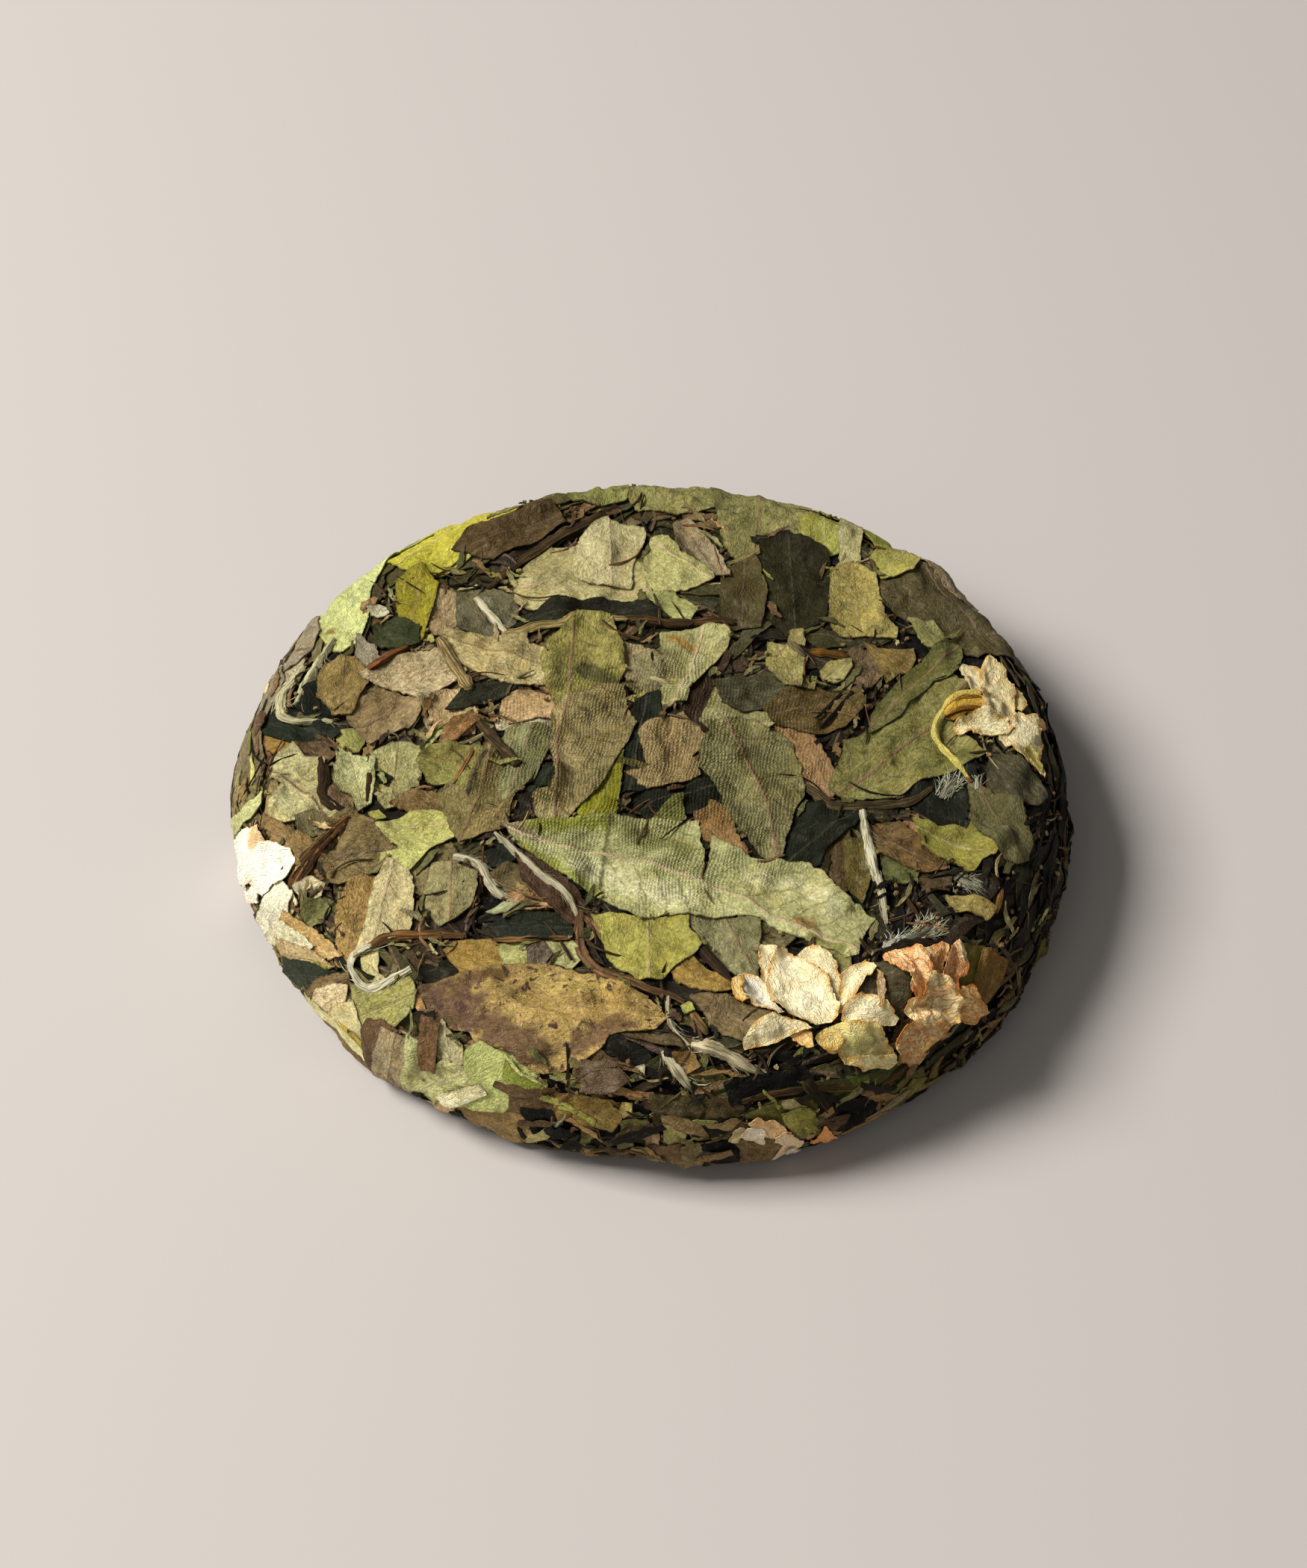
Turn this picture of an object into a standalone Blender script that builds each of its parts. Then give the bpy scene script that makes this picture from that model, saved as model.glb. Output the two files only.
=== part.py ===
"""A small white tea cake: withered tea leaves, stems and silver buds pressed into a round
disc, with five jasmine flowers pressed into its top and rim.

Everything is placed in millimetres and turned into metres when a mesh is made. +Z is up,
the cake rests on z = 0 round the origin, and -Y is the side that shows best.
"""

import math
import random

import bpy
import numpy as np

# ---------------------------------------------------------------- driving dimensions, mm
CAKE_RADIUS = 54.0
CAKE_THICKNESS = 19.0
FLAT_RADIUS = 44.0          # the top is nearly flat out to here
DOME = 0.5                  # how much higher the middle of the top is
WIDEST_HEIGHT = 6.8         # the rim bulges most a third of the way up
SHOULDER_POWER = 2.3        # 2 would be a plain ellipse
FOOT_RADIUS = 49.0
COVER = 1.1                 # depth of the leaves that cover the core
ROOT = 0.45                 # how far a leaf reaches down into the core
RIB = 0.16                  # a leaf stands this much higher along its middle
WAVE = 0.14                 # and its edges wave this much
TOP_RIPPLE = 0.22           # uneven pressing of the top
GAP = 0.32                  # air under a flower
SIDES = 48                  # facets round the core
MM = 0.001

# Azimuth in degrees from +X, height in mm and spread in degrees of each place where the
# rim stands out or is set back.
RIM_BUMPS = (
    (139, 0.9, 12), (-150, -1.3, 11), (-134, -0.8, 9), (-107, -1.0, 12), (-70, 0.7, 10),
    (-38, 0.7, 16), (-18, -0.6, 8), (42, -0.6, 12), (90, 0.4, 14), (178, 0.3, 10),
)

# ---------------------------------------------------------------- leaves, stems and buds
# Leaves of the top: base, tip, width, sideways bend, how much of the width is left at the
# base and at the tip (0 is a point), and the height of the upper face over the core.
TOP_LEAVES = {
    "foreground_pale": ((-18.5, -13.0), (25.0, -29.8), 13.6, 0.8, (0.0, 0.25), 1.35),
    "lower_pale": ((-0.6, -27.0), (-0.6, -37.8), 11.5, 0.0, (0.80, 0.15), 0.90),
    "centre_right_olive": ((15.0, -19.2), (11.4, 4.0), 10.4, 0.0, (0.0, 0.70), 1.20),
    "centre_left_tan": ((-12.0, -12.0), (-7.9, 9.8), 8.8, 0.0, (0.05, 0.75), 1.15),
    "upper_yellow": ((-9.2, 8.6), (-8.0, 23.0), 9.2, 0.0, (0.60, 0.35), 1.00),
    "upper_khaki": ((-14.0, 14.6), (-27.5, 17.6), 7.6, 0.5, (0.80, 0.15), 0.90),
    "left_brown_olive": ((-23.9, -15.2), (-20.2, 0.0), 7.0, -0.8, (0.05, 0.60), 1.05),
    "left_olive": ((-25.8, -6.4), (-25.0, 6.0), 7.6, 0.0, (0.30, 0.70), 0.85),
    "crossing_grey_green": ((-18.8, -10.0), (-16.0, 3.6), 4.6, 0.4, (0.10, 0.60), 1.20),
    "centre_orange": ((-1.4, -6.6), (3.4, 4.5), 7.4, 0.0, (0.50, 0.20), 1.10),
    "centre_slate": ((-3.2, -8.0), (-0.6, 8.4), 4.6, 0.0, (0.50, 0.30), 0.80),
    "folded_orange": ((11.8, -18.3), (6.6, -10.4), 3.0, 0.3, (0.05, 0.60), 0.95),
    "yellow_olive_right": ((25.0, -8.0), (34.0, 9.6), 10.0, 0.0, (0.35, 0.30), 1.15),
    "long_olive_right": ((28.4, 4.0), (39.0, 18.2), 3.4, 0.5, (0.50, 0.50), 1.30),
    "orange_fragment": ((22.0, -7.4), (16.6, 2.8), 3.6, 0.4, (0.40, 0.20), 1.00),
    "dark_right": ((19.3, -19.0), (25.3, -10.8), 7.2, 0.0, (0.40, 0.10), 0.75),
    "brown_right": ((27.0, -15.4), (35.6, -19.7), 4.8, 0.3, (0.70, 0.30), 1.10),
    "yellow_green_right": ((33.2, -14.2), (40.8, -18.6), 5.6, 0.0, (0.50, 0.40), 1.10),
    "olive_grey_right": ((41.2, -7.2), (44.6, -17.8), 5.4, 0.0, (0.35, 0.25), 1.20),
    "grey_crumpled": ((44.6, -4.9), (47.3, -8.4), 3.6, 0.0, (0.60, 0.30), 0.95),
    "khaki_fragment": ((31.2, 17.4), (30.6, 12.4), 5.0, 0.0, (0.80, 0.20), 0.90),
    "upper_right_khaki": ((27.6, 20.4), (26.8, 45.0), 7.4, 0.0, (0.80, 0.40), 1.10),
    "upper_right_brown": ((43.0, 18.8), (32.0, 41.5), 12.6, 0.0, (0.25, 0.35), 1.20),
    "upper_sage": ((2.6, 7.0), (6.2, 21.4), 6.4, 0.4, (0.15, 0.60), 1.15),
    "upper_tan": ((1.4, 6.6), (-1.6, 17.6), 4.4, 0.0, (0.30, 0.30), 0.95),
    "far_khaki": ((-17.6, 28.4), (-1.0, 28.4), 7.0, 0.4, (0.60, 0.50), 1.00),
    "far_sage": ((-2.2, 30.4), (-6.0, 41.2), 8.4, 0.0, (0.60, 0.40), 1.15),
    "far_sage_right": ((0.8, 37.6), (5.6, 28.6), 6.4, 0.0, (0.40, 0.50), 1.05),
    "far_pinkish": ((3.8, 41.2), (9.0, 31.8), 4.0, 0.0, (0.40, 0.40), 0.90),
    "mustard_rim": ((-27.6, 33.0), (-20.0, 49.6), 10.6, 0.0, (0.50, 0.60), 1.20),
    "pale_rim_left": ((-41.0, 17.2), (-37.4, 37.6), 8.6, -0.8, (0.30, 0.60), 1.60),
    "mustard_left": ((-30.8, 18.8), (-31.6, 29.0), 4.8, 0.0, (0.30, 0.70), 0.95),
    "tan_brown_left": ((-37.4, 2.8), (-31.2, 8.4), 7.2, 0.0, (0.50, 0.50), 1.00),
    "round_brown_left": ((-39.6, 6.2), (-39.6, 15.2), 5.2, 0.0, (0.50, 0.50), 1.15),
    "cream_tan_left": ((-36.6, 12.0), (-29.0, 13.4), 6.4, 0.0, (0.20, 0.70), 1.00),
    "slate_left": ((-50.4, 6.2), (-41.2, 2.0), 4.6, 0.0, (0.50, 0.40), 0.85),
    "pink_ribbed_left": ((-46.6, -2.6), (-40.6, -12.0), 7.2, 0.0, (0.50, 0.30), 1.10),
    "sage_left": ((-37.6, -0.4), (-37.2, -9.9), 4.6, 0.0, (0.60, 0.30), 1.00),
    "speckled_left": ((-32.4, 0.4), (-33.2, -9.2), 4.8, 0.0, (0.60, 0.40), 0.95),
    "grey_brown_left": ((-40.2, -18.8), (-31.3, -17.0), 9.2, 0.0, (0.50, 0.10), 1.25),
    "yellow_green_left": ((-33.6, -15.6), (-25.2, -13.2), 5.4, 0.0, (0.35, 0.50), 1.05),
    "tan_lower_left": ((-36.2, -21.9), (-37.4, -33.4), 4.2, 0.0, (0.60, 0.20), 1.10),
    "cream_lower_left": ((-32.4, -19.8), (-34.8, -32.4), 4.6, -0.5, (0.15, 0.15), 1.25),
    "olive_lower_left": ((-37.0, -37.0), (-30.6, -39.6), 4.0, 0.0, (0.40, 0.50), 0.95),
    "gold_mottled_front": ((-28.8, -39.8), (1.0, -43.6), 12.8, 1.2, (0.10, 0.35), 1.30),
    "pale_front_rim": ((-22.0, -46.4), (-14.0, -50.6), 3.2, 0.0, (0.30, 0.40), 1.50),
    "mottled_lower_left": ((-26.6, -20.2), (-24.6, -29.2), 4.2, 0.0, (0.30, 0.50), 1.00),
    "ochre_triangle": ((-24.2, -34.2), (-17.0, -35.4), 3.4, 0.0, (0.60, 0.10), 0.90),
    "slate_front": ((-19.2, -29.4), (-10.4, -29.8), 3.8, 0.0, (0.50, 0.50), 0.80),
    "grey_sage_front": ((8.4, -28.6), (9.4, -35.6), 4.8, 0.0, (0.60, 0.20), 0.90),
    "ochre_front": ((3.6, -35.6), (7.8, -39.2), 3.4, 0.0, (0.50, 0.50), 1.00),
    "brown_front": ((5.4, -41.8), (8.6, -44.4), 3.0, 0.0, (0.50, 0.40), 0.80),
    "brown_upper_right": ((15.6, 5.4), (25.8, 8.0), 6.0, 0.0, (0.50, 0.40), 0.95),
    "slate_upper_right": ((9.0, 9.2), (17.6, 9.6), 5.4, 0.0, (0.50, 0.20), 0.80),
    "sage_upper_right": ((17.9, 10.3), (16.4, 18.0), 3.6, 0.0, (0.30, 0.40), 1.10),
    "small_sage": ((22.6, 11.9), (24.4, 15.0), 3.2, 0.0, (0.50, 0.80), 1.00),
    "far_olive_right": ((12.6, 30.0), (13.8, 50.6), 10.0, 0.0, (0.50, 0.60), 0.95),
    "far_olive_left": ((-9.8, 44.2), (-6.2, 52.2), 6.0, 0.0, (0.50, 0.60), 1.10),
    "dark_upper_right": ((19.4, 20.6), (19.6, 36.6), 6.6, 0.0, (0.50, 0.50), 0.70),
}
# Stems, twigs and silver buds: the points they pass through, width and height.
STEMS = {
    "thick_stick": (((-38.6, -13.6), (-41.6, -17.4), (-45.2, -21.9)), 1.9, 2.0),
    "cut_stick": (((-22.3, 4.4), (-19.8, 0.6), (-17.3, -3.1)), 1.7, 1.8),
    "wavy_stem": (((-9.0, -27.6), (-9.1, -31.4), (-8.5, -34.2), (-5.0, -37.6), (0.0, -39.6),
                   (3.4, -41.0)), 1.2, 1.8),
    "long_twig": (((16.9, -5.4), (20.0, -7.5), (23.2, -9.7), (29.0, -9.6), (32.2, -8.9),
                   (35.2, -6.7)), 1.4, 1.6),
    "curved_stem": (((-19.6, 20.2), (-15.1, 21.4), (-10.6, 22.8), (0.0, 22.6),
                     (10.4, 22.2)), 1.3, 1.7),
    "dark_stem": (((-5.0, 44.0), (-12.0, 38.4), (-21.8, 29.2)), 1.5, 1.6),
    "silver_front": (((1.7, -40.2), (2.2, -45.0), (4.4, -47.4), (8.0, -47.9)), 1.2, 1.6),
    "silver_short": (((1.0, -48.0), (4.3, -51.2)), 1.5, 1.6),
    "silver_right": (((26.0, -11.0), (26.9, -18.2), (28.0, -24.0), (28.8, -28.0)), 1.5, 1.9),
    "silver_curl": (((-29.6, -36.2), (-33.6, -37.5), (-36.4, -35.6), (-36.7, -33.4),
                     (-34.2, -32.5)), 1.1, 1.7),
    "silver_centre": (((-20.2, -13.8), (-15.2, -20.0), (-10.6, -24.8), (-9.4, -27.6)),
                      1.3, 1.6),
    "grey_curl": (((-24.8, -18.2), (-21.6, -20.0), (-19.8, -23.4), (-17.6, -25.8)), 1.4, 1.6),
    "left_dark_stem": (((-42.0, -2.6), (-41.6, -8.0), (-38.0, -11.1)), 1.5, 1.6),
    "cream_curl": (((-41.8, 19.6), (-44.2, 13.0), (-46.6, 6.6), (-44.4, 4.4),
                    (-41.2, 4.1)), 1.4, 1.8),
    "lower_stick": (((-33.8, -32.2), (-28.2, -30.6), (-22.9, -30.8)), 1.4, 1.8),
}
# Leaves of the side wall that show: azimuth and drop below the shoulder of the base and
# of the tip, width, and height over the core.
WALL_LEAVES = {
    "wall_pale": ((-114.5, 5.5), (-115.5, 16.5), 7.4, 1.5),
    "wall_grey": ((-130.0, 8.0), (-127.5, 19.0), 4.6, 1.0),
    "wall_olive": ((-123.5, 8.0), (-120.5, 20.0), 4.8, 1.2),
    "wall_slate": ((-137.5, 6.5), (-147.5, 14.5), 3.6, 1.2),
    "wall_brown": ((-102.0, 9.0), (-111.0, 17.5), 4.8, 1.0),
    "wall_small_green": ((-89.0, 9.5), (-83.0, 16.0), 4.6, 1.1),
    "wall_dark_brown": ((-91.0, 13.5), (-86.0, 21.5), 4.8, 0.8),
}
# Stretches of the rim that the flowers hang over, where no leaf is laid: azimuth limits,
# and the drop below the shoulder that they reach.
FLOWER_STRETCHES = ((-186, -155, 26.0), (-79, -38, 26.0), (-9, 16, 10.0))
WALL_ROWS = ((6.0, 12.0, 4.6), (12.0, 15.0, 5.2), (17.0, 13.0, 4.2))   # drop, length, width
WALL_STEP = 17.0            # degrees between the leaves of one row

# ---------------------------------------------------------------- flowers
# Petals: base, tip, width and height of the upper face over the air gap.
FRONT_PETALS = (
    ((19.4, -43.4), (16.8, -33.4), 7.6, 1.25), ((17.0, -41.4), (13.6, -32.9), 4.4, 0.95),
    ((21.0, -42.4), (19.4, -32.7), 4.6, 0.85), ((21.4, -42.6), (25.9, -35.3), 3.4, 0.95),
    ((20.6, -43.0), (27.6, -41.6), 3.8, 0.80), ((19.0, -43.8), (26.6, -44.2), 3.6, 1.05),
    ((18.6, -43.6), (10.7, -47.0), 3.4, 0.90), ((17.6, -43.4), (10.4, -38.6), 4.6, 1.10),
)
FRONT_HANGING_PETAL = ((21.0, -43.4), (23.6, -48.2), 6.4, 0.9)
BROWN_PETALS = (
    ((33.6, -38.6), (29.4, -34.5), 4.2, 1.00), ((33.4, -39.0), (34.2, -32.4), 4.2, 0.80),
    ((34.2, -39.2), (36.4, -31.9), 2.8, 1.20), ((34.0, -39.4), (39.0, -35.8), 3.4, 0.90),
    ((35.2, -38.2), (30.6, -41.8), 4.2, 1.15), ((33.0, -39.2), (36.6, -39.2), 3.6, 0.95),
)
RIGHT_PETALS = (
    ((42.6, 6.0), (43.4, 15.6), 4.2, 1.20), ((42.4, 7.0), (40.6, 14.6), 2.8, 0.85),
    ((43.2, 6.4), (47.2, 10.6), 3.4, 0.95), ((43.0, 6.0), (48.4, 6.2), 2.8, 0.85),
    ((44.4, 6.2), (48.8, -3.2), 4.4, 1.05), ((44.8, 4.8), (38.9, 3.9), 3.0, 1.10),
    ((43.4, 7.0), (37.4, 5.6), 4.2, 0.90),
)
RIGHT_STALK = ((37.8, 5.9), (36.2, 5.0), (35.7, 3.0), (37.2, 0.0), (39.8, -5.4))
STALK_WIDTH = 1.1
# Petals that hang down the side wall: azimuth and drop of base and tip, width, height.
LEFT_PETALS = (
    ((-159.5, 2.6), (-171.5, 14.5), 8.4, 1.20), ((-160.5, 4.0), (-177.5, 10.0), 5.4, 0.90),
    ((-161.0, 7.0), (-174.0, 19.0), 5.0, 0.95), ((-161.0, 5.4), (-173.5, 8.4), 3.0, 1.05),
)
RIM_PETALS = (
    ((-76.5, 13.5), (-71.5, 19.5), 2.8, 1.00), ((-75.5, 13.0), (-68.0, 18.5), 2.6, 0.80),
    ((-77.5, 14.5), (-72.0, 13.0), 2.2, 0.70),
)


def clear_scene():
    for obj in list(bpy.data.objects):
        bpy.data.objects.remove(obj, do_unlink=True)


def material(name, color, roughness):
    made = bpy.data.materials.new(name)
    made.use_nodes = True
    shader = made.node_tree.nodes["Principled BSDF"]
    shader.inputs["Base Color"].default_value = (*color, 1.0)
    shader.inputs["Roughness"].default_value = roughness
    shader.inputs["Metallic"].default_value = 0.0
    return made


# ---------------------------------------------------------------- the cake's surface
def cake_profile():
    """Radius and height down the cake's outside, from the middle of the top to the foot."""
    flat = np.linspace(0.0, FLAT_RADIUS, 60)
    turn = np.linspace(0.0, math.pi / 2, 90)
    power = 2.0 / SHOULDER_POWER
    shoulder_height = CAKE_THICKNESS - DOME - WIDEST_HEIGHT
    radius = np.concatenate([
        flat,
        FLAT_RADIUS + (CAKE_RADIUS - FLAT_RADIUS) * np.sin(turn[1:]) ** power,
        FOOT_RADIUS + (CAKE_RADIUS - FOOT_RADIUS) * np.cos(turn[1:]),
    ])
    height = np.concatenate([
        CAKE_THICKNESS - DOME * (flat / FLAT_RADIUS) ** 2,
        WIDEST_HEIGHT + shoulder_height * np.maximum(np.cos(turn[1:]), 0.0) ** power,
        WIDEST_HEIGHT * (1.0 - np.sin(turn[1:])),
    ])
    return radius, height


PROFILE_RADIUS, PROFILE_HEIGHT = cake_profile()
PROFILE_STEPS = np.hypot(np.diff(PROFILE_RADIUS), np.diff(PROFILE_HEIGHT))
PROFILE_ARC = np.concatenate([[0.0], np.cumsum(PROFILE_STEPS)])
WIDEST_ROW = int(np.argmax(PROFILE_RADIUS))
WIDEST_ARC = float(PROFILE_ARC[WIDEST_ROW])
FOOT_ARC = float(PROFILE_ARC[-1])


def rim_bump(azimuth):
    """How far the rim stands out (mm) at this azimuth in degrees."""
    total = 0.0
    for centre, height, spread in RIM_BUMPS:
        away = (azimuth - centre + 180.0) % 360.0 - 180.0
        total += height * math.exp(-0.5 * (away / spread) ** 2)
    return total


def ripple(x, y):
    return TOP_RIPPLE * math.sin(x / 8.0 + 0.7) * math.cos(y / 10.0 - 0.4)


def surface(azimuth, arc, lift):
    """The point `lift` mm over the core, `arc` mm down the profile, at this azimuth."""
    radius = float(np.interp(arc, PROFILE_ARC, PROFILE_RADIUS))
    height = float(np.interp(arc, PROFILE_ARC, PROFILE_HEIGHT))
    if arc < WIDEST_ARC:
        near = np.interp([arc - 0.4, arc + 0.4], PROFILE_ARC, PROFILE_RADIUS)
        beside = np.interp([arc - 0.4, arc + 0.4], PROFILE_ARC, PROFILE_HEIGHT)
        run, fall = float(near[1] - near[0]), float(beside[1] - beside[0])
        length = math.hypot(run, fall)
        outward, upward = -fall / length, run / length
    else:
        outward, upward = 1.0, 0.0
    share = min(radius / CAKE_RADIUS, 1.0)
    radius += rim_bump(math.degrees(azimuth)) * share ** 8 + (lift - COVER) * outward
    x, y = radius * math.cos(azimuth), radius * math.sin(azimuth)
    height += (lift - COVER) * upward + ripple(x, y) * upward ** 4
    return (x, y, height)


def on_top(x, y, lift):
    """A point seen from above at x, y: on the top, or on the shoulder near the rim."""
    radius = min(math.hypot(x, y), CAKE_RADIUS - 0.05)
    rows = slice(0, WIDEST_ROW + 1)
    arc = float(np.interp(radius, PROFILE_RADIUS[rows], PROFILE_ARC[rows]))
    return surface(math.atan2(y, x), arc, lift)


def on_wall(along, rise, lift):
    """A point of the side wall: mm along the rim from +X, and mm up from the shoulder."""
    arc = min(FLAT_RADIUS - rise, FOOT_ARC - 1.6)
    return surface(along / CAKE_RADIUS, arc, lift)


def wall_place(azimuth, drop):
    return (math.radians(azimuth) * CAKE_RADIUS, -drop)


# ---------------------------------------------------------------- meshes
def new_object(name, verts, faces, coat=None):
    mesh = bpy.data.meshes.new(name)
    mesh.from_pydata([(x * MM, y * MM, z * MM) for x, y, z in verts], [], faces)
    mesh.validate()
    obj = bpy.data.objects.new(name, mesh)
    bpy.context.scene.collection.objects.link(obj)
    if coat:
        mesh.materials.append(coat)
    return obj


def slab(name, rows, upper, lower, place):
    """A closed thin body between two faces of the same triangles.

    rows runs from base to tip, each row a list of (x, y, height over `upper`), and every
    row has the same count. `place` lays a point at a height over the core.
    """
    across, count = len(rows[0]), len(rows)
    top = [place(x, y, upper + extra) for row in rows for x, y, extra in row]
    under = [place(x, y, lower) for row in rows for x, y, extra in row]
    size = len(top)
    faces = []
    for i in range(count - 1):
        for j in range(across - 1):
            a = i * across + j
            b, c, d = a + 1, a + across + 1, a + across
            faces += [(a, d, c), (a, c, b)]
            faces += [(size + a, size + c, size + d), (size + a, size + b, size + c)]
    edge = [j for j in range(across)]
    edge += [i * across + across - 1 for i in range(1, count)]
    edge += [(count - 1) * across + j for j in range(across - 2, -1, -1)]
    edge += [i * across for i in range(count - 2, 0, -1)]
    for a, b in zip(edge, edge[1:] + edge[:1]):
        faces += [(a, b, size + b), (a, size + b, size + a)]
    return new_object(name, top + under, faces)


def half_width(t, cut_base, cut_tip, widest=0.45):
    """Share of the full half width, rising from the base to 1 and falling to the tip."""
    if t < widest:
        return cut_base + (1.0 - cut_base) * math.sin(t / widest * math.pi / 2) ** 0.8
    fall = (t - widest) / (1.0 - widest)
    return cut_tip + (1.0 - cut_tip) * max(math.cos(fall * math.pi / 2), 0.0) ** 0.8


def leaf_rows(base, tip, width, bend, cuts, draw, stations, widest=0.45):
    """Rows of three points across a leaf, with a raised middle and waving edges."""
    run, rise = tip[0] - base[0], tip[1] - base[1]
    length = math.hypot(run, rise)
    left = (-rise / length, run / length)
    phase = draw.uniform(0.0, 6.28)
    rows = []
    for i in range(stations + 1):
        t = i / stations
        bow = bend * math.sin(math.pi * t)
        x = base[0] + run * t + left[0] * bow
        y = base[1] + rise * t + left[1] * bow
        half = max(half_width(t, *cuts, widest=widest) * width / 2, 0.14)
        wave = WAVE * math.sin(1.9 * i + phase)
        rows.append([
            (x - left[0] * half, y - left[1] * half, -wave),
            (x, y, RIB),
            (x + left[0] * half, y + left[1] * half, wave),
        ])
    return rows


def leaf(name, base, tip, width, bend, cuts, lift, draw, place=on_top, lower=-ROOT):
    length = math.dist(base, tip)
    stations = 3 if length < 9 else 4 if length < 18 else 6
    rows = leaf_rows(base, tip, width, bend, cuts, draw, stations)
    return slab(name, rows, lift, lower, place)


def stem(name, points, width, lift, place=on_top, lower=-ROOT):
    """A round-backed strip through the points."""
    rows = []
    for i, (x, y) in enumerate(points):
        before, after = points[max(i - 1, 0)], points[min(i + 1, len(points) - 1)]
        run, rise = after[0] - before[0], after[1] - before[1]
        length = math.hypot(run, rise)
        side = (-rise / length * width / 2, run / length * width / 2)
        rows.append([(x - side[0], y - side[1], -0.45), (x, y, 0.0),
                     (x + side[0], y + side[1], -0.45)])
    return slab(name, rows, lift, lower, place)


def cake_core(coat):
    """The bare pressed disc under the leaves, flat where it rests."""
    arcs = [16.0, 30.0, 39.0, FLAT_RADIUS]
    arcs += [FLAT_RADIUS + (WIDEST_ARC - FLAT_RADIUS) * k / 5 for k in range(1, 6)]
    arcs += [WIDEST_ARC + (FOOT_ARC - WIDEST_ARC) * k / 3 for k in range(1, 4)]
    verts = [surface(0.0, 0.0, 0.0), (0.0, 0.0, 0.0)]
    for arc in arcs:
        for k in range(SIDES):
            x, y, z = surface(2 * math.pi * k / SIDES, arc, 0.0)
            verts.append((x, y, max(z, 0.0)))
    faces = []
    for k in range(SIDES):
        k2 = (k + 1) % SIDES
        faces.append((0, 2 + k, 2 + k2))
        for ring in range(len(arcs) - 1):
            a, b = 2 + ring * SIDES, 2 + (ring + 1) * SIDES
            faces.append((a + k, b + k, b + k2, a + k2))
        last = 2 + (len(arcs) - 1) * SIDES
        faces.append((1, last + k2, last + k))
    return new_object("tea_cake", verts, faces, coat)


def in_flower_stretch(azimuth, drop):
    for low, high, reached in FLOWER_STRETCHES:
        if drop < reached and (low < azimuth < high or low < azimuth - 360 < high):
            return True
    return False


def wall_fill(draw):
    """Rows of leaves lying along the side wall, wherever no named leaf or flower is."""
    pieces = []
    named = [place for leaf_ in WALL_LEAVES.values() for place in (leaf_[0][0], leaf_[1][0])]
    for row, (drop, length, width) in enumerate(WALL_ROWS):
        count = int(360 / WALL_STEP)
        for k in range(count):
            azimuth = -180.0 + (k + 0.33 * row) * 360.0 / count + draw.uniform(-4, 4)
            middle = drop + draw.uniform(-1.2, 1.2)
            half = length * draw.uniform(0.8, 1.2) / 2
            slope = math.radians(draw.uniform(-38, 38))
            wide = width * draw.uniform(0.8, 1.2)
            lift = draw.uniform(0.75, 1.35)
            reach = math.degrees(half / CAKE_RADIUS) + 3.0
            ends = (azimuth - reach, azimuth, azimuth + reach)
            if any(in_flower_stretch(end, middle) for end in ends):
                continue
            if row and any(abs(azimuth - place) < 7.0 for place in named):
                continue
            along = math.radians(azimuth) * CAKE_RADIUS
            shift = (half * math.cos(slope), half * math.sin(slope))
            base = (along - shift[0], shift[1] - middle)
            tip = (along + shift[0], -shift[1] - middle)
            name = f"wall_{row}_{k}"
            pieces.append(leaf(name, base, tip, wide, 0.0, (0.2, 0.2), lift, draw, on_wall))
    return pieces


def keep_outer_body(obj):
    """Drops loose scraps and the skins of sealed hollows, keeping the largest body."""
    mesh = obj.data
    parent = list(range(len(mesh.vertices)))

    def root(i):
        while parent[i] != i:
            parent[i] = parent[parent[i]]
            i = parent[i]
        return i

    for edge in mesh.edges:
        parent[root(edge.vertices[0])] = root(edge.vertices[1])
    groups = {}
    for i in range(len(mesh.vertices)):
        groups.setdefault(root(i), []).append(i)
    kept = set(max(groups.values(), key=len))
    index = {old: new for new, old in enumerate(sorted(kept))}
    verts = [tuple(mesh.vertices[i].co) for i in sorted(kept)]
    faces = [tuple(index[i] for i in face.vertices) for face in mesh.polygons
             if face.vertices[0] in kept]
    clean = bpy.data.meshes.new(obj.name)
    clean.from_pydata(verts, [], faces)
    for slot in mesh.materials:
        clean.materials.append(slot)
    obj.data = clean


def join(body, pieces):
    """One Boolean union of the pieces onto the body, applied, with the pieces removed."""
    group = bpy.data.collections.new(body.name + "_pieces")
    bpy.context.scene.collection.children.link(group)
    for piece in pieces:
        bpy.context.scene.collection.objects.unlink(piece)
        group.objects.link(piece)
    union = body.modifiers.new("union", "BOOLEAN")
    union.operation = "UNION"
    union.operand_type = "COLLECTION"
    union.collection = group
    union.solver = "MANIFOLD"
    graph = bpy.context.evaluated_depsgraph_get()
    joined = bpy.data.meshes.new_from_object(body.evaluated_get(graph))
    body.modifiers.clear()
    body.data = joined
    for piece in pieces:
        bpy.data.objects.remove(piece, do_unlink=True)
    bpy.data.collections.remove(group)
    keep_outer_body(body)
    body.data.shade_smooth()
    body.data.set_sharp_from_angle(angle=math.radians(35))
    return body


def build_cake(draw):
    coat = material("pressed_leaves", (0.30, 0.27, 0.14), 0.75)
    pieces = []
    for name, (base, tip, width, bend, cuts, lift) in TOP_LEAVES.items():
        pieces.append(leaf(name, base, tip, width, bend, cuts, lift, draw))
    for name, (points, width, lift) in STEMS.items():
        pieces.append(stem(name, points, width, lift))
    for name, (base, tip, width, lift) in WALL_LEAVES.items():
        ends = (wall_place(*base), wall_place(*tip))
        pieces.append(leaf(name, *ends, width, 0.4, (0.25, 0.15), lift, draw, on_wall))
    pieces += wall_fill(draw)
    return join(cake_core(coat), pieces)


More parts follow.
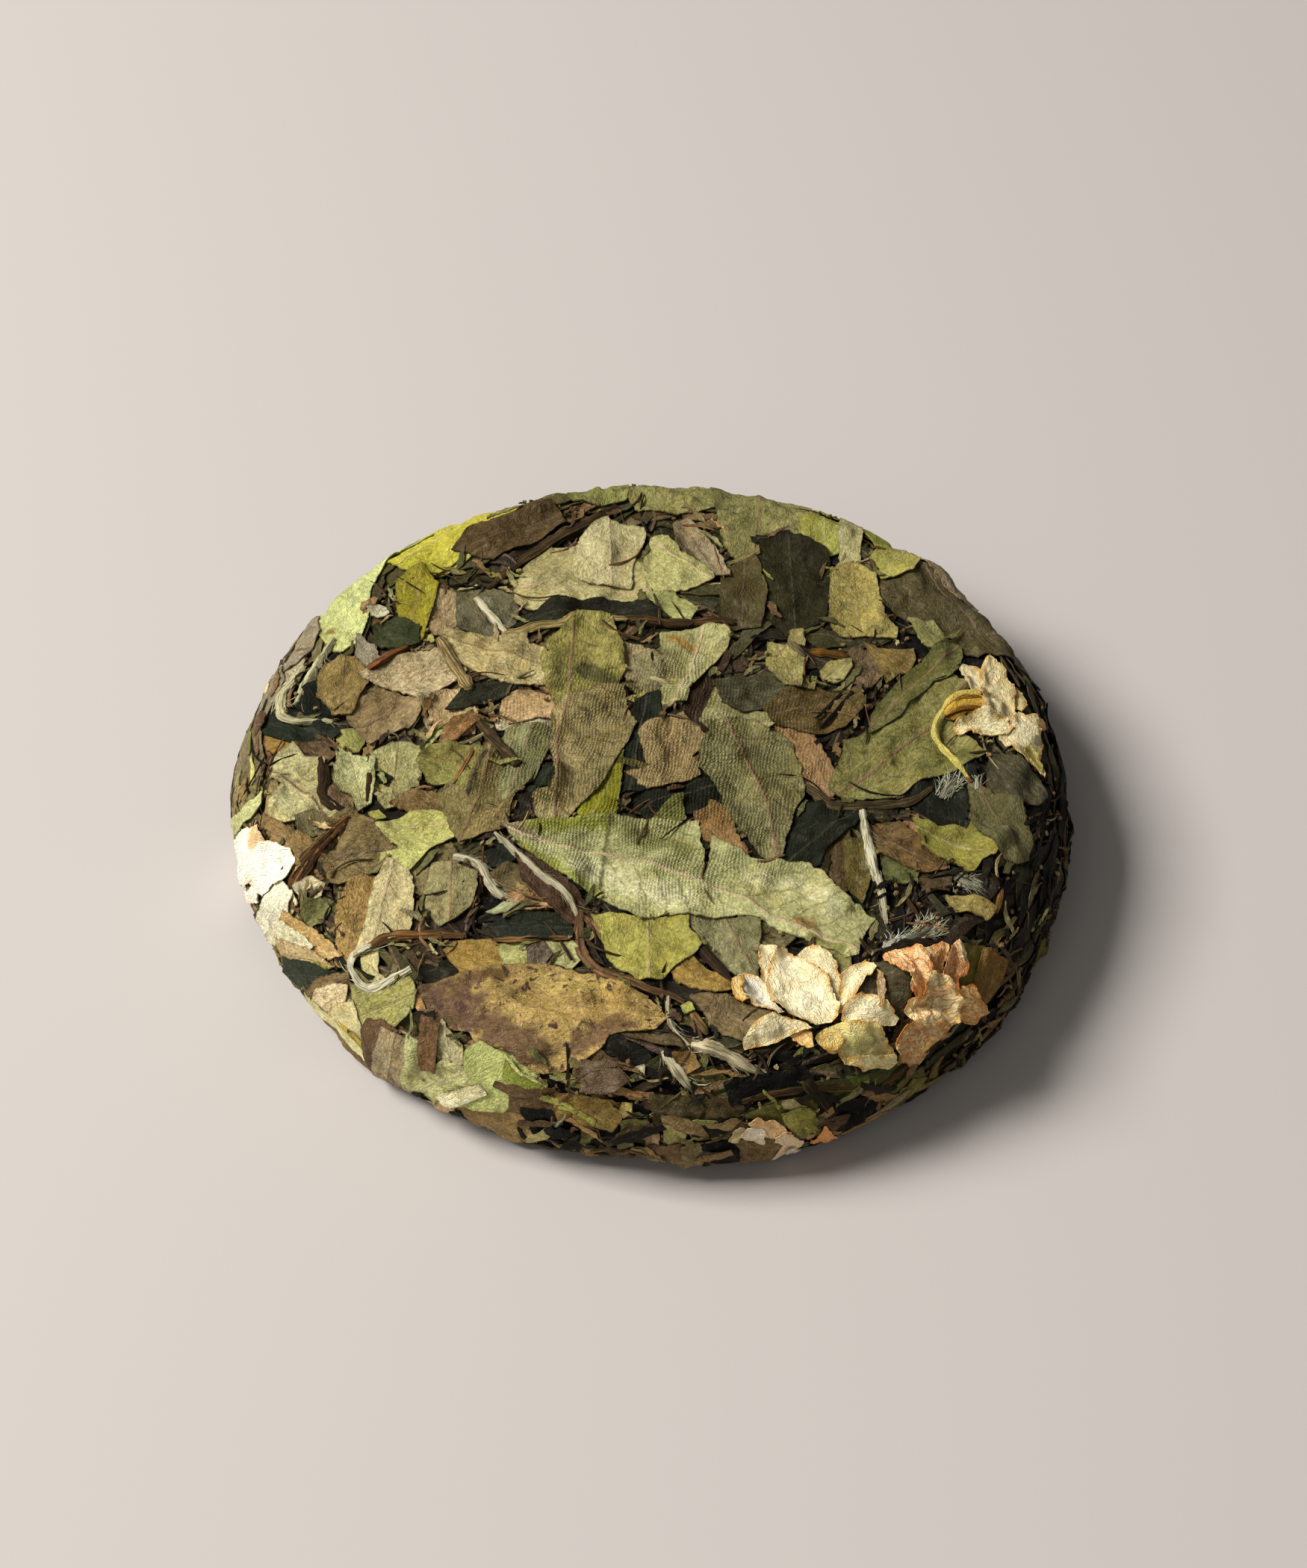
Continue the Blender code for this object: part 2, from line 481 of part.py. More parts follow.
def petal(name, base, tip, width, height, draw, place=on_top):
    """A petal: narrow at its base, widest past the middle, with a rounded tip."""
    rows = leaf_rows(base, tip, width, 0.0, (0.55, 0.45), draw, 4, widest=0.6)
    return slab(name, rows, GAP + height, GAP, place)


def build_flower(name, coat, petals, draw, place=on_top, extra=()):
    pieces = [petal(f"{name}_{i}", *sizes, draw, place) for i, sizes in enumerate(petals)]
    pieces += extra
    body = pieces.pop(0)
    body.name = name
    body.data.name = name
    body.data.materials.append(coat)
    return join(body, pieces)


def wall_petals(petals):
    return [(wall_place(*base), wall_place(*tip), width, height)
            for base, tip, width, height in petals]


def main():
    clear_scene()
    draw = random.Random(27)
    build_cake(draw)
    cream = material("cream_petal", (0.72, 0.64, 0.46), 0.6)
    brown = material("browned_petal", (0.60, 0.36, 0.18), 0.65)
    white = material("white_petal", (0.82, 0.80, 0.70), 0.6)
    build_flower("jasmine_front", cream, FRONT_PETALS + (FRONT_HANGING_PETAL,), draw)
    build_flower("jasmine_front_browned", brown, BROWN_PETALS, draw)
    stalk = stem("stalk", RIGHT_STALK, STALK_WIDTH, GAP + 1.2, lower=GAP)
    build_flower("jasmine_right", cream, RIGHT_PETALS, draw, extra=[stalk])
    build_flower("jasmine_left_rim", white, wall_petals(LEFT_PETALS), draw, on_wall)
    build_flower("jasmine_front_rim", white, wall_petals(RIM_PETALS), draw, on_wall)


if __name__ == "__main__":
    main()
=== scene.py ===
# %% [markdown]
# # A pressed white tea cake
# White tea is only withered and dried, so its leaves keep their shape: whole blades in sage,
# olive, tan and brown, stalks, and buds with silver hair. They are steamed in a cloth bag and
# pressed into a disc, which leaves the weave of the cloth printed in the softest leaves. Here
# jasmine flowers were pressed in too. The scene lays every leaf on the pile below it, from
# the bottom up, so that each one bends over what it covers, as in the press.

# %% Open the frame
import math
import random

import bpy
import numpy as np
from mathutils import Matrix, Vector
from mathutils.geometry import delaunay_2d_cdt


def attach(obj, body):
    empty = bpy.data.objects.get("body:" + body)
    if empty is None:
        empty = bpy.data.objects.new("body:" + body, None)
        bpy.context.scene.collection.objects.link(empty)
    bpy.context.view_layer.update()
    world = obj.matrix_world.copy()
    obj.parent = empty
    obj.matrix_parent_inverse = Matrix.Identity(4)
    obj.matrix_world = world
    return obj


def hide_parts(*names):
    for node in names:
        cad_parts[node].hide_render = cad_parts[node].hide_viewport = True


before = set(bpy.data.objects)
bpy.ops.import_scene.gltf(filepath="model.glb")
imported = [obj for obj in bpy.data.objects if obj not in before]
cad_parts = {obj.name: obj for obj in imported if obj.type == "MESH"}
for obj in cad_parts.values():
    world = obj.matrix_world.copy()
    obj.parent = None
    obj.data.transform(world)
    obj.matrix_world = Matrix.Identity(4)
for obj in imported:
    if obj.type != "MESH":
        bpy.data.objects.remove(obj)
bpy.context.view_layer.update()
scene = bpy.context.scene
MM = 0.001
print("nodes:", ", ".join(sorted(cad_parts)))

# %% [markdown]
# ## Camera and light
# The photograph looks down on the cake at 48 degrees through a short telephoto lens, from
# about half a metre. Its light is a large soft window on the left: the right side of the cake
# falls into shade. A big area light gives that, and the world only fills the shadows.

# %% Camera
ELEVATION = math.radians(48.2)
DISTANCE = 481 * MM
camera_data = bpy.data.cameras.new("camera")
camera_data.sensor_fit = "VERTICAL"
camera_data.sensor_height = 36.0
camera_data.lens = 85.7
camera_data.shift_x = -0.0005
camera_data.shift_y = 0.009
camera_data.clip_start = 0.01
camera = bpy.data.objects.new("camera", camera_data)
aim = Vector((0, 0, 9.5 * MM))
camera.location = aim + DISTANCE * Vector((0, -math.cos(ELEVATION), math.sin(ELEVATION)))
camera.rotation_euler = (aim - camera.location).to_track_quat("-Z", "Y").to_euler()
scene.collection.objects.link(camera)
scene.camera = camera
print("camera", [round(v, 3) for v in camera.location])


# %% Lights and floor
def area_light(name, place, size, watts, color):
    """A square soft light that shines on the middle of the cake."""
    data = bpy.data.lights.new(name, "AREA")
    data.size = size
    data.energy = watts
    data.color = color
    light = bpy.data.objects.new(name, data)
    light.location = place
    light.rotation_euler = (aim - Vector(place)).to_track_quat("-Z", "Y").to_euler()
    scene.collection.objects.link(light)
    return light


area_light("window", (-0.86, 0.05, 0.96), 0.56, 26.8, (1.0, 0.985, 0.965))
area_light("room", (-0.2, -0.7, 0.6), 0.5, 0.8, (1.0, 0.98, 0.96))
world = bpy.data.worlds.new("soft room")
world.use_nodes = True
world.node_tree.nodes["Background"].inputs["Color"].default_value = (1.0, 0.97, 0.94, 1)
world.node_tree.nodes["Background"].inputs["Strength"].default_value = 0.15
scene.world = world
scene.view_settings.view_transform = "Standard"

floor_mesh = bpy.data.meshes.new("floor")
floor_mesh.from_pydata([(-3, -3, 0), (3, -3, 0), (3, 3, 0), (-3, 3, 0)], [], [(0, 1, 2, 3)])
floor = bpy.data.objects.new("floor", floor_mesh)
floor_coat = bpy.data.materials.new("pale floor")
floor_coat.use_nodes = True
floor_shader = floor_coat.node_tree.nodes["Principled BSDF"]
floor_shader.inputs["Base Color"].default_value = (0.487, 0.45, 0.42, 1)
floor_shader.inputs["Roughness"].default_value = 0.9
floor_mesh.materials.append(floor_coat)
scene.collection.objects.link(floor)
print("lights and floor in place")

# %% [markdown]
# ## Finishes
# A dry tea leaf is matte, with a paler net of veins, patches where it browned, dark specks
# and, in the middle of this cake, the fine print of the pressing cloth. Each effect is a node
# group, so that every kind of leaf uses the same ones in its own strength. The colour of each
# single leaf travels in a mesh attribute called tint, and the attribute called blade says how
# far along and across its leaf a point lies, in millimetres, for the veins.


# %% Helpers for node groups
def new_group(name, inputs, outputs):
    """An empty shader group with named sockets; inputs maps a name to its default."""
    group = bpy.data.node_groups.new(name, "ShaderNodeTree")
    kinds = {float: "NodeSocketFloat", tuple: "NodeSocketColor", str: "NodeSocketVector"}
    for label, value in inputs.items():
        kind = kinds[type(value)]
        socket = group.interface.new_socket(label, in_out="INPUT", socket_type=kind)
        if kind != "NodeSocketVector":
            socket.default_value = value
    for label, kind in outputs.items():
        group.interface.new_socket(label, in_out="OUTPUT", socket_type=f"NodeSocket{kind}")
    return group, group.nodes.new("NodeGroupInput"), group.nodes.new("NodeGroupOutput")


def wire(tree, source, target):
    """Links a socket to a socket, or sets a plain value on the target."""
    if isinstance(source, bpy.types.NodeSocket):
        tree.links.new(source, target)
    else:
        target.default_value = source


def math_node(tree, operation, a, b=0.0, clamp=False):
    node = tree.nodes.new("ShaderNodeMath")
    node.operation = operation
    node.use_clamp = clamp
    wire(tree, a, node.inputs[0])
    wire(tree, b, node.inputs[1])
    return node.outputs[0]


def times(tree, a, b):
    return math_node(tree, "MULTIPLY", a, b)


def mix_color(tree, amount, a, b, blend="MIX"):
    node = tree.nodes.new("ShaderNodeMix")
    node.data_type = "RGBA"
    node.blend_type = blend
    wire(tree, amount, node.inputs["Factor"])
    wire(tree, a, node.inputs[6])
    wire(tree, b, node.inputs[7])
    return node.outputs[2]


def tinted(tree, color, by):
    """A colour multiplied by another."""
    return mix_color(tree, 1.0, color, (*by, 1), "MULTIPLY")


def noise(tree, place, scale, detail=3.0, rough=0.55, distort=0.0):
    node = tree.nodes.new("ShaderNodeTexNoise")
    wire(tree, place, node.inputs["Vector"])
    node.inputs["Scale"].default_value = scale
    node.inputs["Detail"].default_value = detail
    node.inputs["Roughness"].default_value = rough
    node.inputs["Distortion"].default_value = distort
    return node.outputs["Fac"]


def ramp(tree, value, low, high):
    """0 below low, 1 above high, smooth between."""
    node = tree.nodes.new("ShaderNodeMapRange")
    node.interpolation_type = "SMOOTHSTEP"
    wire(tree, value, node.inputs["Value"])
    node.inputs["From Min"].default_value = low
    node.inputs["From Max"].default_value = high
    return node.outputs["Result"]


def scaled(tree, place, factors):
    node = tree.nodes.new("ShaderNodeVectorMath")
    node.operation = "MULTIPLY"
    wire(tree, place, node.inputs[0])
    node.inputs[1].default_value = factors
    return node.outputs[0]


def split(tree, place):
    node = tree.nodes.new("ShaderNodeSeparateXYZ")
    wire(tree, place, node.inputs[0])
    return node.outputs


# %% [markdown]
# Withering doesn't colour a leaf evenly. It turns ochre in one place and deep green in the
# next, a dusty film lies on the high spots, bruises are brown, and the pinpoint specks are
# where the skin broke. One side of the rib is painted a little darker than the other: painted
# shade, as if the leaf were folded along its rib and that half turned from the light.

# %% Group: mottling
def make_mottling():
    group, inside, outside = new_group(
        "mottling",
        {"Tint": (0.4, 0.4, 0.2, 1.0), "Blade": "", "Bruise": (0.1, 0.06, 0.03, 1.0),
         "Clouds": 0.5, "Bruising": 0.4, "Specks": 0.4, "Grain": 1.0},
        {"Color": "Color", "Mask": "Float"},
    )
    blade, tint = inside.outputs["Blade"], inside.outputs["Tint"]
    ochre = tinted(group, tint, (1.14, 0.99, 0.7))
    deep = tinted(group, tint, (0.45, 0.5, 0.36))
    lighter = tinted(group, tint, (1.55, 1.5, 1.6))
    dusty = mix_color(group, 0.22, lighter, (0.62, 0.58, 0.42, 1))
    color = tint
    for stain, stretch, scale, low, share in (
        (ochre, (0.8, 1.0, 1.0), 0.17, 0.5, 0.55),
        (deep, (0.8, 1.2, 1.0), 0.34, 0.54, 0.6),
        (dusty, (0.6, 1.3, 1.0), 0.7, 0.52, 0.45),
    ):
        spread = noise(group, scaled(group, blade, stretch), scale, 5.0, 0.68, 0.8)
        amount = times(group, ramp(group, spread, low, low + 0.12), share)
        amount = times(group, amount, inside.outputs["Clouds"])
        color = mix_color(group, amount, color, stain)
    patches = ramp(group, noise(group, blade, 0.55, 6.0, 0.7, 0.9), 0.54, 0.62)
    patches = times(group, patches, inside.outputs["Bruising"])
    color = mix_color(group, patches, color, inside.outputs["Bruise"])
    dots = group.nodes.new("ShaderNodeTexVoronoi")
    dots.inputs["Scale"].default_value = 0.85
    wire(group, blade, dots.inputs["Vector"])
    specks = ramp(group, dots.outputs["Distance"], 0.17, 0.08)
    some = ramp(group, noise(group, blade, 0.28, 3.0), 0.5, 0.58)
    specks = times(group, times(group, specks, some), inside.outputs["Specks"])
    color = mix_color(group, specks, color, inside.outputs["Bruise"])
    along = scaled(group, blade, (0.85, 1.1, 1.0))
    grain = ramp(group, noise(group, along, 2.3, 6.0, 0.75), 0.36, 0.66)
    shade = mix_color(group, grain, (0.68, 0.68, 0.63, 1), (1.26, 1.25, 1.2, 1))
    color = mix_color(group, inside.outputs["Grain"], color, shade, "MULTIPLY")
    across = split(group, blade)[1]
    # Painted shade: the half of the leaf on one side of its rib is darkened, as if folded away from the
    # light.
    half = ramp(group, across, -0.25, 0.25)
    painted_fold_shade = times(group, half, 0.24)
    color = mix_color(group, painted_fold_shade, color, (0.35, 0.33, 0.24, 1), "MULTIPLY")
    wire(group, color, outside.inputs["Color"])
    wire(group, patches, outside.inputs["Mask"])
    return group


mottling = make_mottling()
print("group", mottling.name)

# %% [markdown]
# As a leaf dries it shrinks unevenly and wrinkles into sharp little folds, most of them along
# its length. Noise that passes through its middle value draws such lines: the distance from
# that value is small only in thin winding bands. Two sizes of them make the relief, and the
# thinnest bands are the creases that the leaf finish darkens as painted shade.


# %% Group: wrinkles
def make_wrinkles():
    group, inside, outside = new_group("wrinkles", {"Blade": "", "Size": 1.0},
                                       {"Height": "Float", "Lines": "Float"})
    place = scaled(group, inside.outputs["Blade"], (0.7, 1.15, 1.0))
    node = group.nodes.new("ShaderNodeVectorMath")
    node.operation = "SCALE"
    wire(group, place, node.inputs[0])
    wire(group, inside.outputs["Size"], node.inputs["Scale"])
    place = node.outputs[0]
    heights, lines = [], []
    for scale, reach in ((0.55, 0.075), (1.5, 0.1)):
        wave = math_node(group, "SUBTRACT", noise(group, place, scale, 3.0, 0.6, 1.0), 0.5)
        off = math_node(group, "ABSOLUTE", wave)
        lines.append(ramp(group, off, reach * 0.35, 0.0))
        heights.append(ramp(group, off, 0.0, reach))
    height = math_node(group, "MULTIPLY_ADD", heights[0], 0.65)
    wire(group, times(group, heights[1], 0.35), height.node.inputs[2])
    wire(group, height, outside.inputs["Height"])
    wire(group, math_node(group, "MAXIMUM", *lines), outside.inputs["Lines"])
    return group


wrinkles = make_wrinkles()
print("group", wrinkles.name)

# %% [markdown]
# The veins: a rib down the middle, side veins that leave it at a slant and curve forward, and
# a fine net between them. They are thin dark lines with a paler edge. The slant comes from
# adding a share of the distance from the rib to the distance along it.


# %% Group: veins
def make_veins():
    group, inside, outside = new_group(
        "veins",
        {"Blade": "", "Pitch": 3.2, "Fineness": 1.0, "Width": 1.0},
        {"Rib": "Float", "Side": "Float", "Net": "Float"},
    )
    along, across = split(group, inside.outputs["Blade"])[:2]
    off = math_node(group, "ABSOLUTE", across)
    rib = ramp(group, math_node(group, "DIVIDE", off, inside.outputs["Width"]), 0.34, 0.12)
    worn = ramp(group, noise(group, inside.outputs["Blade"], 0.8, 4.0, 0.7), 0.34, 0.52)
    rib = times(group, rib, worn)
    wobble = noise(group, inside.outputs["Blade"], 0.55, 2.0)
    wobble = times(group, wobble, 2.4)
    curve = math_node(group, "POWER", off, 0.88)
    slant = math_node(group, "SUBTRACT", along, curve)
    slant = math_node(group, "ADD", slant, wobble)
    turn = math_node(group, "DIVIDE", slant, inside.outputs["Pitch"])
    wave = math_node(group, "PINGPONG", turn, 0.5)
    side = ramp(group, wave, 0.11, 0.01)
    away = ramp(group, off, 0.2, 0.8)
    side = times(group, side, away)
    side = times(group, side, worn)
    cells = group.nodes.new("ShaderNodeTexVoronoi")
    cells.feature = "DISTANCE_TO_EDGE"
    cells.inputs["Scale"].default_value = 1.25
    wire(group, inside.outputs["Blade"], cells.inputs["Vector"])
    net = ramp(group, cells.outputs["Distance"], 0.09, 0.02)
    net = times(group, net, inside.outputs["Fineness"])
    wire(group, rib, outside.inputs["Rib"])
    wire(group, side, outside.inputs["Side"])
    wire(group, net, outside.inputs["Net"])
    return group


veins = make_veins()
print("group", veins.name)

# %% [markdown]
# The cloth print is a plain weave with a thread every 0.43 mm. It shows most in the middle of
# the top and fades towards the rim, where the bag was gathered. It follows the cake and not
# the leaf, so it reads the object's own coordinates. Its height makes a bump, and its lines
# mark the sunken threads, which the leaf finish darkens as painted shade.


# %% Group: cloth print
THREAD_PITCH = 0.43


def make_cloth_print():
    group, inside, outside = new_group(
        "cloth print", {"Place": "", "Reach": 24.0}, {"Height": "Float", "Lines": "Float"}
    )
    place = scaled(group, inside.outputs["Place"], (1 / MM, 1 / MM, 1 / MM))
    turn = group.nodes.new("ShaderNodeVectorRotate")
    turn.rotation_type = "Z_AXIS"
    turn.inputs["Angle"].default_value = math.radians(8.0)
    wire(group, place, turn.inputs["Vector"])
    bend = noise(group, place, 0.16, 2.0)
    bend = times(group, bend, 2.2)
    step = math.tau / THREAD_PITCH
    threads = []
    for side in split(group, turn.outputs[0])[:2]:
        moved = math_node(group, "ADD", side, bend)
        wave = math_node(group, "SINE", times(group, moved, step))
        threads.append(math_node(group, "MULTIPLY_ADD", wave, 0.5))
        threads[-1].node.inputs[2].default_value = 0.5
    grid = times(group, *threads)
    centre = group.nodes.new("ShaderNodeVectorMath")
    centre.operation = "DISTANCE"
    wire(group, scaled(group, place, (1.0, 1.0, 0.0)), centre.inputs[0])
    centre.inputs[1].default_value = (0.0, -4.0, 0.0)
    share = math_node(group, "DIVIDE", centre.outputs["Value"], inside.outputs["Reach"])
    fade = ramp(group, share, 1.25, 0.6)
    patchy = ramp(group, noise(group, place, 0.11, 3.0), 0.3, 0.52)
    fade = times(group, fade, patchy)
    wire(group, times(group, grid, fade), outside.inputs["Height"])
    warp = ramp(group, threads[0], 0.42, 0.05)
    weft = times(group, ramp(group, threads[1], 0.4, 0.0), 0.75)
    lines = times(group, math_node(group, "MAXIMUM", warp, weft), fade)
    wire(group, lines, outside.inputs["Lines"])
    return group


cloth_print = make_cloth_print()
print("group", cloth_print.name)


# %% [markdown]
# One function makes every leaf finish from those groups. What differs from kind to kind is
# how bruised, veined and shiny it is: the youngest green leaves are the most even, the brown
# ones wrinkle most, and the black ones have a dull gloss where the cloth polished them.

# %% Helpers for finishes
def place_group(tree, group, **values):
    node = tree.nodes.new("ShaderNodeGroup")
    node.node_tree = group
    for label, value in values.items():
        wire(tree, value, node.inputs[label])
    return node.outputs


def attribute(tree, name, output):
    node = tree.nodes.new("ShaderNodeAttribute")
    node.attribute_name = name
    return node.outputs[output]


def new_finish(name):
    """A new material, its tree, and the tint and blade that its leaves carry."""
    coat = bpy.data.materials.new(name)
    coat.use_nodes = True
    tree = coat.node_tree
    return coat, tree, attribute(tree, "tint", "Color"), attribute(tree, "blade", "Vector")


def end_finish(coat, color, height, depth, roughness, specular, strength=1.0):
    """Gives a finish its colour, a bump that is `depth` mm deep, its roughness and its gloss."""
    tree = coat.node_tree
    shader = tree.nodes["Principled BSDF"]
    bump = tree.nodes.new("ShaderNodeBump")
    bump.inputs["Strength"].default_value = strength
    bump.inputs["Distance"].default_value = depth * MM
    wire(tree, height, bump.inputs["Height"])
    wire(tree, color, shader.inputs["Base Color"])
    wire(tree, bump.outputs["Normal"], shader.inputs["Normal"])
    wire(tree, roughness, shader.inputs["Roughness"])
    shader.inputs["Specular IOR Level"].default_value = specular
    return coat


print("ready to make finishes")


# %% Leaf finishes
def leaf_finish(name, bruise, clouds, bruising, specks, rib, vein, cloth, roughness, crinkle):
    """A leaf's material: rib is the colour of its middle vein, vein how far the others show."""
    coat, tree, tint, blade = new_finish(name)
    edge = attribute(tree, "edge", "Fac")
    ribbed = attribute(tree, "ribbed", "Fac")
    place = tree.nodes.new("ShaderNodeTexCoord").outputs["Object"]
    mottled = place_group(tree, mottling, Tint=tint, Blade=blade, Bruise=(*bruise, 1),
                          Clouds=clouds, Bruising=bruising, Specks=specks)
    width = math_node(tree, "MULTIPLY_ADD", ribbed, 0.45)
    width.node.inputs[2].default_value = 0.3
    lines = place_group(tree, veins, Blade=blade, Pitch=3.0, Fineness=0.75, Width=width)
    cloth_marks = place_group(tree, cloth_print, Place=place, Reach=24.0)
    color = mottled["Color"]
    side = times(tree, lines["Side"], vein * 1.5)
    side = times(tree, side, ribbed)
    color = mix_color(tree, side, color, (*bruise, 1))
    net = times(tree, lines["Net"], vein * 0.5)
    color = mix_color(tree, net, color, (*bruise, 1))
    # The cloth print's sunken threads are darkened in colour: painted shade in the grooves, on top of the
    # bump that gives their relief.
    print_groove_shade_amount = times(tree, cloth_marks["Lines"], cloth)
    print_groove_shade = tinted(tree, color, (0.3, 0.32, 0.24))
    color = mix_color(tree, print_groove_shade_amount, color, print_groove_shade)
    middle = times(tree, lines["Rib"], ribbed)
    color = mix_color(tree, middle, color, (*rib, 1))
    # A thin dark line along the leaf's edge: partly the browned edge of a dry leaf, partly painted shade of
    # the crevice under the edge.
    rim = times(tree, ramp(tree, edge, 0.22, 0.0), 0.4)
    color = mix_color(tree, rim, color, (*bruise, 1))
    folds = place_group(tree, wrinkles, Blade=blade, Size=1.0)
    # Painted shade: the thin crease lines of the wrinkles are darkened in the leaf's colour.
    crease_shade = times(tree, folds["Lines"], 0.4 * crinkle)
    color = mix_color(tree, crease_shade, color, (*bruise, 1))
    skin = noise(tree, blade, 3.2, 5.0, 0.7)
    height = times(tree, skin, 0.5)
    height = math_node(tree, "ADD", height, times(tree, folds["Height"], 0.7 * crinkle))
    height = math_node(tree, "SUBTRACT", height, times(tree, side, 0.3))
    height = math_node(tree, "SUBTRACT", height, times(tree, net, 0.4))
    height = math_node(tree, "ADD", height, times(tree, middle, 0.4))
    print_height = times(tree, cloth_marks["Height"], 1.1 * cloth)
    height = math_node(tree, "ADD", height, print_height)
    gloss = math_node(tree, "MULTIPLY_ADD", skin, 0.3)
    gloss.node.inputs[2].default_value = roughness - 0.15
    return end_finish(coat, color, height, 0.2, gloss, 0.12)


DARK_OLIVE = (0.05, 0.045, 0.018)
PALE_RIB = (0.5, 0.37, 0.22)
FINISHES = {
    "pale": leaf_finish("pale green leaf", (0.14, 0.11, 0.035), 0.65, 0.3, 0.5, PALE_RIB,
                        0.3, 0.75, 0.66, 0.55),
    "olive": leaf_finish("olive leaf", DARK_OLIVE, 0.8, 0.5, 0.7, (0.24, 0.13, 0.075),
                         0.32, 0.8, 0.66, 0.65),
    "tan": leaf_finish("tan leaf", (0.10, 0.05, 0.02), 0.75, 0.42, 0.7, (0.22, 0.13, 0.07),
                       0.3, 0.7, 0.64, 0.7),
    "brown": leaf_finish("brown leaf", (0.04, 0.024, 0.012), 0.8, 0.5, 0.7, (0.18, 0.12, 0.08),
                         0.32, 0.6, 0.62, 0.8),
    "dark": leaf_finish("black leaf", (0.006, 0.006, 0.004), 0.4, 0.4, 0.3,
                        (0.07, 0.06, 0.045), 0.3, 0.6, 0.7, 0.7),
    "gold": leaf_finish("gold leaf with brown patches", (0.085, 0.045, 0.03), 0.6, 1.0, 0.9,
                        (0.2, 0.12, 0.07), 0.6, 0.15, 0.64, 0.6),
}
print("finishes:", ", ".join(FINISHES))


# %% [markdown]
# A jasmine petal dries like thin paper. It crumples into sharp little ridges that stay pale,
# while the valleys and above all the tips and edges turn orange-brown. The petal finishes
# differ only in how far that browning went.


# %% Petal finishes
def petal_finish(name, browning, edge_browning, crumple, toast=(0.78, 0.42, 0.15)):
    coat, tree, tint, blade = new_finish(name)
    edge = attribute(tree, "edge", "Fac")
    folds = place_group(tree, wrinkles, Blade=blade, Size=1.4)
    brown = tinted(tree, tint, toast)
    golden = tinted(tree, tint, (1.0, 0.84, 0.52))
    clouds = ramp(tree, noise(tree, blade, 0.4, 4.0, 0.6), 0.46, 0.6)
    color = mix_color(tree, times(tree, clouds, 0.25), tint, golden)
    lines = noise(tree, scaled(tree, blade, (0.22, 2.6, 1.0)), 1.2, 4.0, 0.65, 0.3)
    streaks = times(tree, ramp(tree, lines, 0.52, 0.62), 0.2)
    color = mix_color(tree, streaks, color, golden)
    patchy = ramp(tree, noise(tree, blade, 0.6, 4.0, 0.65), 0.44, 0.6)
    stain = times(tree, patchy, browning * 0.35)
    color = mix_color(tree, stain, color, brown)
    valley = times(tree, ramp(tree, folds["Height"], 0.5, 0.22), browning)
    color = mix_color(tree, valley, color, brown)
    wide = times(tree, ramp(tree, edge, 1.6, 0.0), 0.5 * edge_browning)
    color = mix_color(tree, wide, color, golden)
    rim = times(tree, ramp(tree, edge, 0.6, 0.0), edge_browning)
    rim = times(tree, rim, ramp(tree, noise(tree, blade, 0.5, 4.0), 0.46, 0.56))
    color = mix_color(tree, rim, color, brown)
    height = math_node(tree, "MULTIPLY_ADD", folds["Height"], crumple)
    wire(tree, times(tree, lines, 1.1), height.node.inputs[2])
    skin = times(tree, noise(tree, blade, 2.6, 4.0, 0.6), 0.5)
    height = math_node(tree, "ADD", height, skin)
    return end_finish(coat, color, height, 0.16, 0.8, 0.2)


FINISHES["petal"] = petal_finish("dried petal", 0.14, 0.95, 1.1, (0.78, 0.45, 0.16))
FINISHES["browned"] = petal_finish("browned petal", 0.9, 0.85, 1.7, (0.76, 0.33, 0.1))
FINISHES["white"] = petal_finish("white petal", 0.06, 0.3, 0.9)
print("petal finishes made")

# %% [markdown]
# A stalk dries into long fibres, so its finish is streaks along it with dark lines between.


# %% Stalk finish
def stalk_finish():
    coat, tree, tint, blade = new_finish("withered stalk")
    fibres = noise(tree, scaled(tree, blade, (0.16, 3.4, 1.0)), 1.3, 4.0, 0.7, 0.3)
    strand = ramp(tree, fibres, 0.43, 0.58)
    dark = tinted(tree, tint, (0.26, 0.25, 0.2))
    light = tinted(tree, tint, (1.3, 1.32, 1.2))
    color = mix_color(tree, strand, dark, light)
    clouds = ramp(tree, noise(tree, blade, 0.35, 4.0, 0.6), 0.4, 0.62)
    color = mix_color(tree, times(tree, clouds, 0.6), color, dark)
    return end_finish(coat, color, fibres, 0.25, 0.7, 0.12)


FINISHES["stem"] = stalk_finish()
print("stalk finish made")

# %% [markdown]
# Silver buds are young leaves still rolled up, covered in fine white hair that lies along
# them. Their finish is streaks: noise drawn out along the bud, pale over grey-green.

# %% Silver bud finish
def silver_finish():
    coat, tree, tint, blade = new_finish("silver bud")
    hairs = noise(tree, scaled(tree, blade, (0.2, 2.2, 1.0)), 1.6, 4.0, 0.7, 0.3)
    strands = ramp(tree, hairs, 0.4, 0.55)
    shade = tinted(tree, tint, (0.34, 0.33, 0.28))
    color = mix_color(tree, strands, shade, tint)
    bare = ramp(tree, noise(tree, blade, 0.35, 2.0), 0.54, 0.66)
    color = mix_color(tree, times(tree, bare, 0.4), color, (0.13, 0.11, 0.07, 1))
    return end_finish(coat, color, hairs, 0.15, 0.5, 0.2, strength=0.8)


FINISHES["silver"] = silver_finish()
print("silver bud finish made")

# %% [markdown]
# ## The cake's surface as a map
# To lay leaves on a curved cake it helps to unroll it. A point is named by its azimuth and by
# how far it lies from the middle of the top, measured along the surface. Drawn as a flat map,
# the top comes out true to size and the side wall makes a ring round it. A second map, from
# the middle of the underside, does the same for what lies below.

